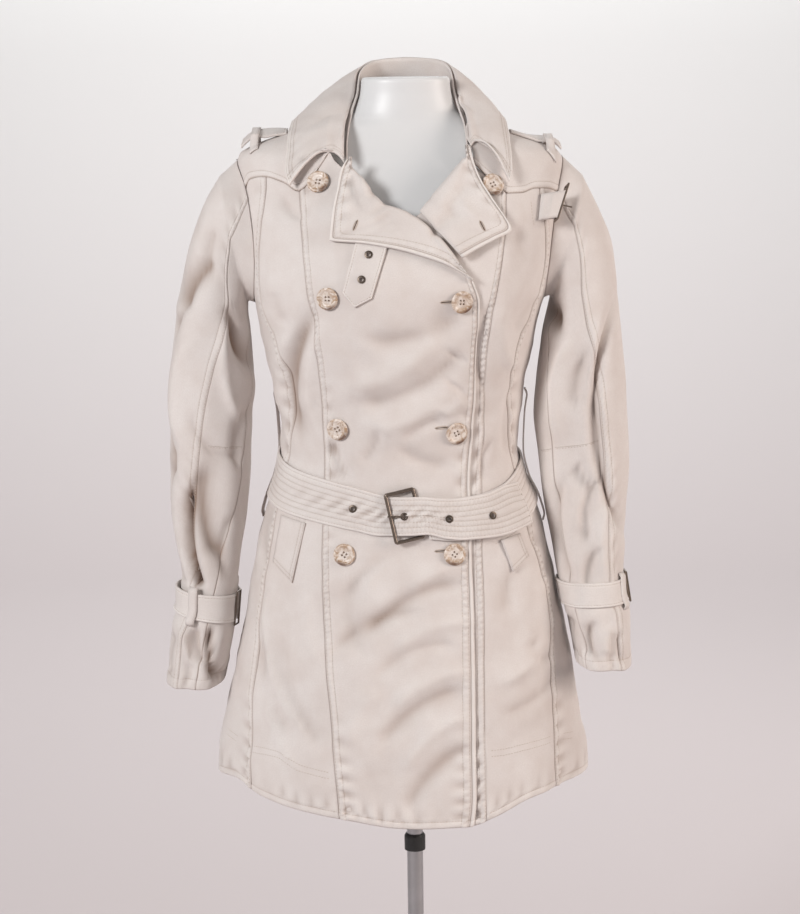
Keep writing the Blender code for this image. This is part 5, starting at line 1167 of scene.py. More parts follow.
# What is kept of each sheet for what is sewn on it later.
SHEETS = {}
NARROWEST_CUT = 0.0101
# A sheet's steps across and along, and how many points tell its real lengths.
CLOTH_PITCH = (0.0058, 0.0027)
COARSE_COUNT = 49
# The most of a sheet's width or length that two trims take up.
TRIMS_SHARE = 0.98


def running_lengths(grid, axis):
    steps = np.linalg.norm(np.diff(grid, axis=axis), axis=-1)
    start = np.zeros_like(np.take(steps, [0], axis=axis))
    return np.cumsum(np.concatenate((start, steps), axis=axis), axis=axis)


def places_along(length, start, end, pitch_count):
    """Distances from one end: each trim's own at its end, and even steps between."""
    first = [row[0] for row in start["profile"]]
    last = [row[0] for row in end["profile"]][::-1]
    squeeze = min(1.0, TRIMS_SHARE * length / (first[-1] + last[0]))
    first = np.array(first) * squeeze
    last = length - np.array(last) * squeeze
    middle = np.linspace(first[-1], last[0], pitch_count + 1)[1:-1]
    return np.concatenate((first, middle, last))


def step_count(lengths, start, end, pitch):
    free = np.mean(lengths) - start["profile"][-1][0] - end["profile"][-1][0]
    return max(1, int(round(free / pitch)))


def columns_at(table, stations, at):
    """Interpolates each column of a table of rows over its stations."""
    return np.stack([np.interp(at[:, i], stations, table[:, i]) for i in range(table.shape[1])], axis=1)


def fine_grid(surface, edges, pitch):
    """Shares u and v of a surface, spaced by real lengths, and the distances from its four edges."""
    left, right, low, high = edges
    shares = np.linspace(0.0, 1.0, COARSE_COUNT)
    grid = surface(*np.meshgrid(shares, shares))
    across, up = running_lengths(grid, 1), running_lengths(grid, 0)
    widths, heights = across[:, -1], up[-1, :]
    column_steps = step_count(widths, left, right, pitch[0])
    row_steps = step_count(heights, low, high, pitch[1])
    column_places = np.array([places_along(w, left, right, column_steps) for w in widths])
    row_places = np.array([places_along(h, low, high, row_steps) for h in heights])
    u_table = np.array([np.interp(p, across[j], shares) for j, p in enumerate(column_places)])
    v_table = np.array([np.interp(p, up[:, i], shares) for i, p in enumerate(row_places)])
    rows, columns = v_table.shape[1], u_table.shape[1]
    v = np.repeat(v_table.mean(axis=0)[:, None], columns, axis=1)
    for _ in range(3):
        u = columns_at(u_table, shares, v)
        v = columns_at(v_table, shares, u.T).T
    near = columns_at(column_places, shares, v)
    low_near = columns_at(row_places, shares, u.T).T
    wide = np.interp(v, shares, widths)
    tall = np.interp(u, shares, heights)
    return u, v, (near, wide - near, low_near, tall - low_near)


def grid_normals(points, facing):
    """The normals of a grid of points, on the side that the cloth faces."""
    across = np.gradient(points, axis=1)
    up = np.gradient(points, axis=0)
    return unit(np.cross(across, up)) * facing


def add_object(name, vertices, faces, looks, body="coat_and_stand"):
    mesh = bpy.data.meshes.new(name)
    mesh.from_pydata(vertices, [], faces)
    mesh.validate()
    mesh.shade_smooth()
    for look in looks:
        mesh.materials.append(look)
    made = bpy.data.objects.new(name, mesh)
    bpy.context.scene.collection.objects.link(made)
    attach(made, body)
    return made


def shell_faces(rows, columns):
    """The faces of a closed sheet: the outer grid's points come first, then the inner grid's."""
    number = np.arange(rows * columns).reshape(rows, columns)
    under = number + rows * columns
    a, b, c, d = number[:-1, :-1], number[:-1, 1:], number[1:, 1:], number[1:, :-1]
    faces = [np.stack((a, b, c, d), axis=-1).reshape(-1, 4)]
    a, b, c, d = under[:-1, :-1], under[1:, :-1], under[1:, 1:], under[:-1, 1:]
    faces.append(np.stack((a, b, c, d), axis=-1).reshape(-1, 4))
    rim = np.concatenate((number[0, :-1], number[:-1, -1], number[-1, :0:-1], number[:0:-1, 0]))
    after = np.roll(rim, -1)
    below = rows * columns
    faces.append(np.stack((rim, rim + below, after + below, after), axis=-1))
    return np.concatenate(faces)


def set_shade(mesh, shade):
    """How far each point is drawn to its dark tone, down to -1, or its pale tone, up to 1: painted shade and
    highlight.
    """
    layer = mesh.attributes.new("shade", "FLOAT", "POINT")
    layer.data.foreach_set("value", np.clip(shade, -1.0, 1.0).astype(np.float32).ravel())


def set_uv(mesh, u, v):
    """Lays the weave over the sheet in metres."""
    layer = mesh.uv_layers.new(name="weave")
    corners = np.empty(len(mesh.loops), dtype=int)
    mesh.loops.foreach_get("vertex_index", corners)
    flat = np.stack((np.tile(u.ravel(), 2), np.tile(v.ravel(), 2)), axis=-1)
    layer.data.foreach_set("uv", flat[corners].astype(np.float32).ravel())


def flat_size(face, distances):
    """A sheet's greatest width and length along its surface, and its area."""
    width = max(float(np.max(distances[0] + distances[1])), NARROWEST_CUT)
    length = float(np.max(distances[2] + distances[3]))
    diagonals = (face[1:, 1:] - face[:-1, :-1], face[1:, :-1] - face[:-1, 1:])
    panels = np.linalg.norm(np.cross(*diagonals), axis=-1) / 2
    return width, length, min(float(panels.sum()), width * length)


def sheet_piece(name, surface, edges, look, facing=1, thickness=CLOTH, relief=None, pitch=CLOTH_PITCH,
                held="draped", rests_on=("form_torso",)):
    """One piece of cloth: a fine closed sheet over surface(u, v), standing for the solid of the same name.

    edges are those at u = 0, u = 1, v = 0 and v = 1. facing is 1 or -1, so that the cloth faces out.
    """
    u, v, distances = fine_grid(surface, edges, pitch)
    left, _, low, _ = distances
    face = surface(u, v)
    normals = grid_normals(face, facing)
    folds = relief(face) if relief else np.zeros(u.shape)
    sewn = edge_relief(edges, distances, (low, low, left, left))
    moved = face + normals * folds[..., None]
    outer = moved + normals * sewn[..., None]
    inner = moved - normals * thickness
    vertices = np.concatenate((outer.reshape(-1, 3), inner.reshape(-1, 3)))
    faces = shell_faces(*u.shape)
    made = add_object(name + "_cloth", vertices, faces if facing > 0 else faces[:, ::-1], [look])
    set_uv(made.data, left, low)
    # Painted shade in seams, grooves and deep folds, and painted highlight on ridges and raised rims.
    shade = shade_of(edges, distances, folds, sewn).ravel()
    set_shade(made.data, np.concatenate((shade, np.zeros_like(shade))))
    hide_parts(name)
    SHEETS[name] = {
        "piece": made, "outer": outer, "normals": grid_normals(outer, facing), "lines": [], "extras": [],
        "flat": flat_size(face, distances), "held": held, "rests_on": rests_on,
    }
    collect_lines(SHEETS[name], edges)


def collect_lines(sheet, edges):
    """Finds the rows of stitches that follow the sheet's edges."""
    outer, normals = sheet["outer"], sheet["normals"]
    left, right, low, high = edges
    for edge, sign, turned in ((left, 1, False), (right, -1, False), (low, 1, True), (high, -1, True)):
        stations = [row[0] for row in edge["profile"]]
        for distance in edge["stitches"]:
            k = stations.index(distance)
            k = k if sign > 0 else -1 - k
            line = (outer[k, :], normals[k, :]) if turned else (outer[:, k], normals[:, k])
            sheet["lines"].append(line)


# Threads.


def resampled(points, normals, start, pitch):
    """Points and normals at even steps along a line."""
    lengths = running_lengths(points, 0)
    stops = np.arange(start, lengths[-1] - start, pitch)
    return (
        np.stack([np.interp(stops, lengths, points[:, k]) for k in range(3)], axis=-1),
        np.stack([np.interp(stops, lengths, normals[:, k]) for k in range(3)], axis=-1),
    )


# A stitch's rings: share of its length, share of its radius, and its height in radii.
STITCH_RINGS = ((0.0, 0.35, -0.9), (0.22, 1.0, 0.15), (0.78, 1.0, 0.15), (1.0, 0.35, -0.9))
STITCH_SIDES = 4
# A row of stitches: from one to the next, each one's length and radius, and the row's distance from its
# ends.
STITCH_PITCH = 0.0034
STITCH_LENGTH = 0.0025
STITCH_RADIUS = 0.00032
STITCH_MARGIN = 0.0015


def stitch_mesh(starts, ends, normals, radius):
    """Vertices and faces of many stitches, each a low rounded bar."""
    along = unit(ends - starts)
    across = unit(np.cross(along, normals))
    up = np.cross(across, along)
    rings = []
    for share, thick, height in STITCH_RINGS:
        middle = starts + (ends - starts) * share + up * height * radius
        for k in range(STITCH_SIDES):
            turn = 2 * math.pi * k / STITCH_SIDES
            rings.append(middle + (across * math.cos(turn) + up * math.sin(turn)) * radius * thick)
    vertices = np.stack(rings, axis=1)
    count = vertices.shape[1]
    faces = []
    for ring in range(len(STITCH_RINGS) - 1):
        for k in range(STITCH_SIDES):
            n = (k + 1) % STITCH_SIDES
            a, b = ring * STITCH_SIDES, (ring + 1) * STITCH_SIDES
            faces.append((a + k, a + n, b + n, b + k))
    last = (len(STITCH_RINGS) - 1) * STITCH_SIDES
    faces.append((3, 2, 1, 0))
    faces.append((last, last + 1, last + 2, last + 3))
    faces = np.array(faces)[None] + (np.arange(len(vertices)) * count)[:, None, None]
    return vertices.reshape(-1, 3), faces.reshape(-1, 4)


def sew(name, lines, look):
    """Rows of stitches along lines, which are points with their normals."""
    starts, ends, normals = [], [], []
    for points, line_normals in lines:
        places, ups = resampled(points, line_normals, STITCH_MARGIN, STITCH_PITCH)
        if len(places) < 2:
            continue
        along = unit(np.diff(places, axis=0))
        starts.append(places[:-1])
        ends.append(places[:-1] + along * STITCH_LENGTH)
        normals.append(unit(ups[:-1]))
    bars = [np.concatenate(parts) for parts in (starts, ends, normals)]
    made = add_object(name, *stitch_mesh(*bars, STITCH_RADIUS), [look])
    return made


def sew_sheets(look):
    for name, sheet in SHEETS.items():
        if sheet["lines"]:
            sheet["extras"].append(sew(name + "_stitches", sheet["lines"], look))


# Materials.


def new_material(name, colour, roughness, metallic=0.0, sheen=0.0, specular=0.5):
    made = bpy.data.materials.new(name)
    made.use_nodes = True
    shader = made.node_tree.nodes["Principled BSDF"]
    shader.inputs["Base Color"].default_value = (*colour, 1.0)
    shader.inputs["Roughness"].default_value = roughness
    shader.inputs["Metallic"].default_value = metallic
    shader.inputs["Sheen Weight"].default_value = sheen
    shader.inputs["Specular IOR Level"].default_value = specular
    return made, made.node_tree, shader


def add_node(tree, kind, **inputs):
    node = tree.nodes.new(kind)
    for key, value in inputs.items():
        node.inputs[key.replace("_", " ")].default_value = value
    return node


def mix_colours(tree, factor, one, two):
    node = tree.nodes.new("ShaderNodeMix")
    node.data_type = "RGBA"
    tree.links.new(factor, node.inputs[0])
    for socket, value in ((node.inputs[6], one), (node.inputs[7], two)):
        if isinstance(value, tuple):
            socket.default_value = (*value, 1.0)
        else:
            tree.links.new(value, socket)
    return node.outputs[2]


def clamped(tree, value, scale):
    """The value times scale, kept between 0 and 1."""
    node = tree.nodes.new("ShaderNodeMath")
    node.operation = "MULTIPLY"
    node.use_clamp = True
    node.inputs[1].default_value = scale
    tree.links.new(value, node.inputs[0])
    return node.outputs[0]


def spread(tree, value, low, high):
    """The value drawn out, so that low becomes 0 and high becomes 1."""
    node = tree.nodes.new("ShaderNodeMapRange")
    node.inputs["From Min"].default_value = low
    node.inputs["From Max"].default_value = high
    tree.links.new(value, node.inputs["Value"])
    return node.outputs["Result"]


def noise(tree, place, **settings):
    """How strong a noise is at a place."""
    node = add_node(tree, "ShaderNodeTexNoise", **settings)
    tree.links.new(place, node.inputs["Vector"])
    return node.outputs["Fac"]


def object_place(tree):
    return tree.nodes.new("ShaderNodeTexCoord").outputs["Object"]


def shaded(tree, colour, deep, pale):
    """The colour, drawn to deep where the attribute "shade" is below 0 and to pale where it is above."""
    shade = tree.nodes.new("ShaderNodeAttribute")
    shade.attribute_name = "shade"
    darker = mix_colours(tree, clamped(tree, shade.outputs["Fac"], -1.0), colour, deep)
    return mix_colours(tree, clamped(tree, shade.outputs["Fac"], 1.0), darker, pale)


def bumped(tree, height, strength, distance, under=None):
    """The normal over this height, and over another one's."""
    node = add_node(tree, "ShaderNodeBump", Strength=strength, Distance=distance)
    tree.links.new(height, node.inputs["Height"])
    if under is not None:
        tree.links.new(under, node.inputs["Normal"])
    return node.outputs[0]


# The cloth's painted highlight, and the share of each colour left in painted shade in seams, grooves and
# folds.
PAINTED_HIGHLIGHT = (0.86, 0.82, 0.78)
PAINTED_SHADE_SHARE = (0.40, 0.31, 0.255)
NUB_TONE = 0.86
RIB_LEAN = 62.0


def cloth_material(name, light, dark, nub):
    """Cotton twill: a fine diagonal rib, nubs of uneven yarn, a faintly clouded dye, and painted shade and
    highlight.
    """
    made, tree, shader = new_material(name, light, 0.86, sheen=0.12, specular=0.25)
    place = tree.nodes.new("ShaderNodeUVMap")
    place.uv_map = "weave"
    turned = add_node(tree, "ShaderNodeMapping", Rotation=(0.0, 0.0, math.radians(RIB_LEAN)))
    tree.links.new(place.outputs[0], turned.inputs["Vector"])
    rib = add_node(tree, "ShaderNodeTexWave", Scale=260.0, Distortion=1.2, Detail=2.0)
    tree.links.new(turned.outputs[0], rib.inputs["Vector"])
    yarn = noise(tree, place.outputs[0], Scale=700.0, Detail=3.0, Roughness=0.6)
    cloud = noise(tree, object_place(tree), Scale=22.0, Detail=5.0, Roughness=0.62)
    base = mix_colours(tree, spread(tree, cloud, 0.34, 0.66), dark, light)
    mottled = mix_colours(tree, yarn, tuple(NUB_TONE * c for c in dark), base)
    # Painted shade in seams, grooves, stitch rows and deep folds; painted highlight on ridges and raised rims.
    deep = tuple(c * t for c, t in zip(dark, PAINTED_SHADE_SHARE))
    tree.links.new(shaded(tree, mottled, deep, PAINTED_HIGHLIGHT), shader.inputs["Base Color"])
    ribs = bumped(tree, rib.outputs["Fac"], 0.35, 0.00015)
    tree.links.new(bumped(tree, yarn, nub, 0.00035, ribs), shader.inputs["Normal"])
    return made


def worn_material(name, colour, dark, roughness, metallic, scale, specular=0.5):
    """A hard finish with blotches of a darker tone."""
    made, tree, shader = new_material(name, colour, roughness, metallic, specular=specular)
    blotch = noise(tree, object_place(tree), Scale=scale, Detail=4.0, Roughness=0.6)
    tree.links.new(mix_colours(tree, blotch, dark, colour), shader.inputs["Base Color"])
    tree.links.new(bumped(tree, blotch, 0.15, 0.0002), shader.inputs["Normal"])
    return made


# The horn's tones: in a plain view, in its clouds, between them, its painted shade and where it is palest.
HORN_PLAIN = (0.62, 0.47, 0.33)
HORN_CLOUD = (0.42, 0.28, 0.18)
HORN_TAN = (0.74, 0.65, 0.58)
HORN_SHADE_TONE = (0.11, 0.05, 0.03)
HORN_PALE = (0.74, 0.68, 0.64)


def horn_material():
    """Polished horn: pale tan clouded with brown, with painted shade in its holes and low on its rim."""
    made, tree, shader = new_material("horn", HORN_PLAIN, 0.32)
    cloud = noise(tree, object_place(tree), Scale=150.0, Detail=4.0, Roughness=0.55, Distortion=1.5)
    horn = mix_colours(tree, spread(tree, cloud, 0.40, 0.60), HORN_CLOUD, HORN_TAN)
    tree.links.new(shaded(tree, horn, HORN_SHADE_TONE, HORN_PALE), shader.inputs["Base Color"])
    return made


# Cloth: name, its light and its dark tone, and how strong its nubs are.
TWILL = cloth_material("beige twill", (0.805, 0.762, 0.738), (0.705, 0.635, 0.600), 0.35)
CRISP = cloth_material("beige twill, crisper", (0.815, 0.775, 0.750), (0.710, 0.645, 0.612), 0.60)
# Finishes: name, two tones, roughness, how metallic it is, the blotches' scale and the specular level.
THREAD = worn_material("beige thread", (0.56, 0.48, 0.42), (0.48, 0.40, 0.34), 0.8, 0.0, 900.0, 0.2)
# The buttonholes' slits are dark cords of painted shade.
SLIT_SHADE = worn_material("painted shade in a slit", (0.17, 0.12, 0.095), (0.11, 0.08, 0.06), 0.9, 0.0, 400.0, 0.1)
SEAM_SHADOW = worn_material("shadow in a seam", (0.52, 0.45, 0.40), (0.44, 0.37, 0.33), 0.9, 0.0, 400.0, 0.1)
BRONZE = worn_material("aged bronze", (0.30, 0.245, 0.205), (0.11, 0.085, 0.07), 0.34, 0.9, 500.0)
EYELET = worn_material("worn eyelet", (0.16, 0.125, 0.10), (0.06, 0.045, 0.035), 0.42, 0.75, 700.0)
GLOSS = worn_material("glossy white form", (0.72, 0.72, 0.72), (0.70, 0.70, 0.705), 0.40, 0.0, 6.0)
STEEL = worn_material("brushed steel", (0.52, 0.52, 0.53), (0.40, 0.40, 0.41), 0.32, 1.0, 60.0)
DARK = worn_material("dark fitting", (0.05, 0.05, 0.05), (0.03, 0.03, 0.03), 0.45, 0.4, 120.0)
HORN = horn_material()


# The body's pieces.


def panel_surface(part, side):
    under = part == "front" and side > 0

    def surface(u, v):
        z, q = panel_place(part, side, u, v)
        return body_point(z, q, tucked(z, q)) if under else body_face(z, q)

    return surface


def back_surface(side):
    def surface(u, v):
        low = row_at(HEM_LINE, side * (90 + 90 * u))[0]
        z = low + (NECK_HEIGHT - low) * v
        return body_face(z, back_side_angle(z, side) * (1 - u) + side * 180 * u)

    return surface


def yoke_low_edge(side, u):
    """The height and angle of the yoke's lower edge, which runs along the panels' tops."""
    z, q = np.zeros_like(u), np.zeros_like(u)
    for part, start in YOKE_RUN:
        share = u - start if part == "front" else 1 - (u - start) / YOKE_PANEL_SHARE
        part_z, part_q = panel_place(part, side, np.clip(share, 0.0, 1.0), np.ones_like(u))
        z, q = np.where(u >= start, part_z, z), np.where(u >= start, part_q, q)
    return z, q


def yoke_surface(side):
    neck_start = YOKE_RUN[-1][1]

    def surface(u, v):
        low, low_angle = yoke_low_edge(side, u)
        high = np.interp(u * (len(NECK_LEVELS) - 1), range(len(NECK_LEVELS)), NECK_LEVELS)
        z = low + (high - low) * v
        q = 90 - (90 - np.abs(low_angle)) * np.sqrt(np.maximum(1 - v * v, 0.0))
        q = mixed_number(q, 90 - ARMHOLE_FRONT * armhole_reach(z), blend_in(1 - u / YOKE_AT_ARMHOLE))
        bow = YOKE_REACH[side] * np.sin(math.pi * v) * blend_in((u - neck_start) / (1 - neck_start))
        return body_face(z, side * (q - bow))

    return surface


def hand(side):
    return "right" if side < 0 else "left"


def make_body():
    for side in (-1, 1):
        middle_of_back = STITCHED_SEAM if side > 0 else QUIET_SEAM
        pieces = (
            ("front", panel_surface("front", side), (STITCHED_SEAM, PIPED_EDGE, HEM, QUIET_SEAM), -side),
            ("side_front", panel_surface("side_front", side), (QUIET_SEAM, SEAM, HEM, QUIET_SEAM), side),
            ("side", panel_surface("side", side), (STITCHED_SEAM, QUIET_SEAM, HEM, QUIET_SEAM), side),
            ("back", back_surface(side), (QUIET_SEAM, middle_of_back, HEM, SEAM), side),
            ("yoke", yoke_surface(side), (QUIET_SEAM, BARE, DARK_STITCHED_SEAM, SEAM), -side),
        )
        for part, surface, edges, facing in pieces:
            sheet_piece("%s_%s" % (part, hand(side)), surface, edges, TWILL, facing, relief=body_relief)


# The neck.


# A lapel's lift at its fold and how much further out its edge stands; then how far its fold swells, where
# across it and how wide, and how fast the swelling ends towards the break.
LAPEL_LIFT = DOUBLE_CLOTH + LAY_GAP + 0.0008
LAPEL_STAND = 0.0030
LAPEL_ROLL = 0.0030
ROLL_PLACE = 0.10
ROLL_WIDTH = 0.16
ROLL_END_RATE = 6


def lapel_surface(table):
    def surface(u, v):
        fold_x, fold_z, edge_x, edge_z = station_at(table, v)
        x, z = mixed_number(fold_x, edge_x, u), mixed_number(fold_z, edge_z, u)
        roll = LAPEL_ROLL * np.exp(-(((u - ROLL_PLACE) / ROLL_WIDTH) ** 2))
        lift = LAPEL_LIFT + LAPEL_STAND * u * (2 - u)
        return front_point(x, z, lift + roll * np.minimum(1.0, ROLL_END_RATE * (1 - v)))

    return surface


def lapel_relief(points):
    x, _, z = np.moveaxis(points, -1, 0)
    return creased(x, z, LAPEL_CREASES) + uneven_layers(points, LAPEL_UNEVEN)


# Where the coat's front ends and its shoulders begin: y, height, and the width of the change.
SHOULDER_Y = -0.020
SHOULDER_Z = 1.440
SHOULDER_BLEND = 0.020


def lifted_clear(points, lift):
    """The points, or ones this far over the coat where they would lie lower."""
    x, y, z = np.moveaxis(points, -1, 0)
    ahead = blend_in((SHOULDER_Y - y) / SHOULDER_BLEND) * blend_in((SHOULDER_Z - z) / SHOULDER_BLEND)
    front = front_point(x, np.minimum(z, SHOULDER_Z), lift)[..., 1]
    over = shoulder_point(x, y)[..., 2] + lift
    return points_of(x, y + np.minimum(front - y, 0.0) * ahead, z + np.maximum(over - z, 0.0) * (1 - ahead))


def collar_fold(u):
    """The collar's fold and its outer edge, and the level way out from the neck."""
    fold_x, fold_y, fold_z, edge_x, edge_y, edge_z = station_at(COLLAR, u)
    away = unit(points_of(fold_x, fold_y - COLLAR_CENTRE_Y, 0.0))
    return points_of(fold_x, fold_y, fold_z), points_of(edge_x, edge_y, edge_z), away


def collar_leaf_surface(u, v):
    fold, edge, away = collar_fold(u)
    bulge = COLLAR_BULGE * np.sin(math.pi * v) * (1 - COLLAR_BULGE_LOSS * np.abs(2 * u - 1))
    crown = COLLAR_CROWN * np.exp(-((v / COLLAR_CROWN_SHARE) ** 2))
    scoop_right = SCOOP_RIGHT * np.exp(-((u / SCOOP_FADE) ** 2))
    scoop = scoop_right + SCOOP_LEFT * np.exp(-(((1 - u) / SCOOP_FADE) ** 2))
    rise = bulge * COLLAR_BULGE_LIFT - crown + scoop * np.sin(math.pi * v**SCOOP_SKEW)
    points = mixed(fold, edge, v) + away * bulge[..., None] + points_of(0.0, 0.0, rise)
    least = FOLD_CLEARANCE * blend_in(points[..., 0] / FOLD_CLEARANCE_FADE)
    return lifted_clear(points, COLLAR_CLEAR * np.minimum(1.0, least + CLEARANCE_GROWTH * v))


def collar_stand_surface(u, v):
    fold, _, away = collar_fold(u)
    middle = 1 - np.abs(2 * u - 1) ** 3
    height, more_height = STAND_HEIGHTS
    spread_out, more_spread = STAND_SPREADS
    inside = fold - away * STAND_INSET - np.array((0, 0, STAND_DROP))
    drop = points_of(0.0, 0.0, height + more_height * middle)
    base = inside - drop + away * (spread_out + more_spread * middle)[..., None]
    x, y, z = np.moveaxis(base, -1, 0)
    z = np.where(y > STAND_BEHIND_Y, np.maximum(z, NECK_HEIGHT + STAND_NECK_GAP), z)
    z = np.minimum(np.maximum(z, top_height(FORM, x, y) + STAND_CLEAR), inside[..., 2] - STAND_LEAST)
    return mixed(inside, points_of(x, y, z), v)


def make_neck():
    for side, table in ((-1, LAPEL_RIGHT), (1, LAPEL_LEFT)):
        sheet_piece("lapel_" + hand(side), lapel_surface(table), (BARE, LAPEL_EDGE, BARE, BARE), CRISP, -side,
                    DOUBLE_CLOTH, lapel_relief, (0.0030, 0.0026), "folded")
    sheet_piece("collar_leaf", collar_leaf_surface, (TURNED_EDGE, TURNED_EDGE, BARE, TURNED_EDGE), TWILL, 1,
                DOUBLE_CLOTH, light_relief(0.0007), (0.0036, 0.0030), "folded")
    sheet_piece("collar_stand", collar_stand_surface, (BARE, BARE, BARE, SEAM), TWILL, -1, CLOTH,
                light_relief(0.0003), (0.0045, 0.0040), "folded")


# The sleeves.


def sleeve_table(side):
    return SLEEVE_RIGHT if side < 0 else SLEEVE_LEFT


def armhole_ring(side, angle):
    z = ARMHOLE_MIDDLE + ARMHOLE_HALF * ARMHOLE_FILL * cosine(angle)
    reach = sine(angle)
    q = 90 - np.where(reach > 0, ARMHOLE_FRONT, ARMHOLE_BACK) * reach - ARMHOLE_LAP * reach
    return body_point(z, side * q, SLEEVE_START_LIFT)


def sleeve_ring(columns, angle):
    """A ring's middle, and its point at this angle."""
    outer_x, outer_z, inner_x, inner_z, y, depth = columns[:6]
    middle = points_of((outer_x + inner_x) / 2, y, (outer_z + inner_z) / 2)
    reach = points_of((outer_x - inner_x) / 2, 0.0, (outer_z - inner_z) / 2)
    out = reach * power(cosine(angle), SLEEVE_ROUNDNESS)[..., None]
    return middle, middle + out + points_of(0.0, -depth * power(sine(angle), SLEEVE_ROUNDNESS), 0.0)


def sleeve_point(side, t, angle):
    """A point of the sleeve's outer face, t of the way from the armhole to the cuff."""
    table = sleeve_table(side)
    t, angle = np.broadcast_arrays(np.asarray(t, float), np.asarray(angle, float))
    station = t * len(table)
    columns = station_at(table, np.clip((station - 1.0) / (len(table) - 1), 0.0, 1.0))
    middle, point = sleeve_ring(columns, angle)
    away = unit(point - middle)
    for at, turn, length, width, depth in SLEEVE_FOLDS:
        fade = np.exp(-(((t - at) / length) ** 2) - (turn_between(angle, turn) / width) ** 2)
        point = point + away * (depth * fade)[..., None]
    return mixed(armhole_ring(side, angle), point, np.clip(station, 0.0, 1.0))


def sleeve_normal(side, t, angle):
    round_it = (
        sleeve_point(side, t, angle + SLEEVE_STEP_ROUND) - sleeve_point(side, t, angle - SLEEVE_STEP_ROUND)
    )
    below, above = np.minimum(t + SLEEVE_STEP_DOWN, 1.0), np.maximum(t - SLEEVE_STEP_DOWN, 0.0)
    down_it = sleeve_point(side, below, angle) - sleeve_point(side, above, angle)
    return unit(np.cross(down_it, round_it)) * -side


def seam_angle(side, t, seam):
    """The angle of a sleeve's seam, t of the way down."""
    if seam in BACK_SEAMS:
        return BACK_SEAMS[seam] + 0 * t
    start, column = SLEEVE_SEAMS[seam]
    angles = [start] + [row[column] for row in sleeve_table(side)]
    return smooth(range(len(angles)), angles, np.asarray(t) * (len(angles) - 1))


def sleeve_surface(side, start, end):
    def surface(u, v):
        return sleeve_point(side, v, seam_angle(side, v, start) * (1 - u) + seam_angle(side, v, end) * u)

    return surface


# A sleeve's pieces: name, the seams at its two sides, and its edges.
SLEEVE_PIECES = (
    ("top", "back", "front", (DARK_STITCHED_SEAM, SLEEVE_SEAM, QUIET_SEAM, CUFF_EDGE)),
    ("front", "front", "under", (QUIET_SEAM, SEAM, QUIET_SEAM, CUFF_EDGE)),
    ("under", "under", "back_again", (QUIET_SEAM, QUIET_SEAM, QUIET_SEAM, CUFF_EDGE)),
)


def make_sleeve(side):
    for part, start, end, edges in SLEEVE_PIECES:
        sheet_piece("sleeve_%s_%s" % (hand(side), part), sleeve_surface(side, start, end), edges, TWILL, side,
                    relief=sleeve_relief(side), held="hung", rests_on=("front_" + hand(side),))


# Straps, loops and the belt.


def epaulette_point(table, share, y):
    """A point of the epaulette's upper face, share of the way in from its outer end."""
    x, front, back = station_at(table, share)
    toward_back = 0.5 + 0.5 * y / EPAULETTE_HALF
    crown = EPAULETTE_CROWN * (1 - (y / EPAULETTE_HALF) ** 2)
    height = front + (back - front) * toward_back + crown
    x, y = np.broadcast_arrays(x, y)
    return points_of(x, y, np.maximum(height, shoulder_point(x, y)[..., 2] + EPAULETTE_CLEAR))


def epaulette_surface(table):
    return lambda u, v: epaulette_point(table, u, EPAULETTE_HALF * (1 - 2 * v))


def epaulette_loop_surface(side, table):
    share = LOOP_SHARES[side]

    def surface(u, v):
        y, over = station_at(LOOP_PATH, v)
        edge = np.clip(y, -EPAULETTE_HALF, EPAULETTE_HALF)
        top = epaulette_point(table, share, edge)
        further_in = epaulette_point(table, share + LOOP_BRIDGE, edge)
        x = top[..., 0] + side * LOOP_HALF * (1 - 2 * u)
        height = np.maximum(top[..., 2], further_in[..., 2]) + CLOTH + LAY_GAP
        return mixed(shoulder_point(x, y, LOOP_CLEAR), points_of(x, y, height), over)

    return surface


def strap_point(side, angle, v, lift):
    """A point over the sleeve, at v of the cuff strap's width from its upper edge."""
    t = STRAP_TOP + STRAP_DROP[side] * (1 - cosine(angle)) + (STRAP_BOTTOM - STRAP_TOP) * v
    out = lift + STRAP_STAND_OFF[side] * np.maximum(cosine(angle), 0.0)
    return sleeve_point(side, t, angle) + sleeve_normal(side, t, angle) * out[..., None]


def cuff_strap_surface(side, start, end):
    return lambda u, v: strap_point(side, start + (end - start) * u, v, STRAP_LIFT + 0 * u)


def cuff_loop_surface(side, angle):
    def surface(u, v):
        over = CUFF_LOOP_LIFT + STRAP_LIFT * np.minimum(1.0, CUFF_LOOP_RAMP * np.sin(math.pi * v))
        down = v + CUFF_LOOP_PAST * (2 * v - 1)
        return strap_point(side, angle + CUFF_LOOP_WIDTH * (u - 0.5), down, over)

    return surface


def belt_surface(u, v):
    lean = (0.5 - v) * BELT_START_LEAN * np.maximum(0.0, 1 - u * BELT_START_PARTS)
    path = mixed_number(BELT_START, BELT_END, u) + lean
    low, high = row_at(BELT_EDGES, path)
    rise = row_at(BELT_RISE, path)[0]
    return body_point(mixed_number(low, high, v), turn_between(path, 0.0), BELT_LIFT + rise)


def carrier_surface(side, angle):
    def surface(u, v):
        z, lift = station_at(CARRIER, v)
        return body_point(z, angle + side * CARRIER_WIDTH * (u - 0.5), lift)

    return surface


def bilinear(corners, u, v):
    """A place between four corners, as x and z from the upper left clockwise. u runs right and v down."""
    return [
        (upper_left * (1 - u) + upper_right * u) * (1 - v) + (lower_left * (1 - u) + lower_right * u) * v
        for upper_left, upper_right, lower_right, lower_left in zip(*corners)
    ]


def tab_surface(u, v):
    x, z = bilinear(TAB_CORNERS, u, v)
    reach = np.where(u < TAB_POINT_SHARE, TAB_POINT_SHARE, 1 - TAB_POINT_SHARE)
    off_point = np.abs(u - TAB_POINT_SHARE) / reach
    return front_point(x, z - TAB_POINT_DROP * np.maximum(0.0, 1 - off_point) * v, TAB_LIFT + 0 * u)


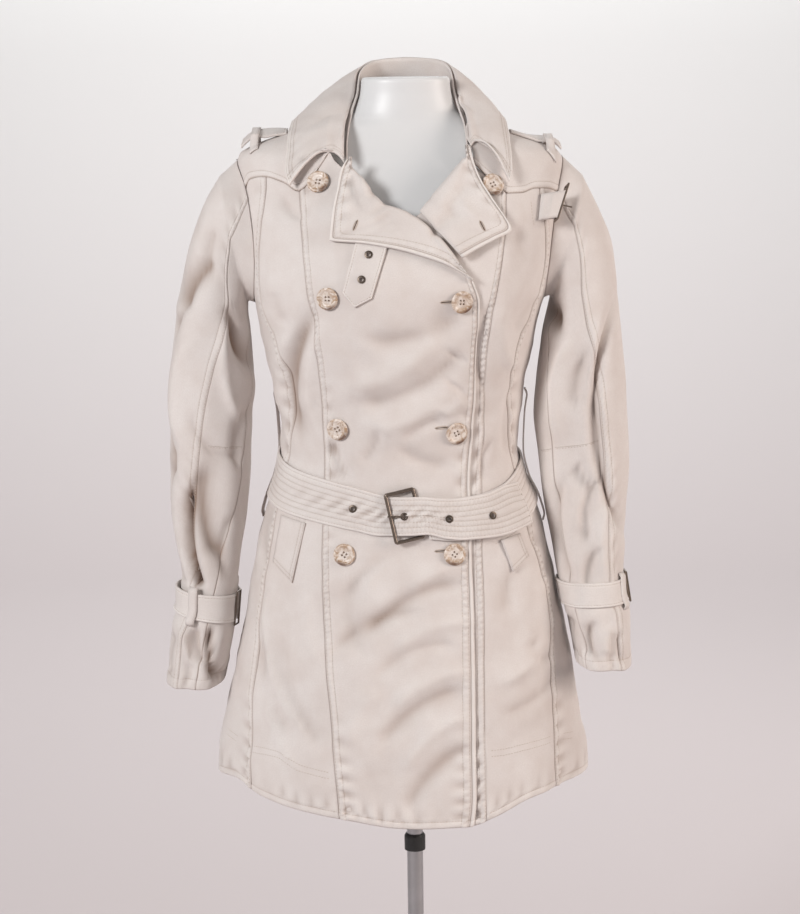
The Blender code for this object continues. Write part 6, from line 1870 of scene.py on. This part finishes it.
def welt_surface(corners):
    def surface(u, v):
        x, z = bilinear(corners, u, v)
        return front_point(x, z, WELT_LIFT + 0 * u)

    return surface


def strap_root(v):
    """The middle between the throat strap's layers where they are sewn on, v of the way down."""
    top, bottom = (front_point(x, z) + np.array((0, -STRAP_STAND, 0)) for x, z in STRAP_ROOT)
    return mixed(top, bottom, v)


def strap_end(v):
    """The middle of the bar in the throat strap's fold, v of the way down."""
    (top_x, top_z), (bottom_x, bottom_z) = STRAP_END
    x = top_x + (bottom_x - top_x) * np.asarray(v)
    root = strap_root(v)
    return points_of(x, root[..., 1] + (x - root[..., 0]) * STRAP_TURN_BACK, top_z + (bottom_z - top_z) * v)


def throat_strap_surface(u, v):
    """The strap's outer face: in front of the bar, round it, and back behind it."""
    along = unit(strap_end(0.0) - strap_end(1.0))
    across = strap_end(0.5) - strap_root(0.5)
    across = unit(across - along * np.sum(across * along))
    out = unit(np.cross(across, along))
    radius, sewn_half = STRAP_FOLD + CLOTH, CLOTH + STRAP_LAYER_GAP
    root, end = strap_root(v), strap_end(v)
    off = np.abs(u - 0.5) - STRAP_BEND
    away = np.clip(off / (0.5 - STRAP_BEND), 0.0, 1.0)
    half = mixed_number(radius, sewn_half, np.maximum(0.0, 2 * away - 1) ** STRAP_CLOSING)
    flat = mixed(end, root, away) + out * (np.sign(0.5 - u) * half)[..., None]
    turn = math.pi * np.clip((u - 0.5) / (2 * STRAP_BEND) + 0.5, 0.0, 1.0)
    bent = end + across * (radius * np.sin(turn))[..., None] + out * (radius * np.cos(turn))[..., None]
    return np.where((off >= 0)[..., None], flat, bent)


ALL_BARE = (BARE, BARE, BARE, BARE)
ALL_STITCHED = (STRAP_EDGE, STRAP_EDGE, STRAP_EDGE, STRAP_EDGE)
# The steps of small sheets.
STRAP_PITCH = (0.0026, 0.0026)
LOOP_PITCH = (0.0030, 0.0020)
CARRIER_PITCH = (0.0030, 0.0030)
BELT_PITCH = (0.0016, 0.0034)
THROAT_PITCH = (0.0012, 0.0020)


def make_epaulettes():
    for side, table in ((-1, EPAULETTE_RIGHT), (1, EPAULETTE_LEFT)):
        label = hand(side)
        sheet_piece("epaulette_" + label, epaulette_surface(table), ALL_STITCHED, CRISP, side, DOUBLE_CLOTH,
                    light_relief(), STRAP_PITCH, "laid", ("yoke_" + label,))
        sheet_piece("epaulette_loop_" + label, epaulette_loop_surface(side, table), ALL_BARE, CRISP, -side,
                    CLOTH, None, LOOP_PITCH, "folded", ("epaulette_" + label,))


def make_cuff_straps():
    for side, start, end, loop_angle in CUFF_STRAPS:
        label = hand(side)
        sheet_piece("cuff_strap_" + label, cuff_strap_surface(side, start, end), ALL_STITCHED, CRISP, side,
                    DOUBLE_CLOTH, light_relief(0.0005), STRAP_PITCH, "folded", ("sleeve_%s_top" % label,))
        sheet_piece("cuff_loop_" + label, cuff_loop_surface(side, loop_angle), ALL_BARE, CRISP, side, CLOTH,
                    None, LOOP_PITCH, "folded", ("cuff_strap_" + label,))


def make_belt():
    sheet_piece("belt", belt_surface, (STRAP_EDGE, STRAP_EDGE, BELT_EDGE, BELT_EDGE), CRISP, 1, BELT_WALL,
                light_relief(), BELT_PITCH, "folded", ("belt_carrier_right", "belt_carrier_left"))


def make_carriers_and_welts():
    for side, angle in CARRIER_ANGLES:
        label = hand(side)
        sheet_piece("belt_carrier_" + label, carrier_surface(side, angle), ALL_BARE, CRISP, -side, CLOTH,
                    None, CARRIER_PITCH, "hung", ("side_" + label,))
        corners = WELT_RIGHT if side < 0 else WELT_LEFT
        sheet_piece("pocket_welt_" + label, welt_surface(corners), (BARE, WELT_EDGE, BARE, WELT_EDGE), TWILL,
                    -1, CLOTH, light_relief(), STRAP_PITCH, "laid", ("side_front_" + label,))


def make_throat_latch():
    sheet_piece("throat_tab", tab_surface, (STRAP_EDGE, STRAP_EDGE, BARE, STRAP_EDGE), CRISP, -1,
                DOUBLE_CLOTH, light_relief(), STRAP_PITCH, "laid", ("front_right",))
    sheet_piece("throat_strap", throat_strap_surface, ALL_BARE, CRISP, -1, CLOTH, None, THROAT_PITCH,
                "folded", ("yoke_left",))


# What is sewn on one sheet alone.

# Lines seen from in front: the sheet, how it is sewn, and its places as x and z.
DRAWN = (
    ("side_right", "double", ((-0.2160, 0.7525), (-0.2010, 0.7480))),
    ("side_front_right", "double", (
        (-0.1860, 0.7450), (-0.1706, 0.7468), (-0.1517, 0.7464), (-0.1290, 0.7351), (-0.1085, 0.7310),
        (-0.0925, 0.7280),
    )),
    ("side_front_left", "double", (
        (0.0850, 0.7490), (0.1016, 0.7490), (0.1223, 0.7515), (0.1437, 0.7522), (0.1620, 0.7530),
    )),
    ("side_left", "double", ((0.1714, 0.7500), (0.1860, 0.7465))),
    ("sleeve_right_front", "seam", ((-0.2300, 1.0840), (-0.2104, 1.0816), (-0.1930, 1.0793))),
    ("sleeve_left_front", "seam", ((0.1650, 1.0769), (0.1883, 1.0797), (0.2140, 1.0842))),
    ("sleeve_left_under", "seam", ((0.1506, 1.0700), (0.1610, 1.0745))),
    ("side_front_right", "double", (
        (-0.1165, 1.0230), (-0.1190, 1.0083), (-0.1233, 0.9860), (-0.1285, 0.9604), (-0.1358, 0.9413),
        (-0.1574, 0.9548),
    )),
    ("side_front_left", "row", ((0.0930, 0.9765), (0.1089, 0.9832), (0.1215, 0.9889))),
    ("side_front_left", "row", ((0.1370, 1.3600), (0.1385, 1.3400), (0.1410, 1.3290))),
    ("side_left", "row", ((0.1500, 1.3330), (0.1520, 1.3180))),
)
# Buttonholes in the same way: the sheet, the middle's x and z, the half length and the lean in degrees.
BUTTONHOLES = (
    ("front_right", 0.0412, 1.2553, 0.0066, 2.0),
    ("front_right", 0.0345, 1.1128, 0.0066, 4.0),
    ("front_right", 0.0325, 0.9745, 0.0066, 2.0),
    ("lapel_right", -0.0570, 1.3390, 0.0056, 66.0),
    ("lapel_left", 0.0815, 1.3362, 0.0056, -63.0),
)
# The second row's distance, a seam's row of stitches' distance, and the radius of its cord of painted shade.
DOUBLE_SPACING = 0.0068
SEAM_ROW = 0.0016
SEAM_RADIUS = 0.0003
LINE_STEP = 0.0020
# A buttonhole: the radius of its slit, a dark cord of painted shade in the opening, how far its rim lies past
# the slit's end and from its side, the rim's radius, and in how many steps it goes round.
SLIT_RADIUS = 0.00055
RIM_PAST = 0.0008
RIM_HALF_WIDTH = 0.0015
RIM_RADIUS = 0.0006
RIM_STEPS = 24


def grid_faces(rows, columns):
    return shell_faces(rows, columns)[: (rows - 1) * (columns - 1)]


def laid_on(name, places):
    """A line over a sheet as it is seen from in front: its points and its normals."""
    sheet = SHEETS[name]
    outer = sheet["outer"]
    if "tree" not in sheet:
        faces = grid_faces(*outer.shape[:2])
        sheet["tree"] = BVHTree.FromPolygons(outer.reshape(-1, 3).tolist(), faces.tolist())
    flat = np.array(places, float)
    lengths = np.concatenate(([0.0], np.cumsum(length_of(np.diff(flat, axis=0))[:, 0])))
    stops = np.linspace(0.0, lengths[-1], max(2, int(lengths[-1] / LINE_STEP)))
    points, normals = [], []
    for stop in stops:
        x, z = (float(np.interp(stop, lengths, flat[:, k])) for k in (0, 1))
        place, normal = sheet["tree"].ray_cast(Vector((x, -1.0, z)), Vector((0.0, 1.0, 0.0)))[:2]
        if place is not None:
            points.append(tuple(place))
            normals.append(tuple(normal if normal.y < 0 else -normal))
    return np.array(points), np.array(normals)


def moved_down(places, distance):
    """The same line, this far to the right of its own run."""
    flat = np.array(places, float)
    run = unit(np.gradient(flat, axis=0))
    return flat + np.stack((run[:, 1], -run[:, 0]), axis=-1) * distance


def tube_faces(count, sides, closed=False):
    """The faces of a tube of so many rings, with its two ends unless it closes on itself."""
    faces = []
    for ring in range(count if closed else count - 1):
        here, after = ring * sides, (ring + 1) % count * sides
        for k in range(sides):
            n = (k + 1) % sides
            faces.append((here + k, here + n, after + n, after + k))
    if not closed:
        faces.append(tuple(range(sides - 1, -1, -1)))
        faces.append(tuple(range((count - 1) * sides, count * sides)))
    return faces


def cord_mesh(points, normals, radius, closed=False, sides=6):
    """A thin cord along points, half sunk in the cloth."""
    if closed:
        along = unit(np.roll(points, -1, axis=0) - np.roll(points, 1, axis=0))
    else:
        along = unit(np.gradient(points, axis=0))
    across = unit(np.cross(along, normals))
    up = np.cross(across, along)
    turns = 2 * math.pi * np.arange(sides) / sides
    rings = points[:, None] + radius * (
        across[:, None] * np.cos(turns)[None, :, None] + up[:, None] * np.sin(turns)[None, :, None]
    )
    return rings.reshape(-1, 3), tube_faces(len(points), sides, closed)


def add_cord(name, vertices_and_faces, look):
    made = add_object(name, *vertices_and_faces, [look])
    return made


def draw_lines():
    """Sews the seams and rows that cross a sheet."""
    for k, (name, kind, places) in enumerate(DRAWN):
        rows = [places]
        if kind == "double":
            rows.append(moved_down(places, DOUBLE_SPACING))
        if kind == "seam":
            rows = [moved_down(places, SEAM_ROW)]
            # A seam's line is a thin dark cord: painted shade in the seam's groove.
            seam = cord_mesh(*laid_on(name, places), SEAM_RADIUS)
            SHEETS[name]["extras"].append(add_cord("%s_seam_%d" % (name, k), seam, SEAM_SHADOW))
        lines = [laid_on(name, row) for row in rows]
        SHEETS[name]["lines"].extend(line for line in lines if len(line[0]) > 3)


def leaning(x, z, lean, along, across):
    """The place this far along and across a line through x and z that leans by so many degrees."""
    cos, sin = math.cos(math.radians(lean)), math.sin(math.radians(lean))
    return x + along * cos - across * sin, z + along * sin + across * cos


def make_buttonholes():
    turns = [2 * math.pi * step / RIM_STEPS for step in (*range(RIM_STEPS), 0)]
    for number, (name, x, z, half, lean) in enumerate(BUTTONHOLES, start=1):
        ends = [leaning(x, z, lean, end * half, 0.0) for end in (-1, 1)]
        # The slit is a dark cord: painted shade in the opening.
        slit = cord_mesh(*laid_on(name, ends), SLIT_RADIUS)
        around = [
            leaning(x, z, lean, (half + RIM_PAST) * math.cos(turn), RIM_HALF_WIDTH * math.sin(turn))
            for turn in turns
        ]
        points, normals = laid_on(name, around)
        rim = cord_mesh(points[:-1], normals[:-1], RIM_RADIUS, closed=True)
        SHEETS[name]["extras"] += [
            add_cord("buttonhole_%d_slit" % number, slit, SLIT_SHADE),
            add_cord("buttonhole_%d_rim" % number, rim, THREAD),
        ]


# A button's holes: their distance from its middle, their radius, the width of their edge and their depth.
BUTTON_PIT_REACH = 0.0027
BUTTON_PIT_RADIUS = 0.0010
PIT_EDGE = 0.0005
PIT_EDGE_OUT = 0.0003
PIT_DEPTH = 0.0014
# Its points round and from the top's middle to the rim of its back.
BUTTON_COLUMNS = 72
BUTTON_ROWS = 52
# Its tones: how light its middle is and how far that reaches; the rim's place and width as shares of its
# radius, how much shade is painted on the rim at a spot low on the button, how much lighter it is elsewhere,
# and that spot's half width in radians; how much shade is painted in its holes.
MIDDLE_LIGHT = 0.60
MIDDLE_REACH = 0.0066
RIM_PLACE = 0.86
RIM_SHARE = 0.17
RIM_SHADE_DARK = 1.05
RIM_LIGHT = 0.10
SHADE_SPOT_WIDTH = 0.75
PIT_SHADE = 1.4
# From one button to the next: how far it is turned in radians, and where the spot of painted shade on its rim
# lies, low on the button, as the middle and the swing in degrees and the swing's step in radians.
BUTTON_TURN = 0.5
SHADE_SPOT_MIDDLE = -75.0
SHADE_SPOT_SWING = 30.0
SHADE_SPOT_STEP = 2.3
# Its thread: how far out it runs in its holes' distance, its height as a share of the button's, and its
# radius.
THREAD_REACH = 1.15
THREAD_HEIGHT = 0.64
THREAD_RADIUS = 0.0003
# A button's outline, from the middle of its top round to its back: radius and height, as shares.
BUTTON_OUTLINE = (
    (0.03, 0.62), (0.55, 0.62), (0.64, 0.70), (0.74, 0.92), (0.82, 1.00), (0.90, 0.96), (0.97, 0.78),
    (1.00, 0.55),
    (0.97, 0.30), (0.88, 0.08), (0.80, 0.00), (0.03, 0.00),
)


def button_mesh(turn, spot):
    """A horn button with its holes, with painted shade in them and low on its rim: its points, faces and how
    dark each point is.
    """
    outline = np.array(BUTTON_OUTLINE) * (BUTTON_RADIUS, BUTTON_THICKNESS)
    lengths = running_lengths(outline, 0)
    stops = np.concatenate((np.linspace(0.0, lengths[-2], BUTTON_ROWS), lengths[-1:]))
    radius, height = (np.interp(stops, lengths, column)[:, None] for column in outline.T)
    angles = (2 * math.pi * np.arange(BUTTON_COLUMNS) / BUTTON_COLUMNS)[None]
    x, y = radius * np.cos(angles), radius * np.sin(angles)
    pits = turn + math.pi / 4 + np.arange(4)[:, None, None] * math.pi / 2
    nearest = np.hypot(x - BUTTON_PIT_REACH * np.cos(pits), y - BUTTON_PIT_REACH * np.sin(pits)).min(axis=0)
    on_top = height > 0.5 * BUTTON_THICKNESS
    sunk = blend_in((BUTTON_PIT_RADIUS + PIT_EDGE_OUT - nearest) / PIT_EDGE) * on_top
    points = points_of(x, y, height - PIT_DEPTH * sunk)
    rim = np.exp(-(((radius / BUTTON_RADIUS - RIM_PLACE) / RIM_SHARE) ** 2))
    # Painted shade at one spot low on the rim and in the holes; the rest of the rim a little lighter.
    off_spot = (angles - spot + math.pi) % (2 * math.pi) - math.pi
    rim_shade = RIM_SHADE_DARK * np.exp(-((off_spot / SHADE_SPOT_WIDTH) ** 2)) - RIM_LIGHT
    shade = MIDDLE_LIGHT * np.exp(-((radius / MIDDLE_REACH) ** 4)) - rim * rim_shade - PIT_SHADE * sunk
    return points.reshape(-1, 3), button_faces(len(stops)), shade


def button_faces(rows):
    number = np.arange(rows * BUTTON_COLUMNS).reshape(rows, BUTTON_COLUMNS)
    after = np.roll(number, -1, axis=1)
    sides = np.stack((number[:-1], number[1:], after[1:], after[:-1]), axis=-1).reshape(-1, 4).tolist()
    return sides + [number[0].tolist(), number[-1, ::-1].tolist()]


def front_frame(x, z, lift):
    """A place on the coat's front, and the level way across, the way up and the way out from there."""
    place = front_point(x, z, lift)
    normal = unit(front_point(x, z, lift + STEP_OUT) - place)
    across = unit(np.cross((0.0, 0.0, 1.0), normal))
    return place, np.stack((across, np.cross(normal, across), normal))


def thread_corner(turn, side, end):
    """Where a button's thread goes down into a hole, in the button's own frame."""
    corner = turn + math.pi / 2 - side * end * math.pi / 4 + (math.pi if side < 0 else 0)
    reach = BUTTON_PIT_REACH * THREAD_REACH
    return np.array((reach * math.cos(corner), reach * math.sin(corner), THREAD_HEIGHT * BUTTON_THICKNESS))


def make_buttons():
    starts, ends, ups = [], [], []
    for k, (x, z, lift) in enumerate(BUTTONS):
        place, axes = front_frame(x, z, lift)
        turn = BUTTON_TURN * k
        spot = math.radians(SHADE_SPOT_MIDDLE + SHADE_SPOT_SWING * math.sin(SHADE_SPOT_STEP * k)) % (2 * math.pi)
        points, faces, shade = button_mesh(turn, spot)
        made = add_object("horn_button_%d" % (k + 1), points @ axes + place, faces, [HORN])
        set_shade(made.data, shade)
        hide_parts("button_%d" % (k + 1))
        for side in (-1, 1):
            starts.append(thread_corner(turn, side, -1) @ axes + place)
            ends.append(thread_corner(turn, side, 1) @ axes + place)
            ups.append(axes[2])
    vertices, faces = stitch_mesh(np.array(starts), np.array(ends), np.array(ups), THREAD_RADIUS)
    add_object("button_threads", vertices, faces, [THREAD])


def hole_cutter(centre, normal):
    """A short rod through the cloth at this place."""
    bm = bmesh.new()
    bmesh.ops.create_cone(
        bm, cap_ends=True, segments=HOLE_SEGMENTS, radius1=EYELET_HOLE, radius2=EYELET_HOLE, depth=HOLE_DEPTH
    )
    mesh = bpy.data.meshes.new("hole")
    bm.to_mesh(mesh)
    bm.free()
    cutter = bpy.data.objects.new("hole", mesh)
    cutter.rotation_mode = "QUATERNION"
    cutter.rotation_quaternion = normal.to_track_quat("Z", "Y")
    cutter.location = centre
    bpy.context.scene.collection.objects.link(cutter)
    return cutter


def cut_holes(sheet_name, start):
    """Cuts the holes of the eyelets whose names start so through their cloth."""
    sheet = SHEETS[sheet_name]
    piece = sheet["piece"]
    points, normals = sheet["outer"].reshape(-1, 3), sheet["normals"].reshape(-1, 3)
    for name in [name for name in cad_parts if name.startswith(start)]:
        centre = np.array(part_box(name)).mean(axis=0)
        nearest = np.argmin(np.linalg.norm(points - centre, axis=1))
        normal = Vector(normals[nearest])
        along = float((points[nearest] - centre) @ np.array(normal))
        cutter = hole_cutter(Vector(centre) + normal * (along - HOLE_INSET), normal)
        cut = piece.modifiers.new("hole", "BOOLEAN")
        cut.operation = "DIFFERENCE"
        cut.solver = "EXACT"
        cut.object = cutter
        ready = piece.evaluated_get(bpy.context.evaluated_depsgraph_get())
        mesh = bpy.data.meshes.new_from_object(ready)
        piece.modifiers.clear()
        piece.data = mesh
        bpy.data.objects.remove(cutter)


# Hard pieces.


# The form's rings: lowest and highest level and how many, for the body and for the shoulders and neck; its
# points round. Its top's edge is rounded in steps of so many degrees, by this height while it draws in by this
# share, and its top's inner rings, as shares of the last one, rise to this height.
BODY_LEVELS = (0.84, 1.40, 57)
NECK_RINGS = (1.405, FORM[-1][0] - 0.0015, 60)
FORM_COLUMNS = 120
TOP_STEP = 15
TOP_ROUNDING = 0.0055
TOP_DRAWN_IN = 0.06
TOP_INNER = (0.6, 0.3)
TOP_HEIGHT = 0.0057


def make_form():
    """The limbless form, smooth up to the rounded top of its neck."""
    levels = np.concatenate((np.linspace(*BODY_LEVELS), np.linspace(*NECK_RINGS)))
    angles = np.arange(FORM_COLUMNS) * 360 / FORM_COLUMNS
    rings = [ring_point(FORM, np.full(FORM_COLUMNS, z), angles) for z in levels]
    middle = rings[-1].mean(axis=0)
    highest = rings[-1] - middle
    for angle in range(TOP_STEP, 91, TOP_STEP):
        shrink = 1 - TOP_DRAWN_IN + TOP_DRAWN_IN * cosine(angle)
        rings.append(middle + highest * shrink + np.array((0, 0, TOP_ROUNDING * sine(angle))))
    rounded = rings[-1] - middle
    for share in TOP_INNER:
        rings.append(middle + rounded * share + np.array((0, 0, TOP_HEIGHT - TOP_ROUNDING * share)))
    made = add_object("form_smooth", np.concatenate(rings), tube_faces(len(rings), FORM_COLUMNS), [GLOSS])
    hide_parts("form_torso")
    return made


def corner_shares(reach):
    """How far along a side the points of its path lie, where a corner reaches this share along it."""
    start = reach * BUCKLE_CORNER_START
    return (start, *np.linspace(reach, 1 - reach, BUCKLE_SIDE_POINTS), 1 - start)


def make_belt_buckle():
    """The belt's frame, its corners rounded."""
    wide, high = BUCKLE_HALVES
    near, far = BUCKLE_LIFTS
    corners = np.array(((-wide, high, near), (-wide, -high, near), (wide, -high, far), (wide, high, far)))
    path = []
    for corner, after in zip(corners, np.roll(corners, -1, axis=0)):
        reach = BUCKLE_CORNER / np.linalg.norm((after - corner)[:2])
        path += [corner * (1 - share) + after * share for share in corner_shares(reach)]
    across, up, lift = np.array(path).T
    x, z = leaning(*BUCKLE_MIDDLE, BUCKLE_LEAN, across, up)
    points = front_point(x, z, lift)
    normals = unit(front_point(x, z, lift + STEP_OUT) - points)
    vertices, faces = cord_mesh(points, normals, BUCKLE_WIRE, closed=True, sides=BUCKLE_SIDES)
    made = add_object("buckle_frame", vertices, faces, [BRONZE])
    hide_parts("belt_buckle")


def dress_nodes():
    """Gives the carried-over solids their finishes."""
    looks = {"bronze": BRONZE, "eyelet": EYELET, "steel": STEEL, "dark": DARK}
    kinds = {
        "belt_eyelet": "eyelet", "belt_buckle": "bronze", "belt_prong": "bronze", "cuff_buckle": "bronze",
        "throat_eyelet": "eyelet", "throat_buckle": "bronze", "throat_prong": "bronze", "stand_base": "steel",
        "stand_pole": "steel", "stand_collar": "dark",
    }
    for name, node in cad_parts.items():
        for start, kind in kinds.items():
            if name.startswith(start):
                for slot in node.material_slots:
                    slot.material = looks[kind]


# The studio.

# The camera: what it looks at, from how far, how high and how much turned in degrees; its lens and sensor in
# millimetres, and where it starts to see.
TARGET = Vector((-0.01176, 0.0, 1.06))
DISTANCE = 2.8
ELEVATION = 10.0
ROLL = 0.7615
LENS = 95.03
SENSOR_WIDTH = 36
CLIP_START = 0.01
# The light from all round: its colour and strength.
WORLD_COLOUR = (0.96, 0.925, 0.91, 1.0)
WORLD_STRENGTH = 0.32
# Name, place, what it is turned to, watts, size and colour.
LIGHTS = (
    ("key", (-2.3, -2.7, 2.5), TARGET, 98.0, 0.9, (1.0, 1.0, 1.0)),
    ("fill", (3.1, -1.1, 2.0), TARGET, 70.0, 1.6, (1.0, 0.90, 0.83)),
    ("back", (0.8, 2.2, 2.4), TARGET, 14.0, 2.0, (1.0, 1.0, 1.0)),
    ("wall", (0.0, 2.8, 4.4), (0.0, 5.6, 2.0), 140.0, 2.5, (0.97, 1.0, 1.0)),
)


def make_studio():
    scene = bpy.context.scene
    lens = bpy.data.cameras.new("camera")
    lens.lens = LENS
    lens.sensor_width = SENSOR_WIDTH
    lens.clip_start = CLIP_START
    camera = bpy.data.objects.new("camera", lens)
    scene.collection.objects.link(camera)
    lift = math.radians(ELEVATION)
    back = Vector((0.0, -math.cos(lift), math.sin(lift)))
    camera.location = TARGET + back * DISTANCE
    camera.rotation_mode = "QUATERNION"
    camera.rotation_quaternion = (-back).to_track_quat("-Z", "Y") @ Quaternion((0, 0, 1), math.radians(-ROLL))
    scene.camera = camera
    for name, place, aim, energy, size, colour in LIGHTS:
        light = bpy.data.lights.new(name, "AREA")
        light.energy = energy
        light.size = size
        light.color = colour
        made = bpy.data.objects.new(name, light)
        made.location = place
        made.rotation_mode = "QUATERNION"
        made.rotation_quaternion = (Vector(aim) - Vector(place)).to_track_quat("-Z", "Y")
        scene.collection.objects.link(made)
    world = bpy.data.worlds.new("studio")
    world.use_nodes = True
    background = world.node_tree.nodes["Background"].inputs
    background["Color"].default_value = WORLD_COLOUR
    background["Strength"].default_value = WORLD_STRENGTH
    scene.world = world
    scene.view_settings.view_transform = "Standard"


# The paper: its two tones, the colour of the shade painted low down, and how fast it fades above the floor per
# metre.
PAPER_PALE = (0.80, 0.80, 0.80)
PAPER_DEEP = (0.79, 0.79, 0.79)
PAPER_SHADE_LOW = (0.60, 0.545, 0.55)
PAPER_RATE = 0.6
# The floor: where it starts towards the camera, where its sweep starts behind and the sweep's radius, how high
# the wall goes, its half width, and the sweep's step in degrees.
FLOOR_FRONT = -6.0
SWEEP_START = 4.0
SWEEP_RADIUS = 1.5
WALL_TOP = 7.0
FLOOR_HALF_WIDTH = 8.0
SWEEP_STEP = 5


def paper_material():
    """Pale paper with painted shade, darker towards the bottom."""
    made = worn_material("pale paper", PAPER_PALE, PAPER_DEEP, 0.9, 0.0, 2.0, 0.1)
    tree = made.node_tree
    shader = tree.nodes["Principled BSDF"]
    clouded = shader.inputs["Base Color"].links[0].from_socket
    place = tree.nodes.new("ShaderNodeTexCoord")
    parts = tree.nodes.new("ShaderNodeSeparateXYZ")
    tree.links.new(place.outputs["Object"], parts.inputs[0])
    tone = mix_colours(tree, clamped(tree, parts.outputs["Z"], PAPER_RATE), PAPER_SHADE_LOW, clouded)
    tree.links.new(tone, shader.inputs["Base Color"])
    return made


def make_floor():
    """A pale floor that sweeps up behind."""
    profile = [(FLOOR_FRONT, 0.0), (SWEEP_START, 0.0)]
    for angle in range(SWEEP_STEP, 91, SWEEP_STEP):
        profile.append((SWEEP_START + SWEEP_RADIUS * sine(angle), SWEEP_RADIUS * (1 - cosine(angle))))
    profile.append((SWEEP_START + SWEEP_RADIUS, WALL_TOP))
    vertices = [(x, y, z) for x in (-FLOOR_HALF_WIDTH, FLOOR_HALF_WIDTH) for y, z in profile]
    count = len(profile)
    faces = [(k, k + 1, count + k + 1, count + k) for k in range(count - 1)]
    look = paper_material()
    mesh = bpy.data.meshes.new("floor")
    mesh.from_pydata(vertices, [], faces)
    mesh.shade_smooth()
    mesh.materials.append(look)
    floor = bpy.data.objects.new("floor", mesh)
    bpy.context.scene.collection.objects.link(floor)


make_studio()
make_floor()
make_body()
make_neck()
for side in (-1, 1):
    make_sleeve(side)
make_epaulettes()
make_cuff_straps()
make_belt()
make_carriers_and_welts()
make_throat_latch()
make_buttons()
make_buttonholes()
draw_lines()
sew_sheets(THREAD)
cut_holes("belt", "belt_eyelet")
cut_holes("throat_tab", "throat_eyelet")
make_form()
make_belt_buckle()
dress_nodes()
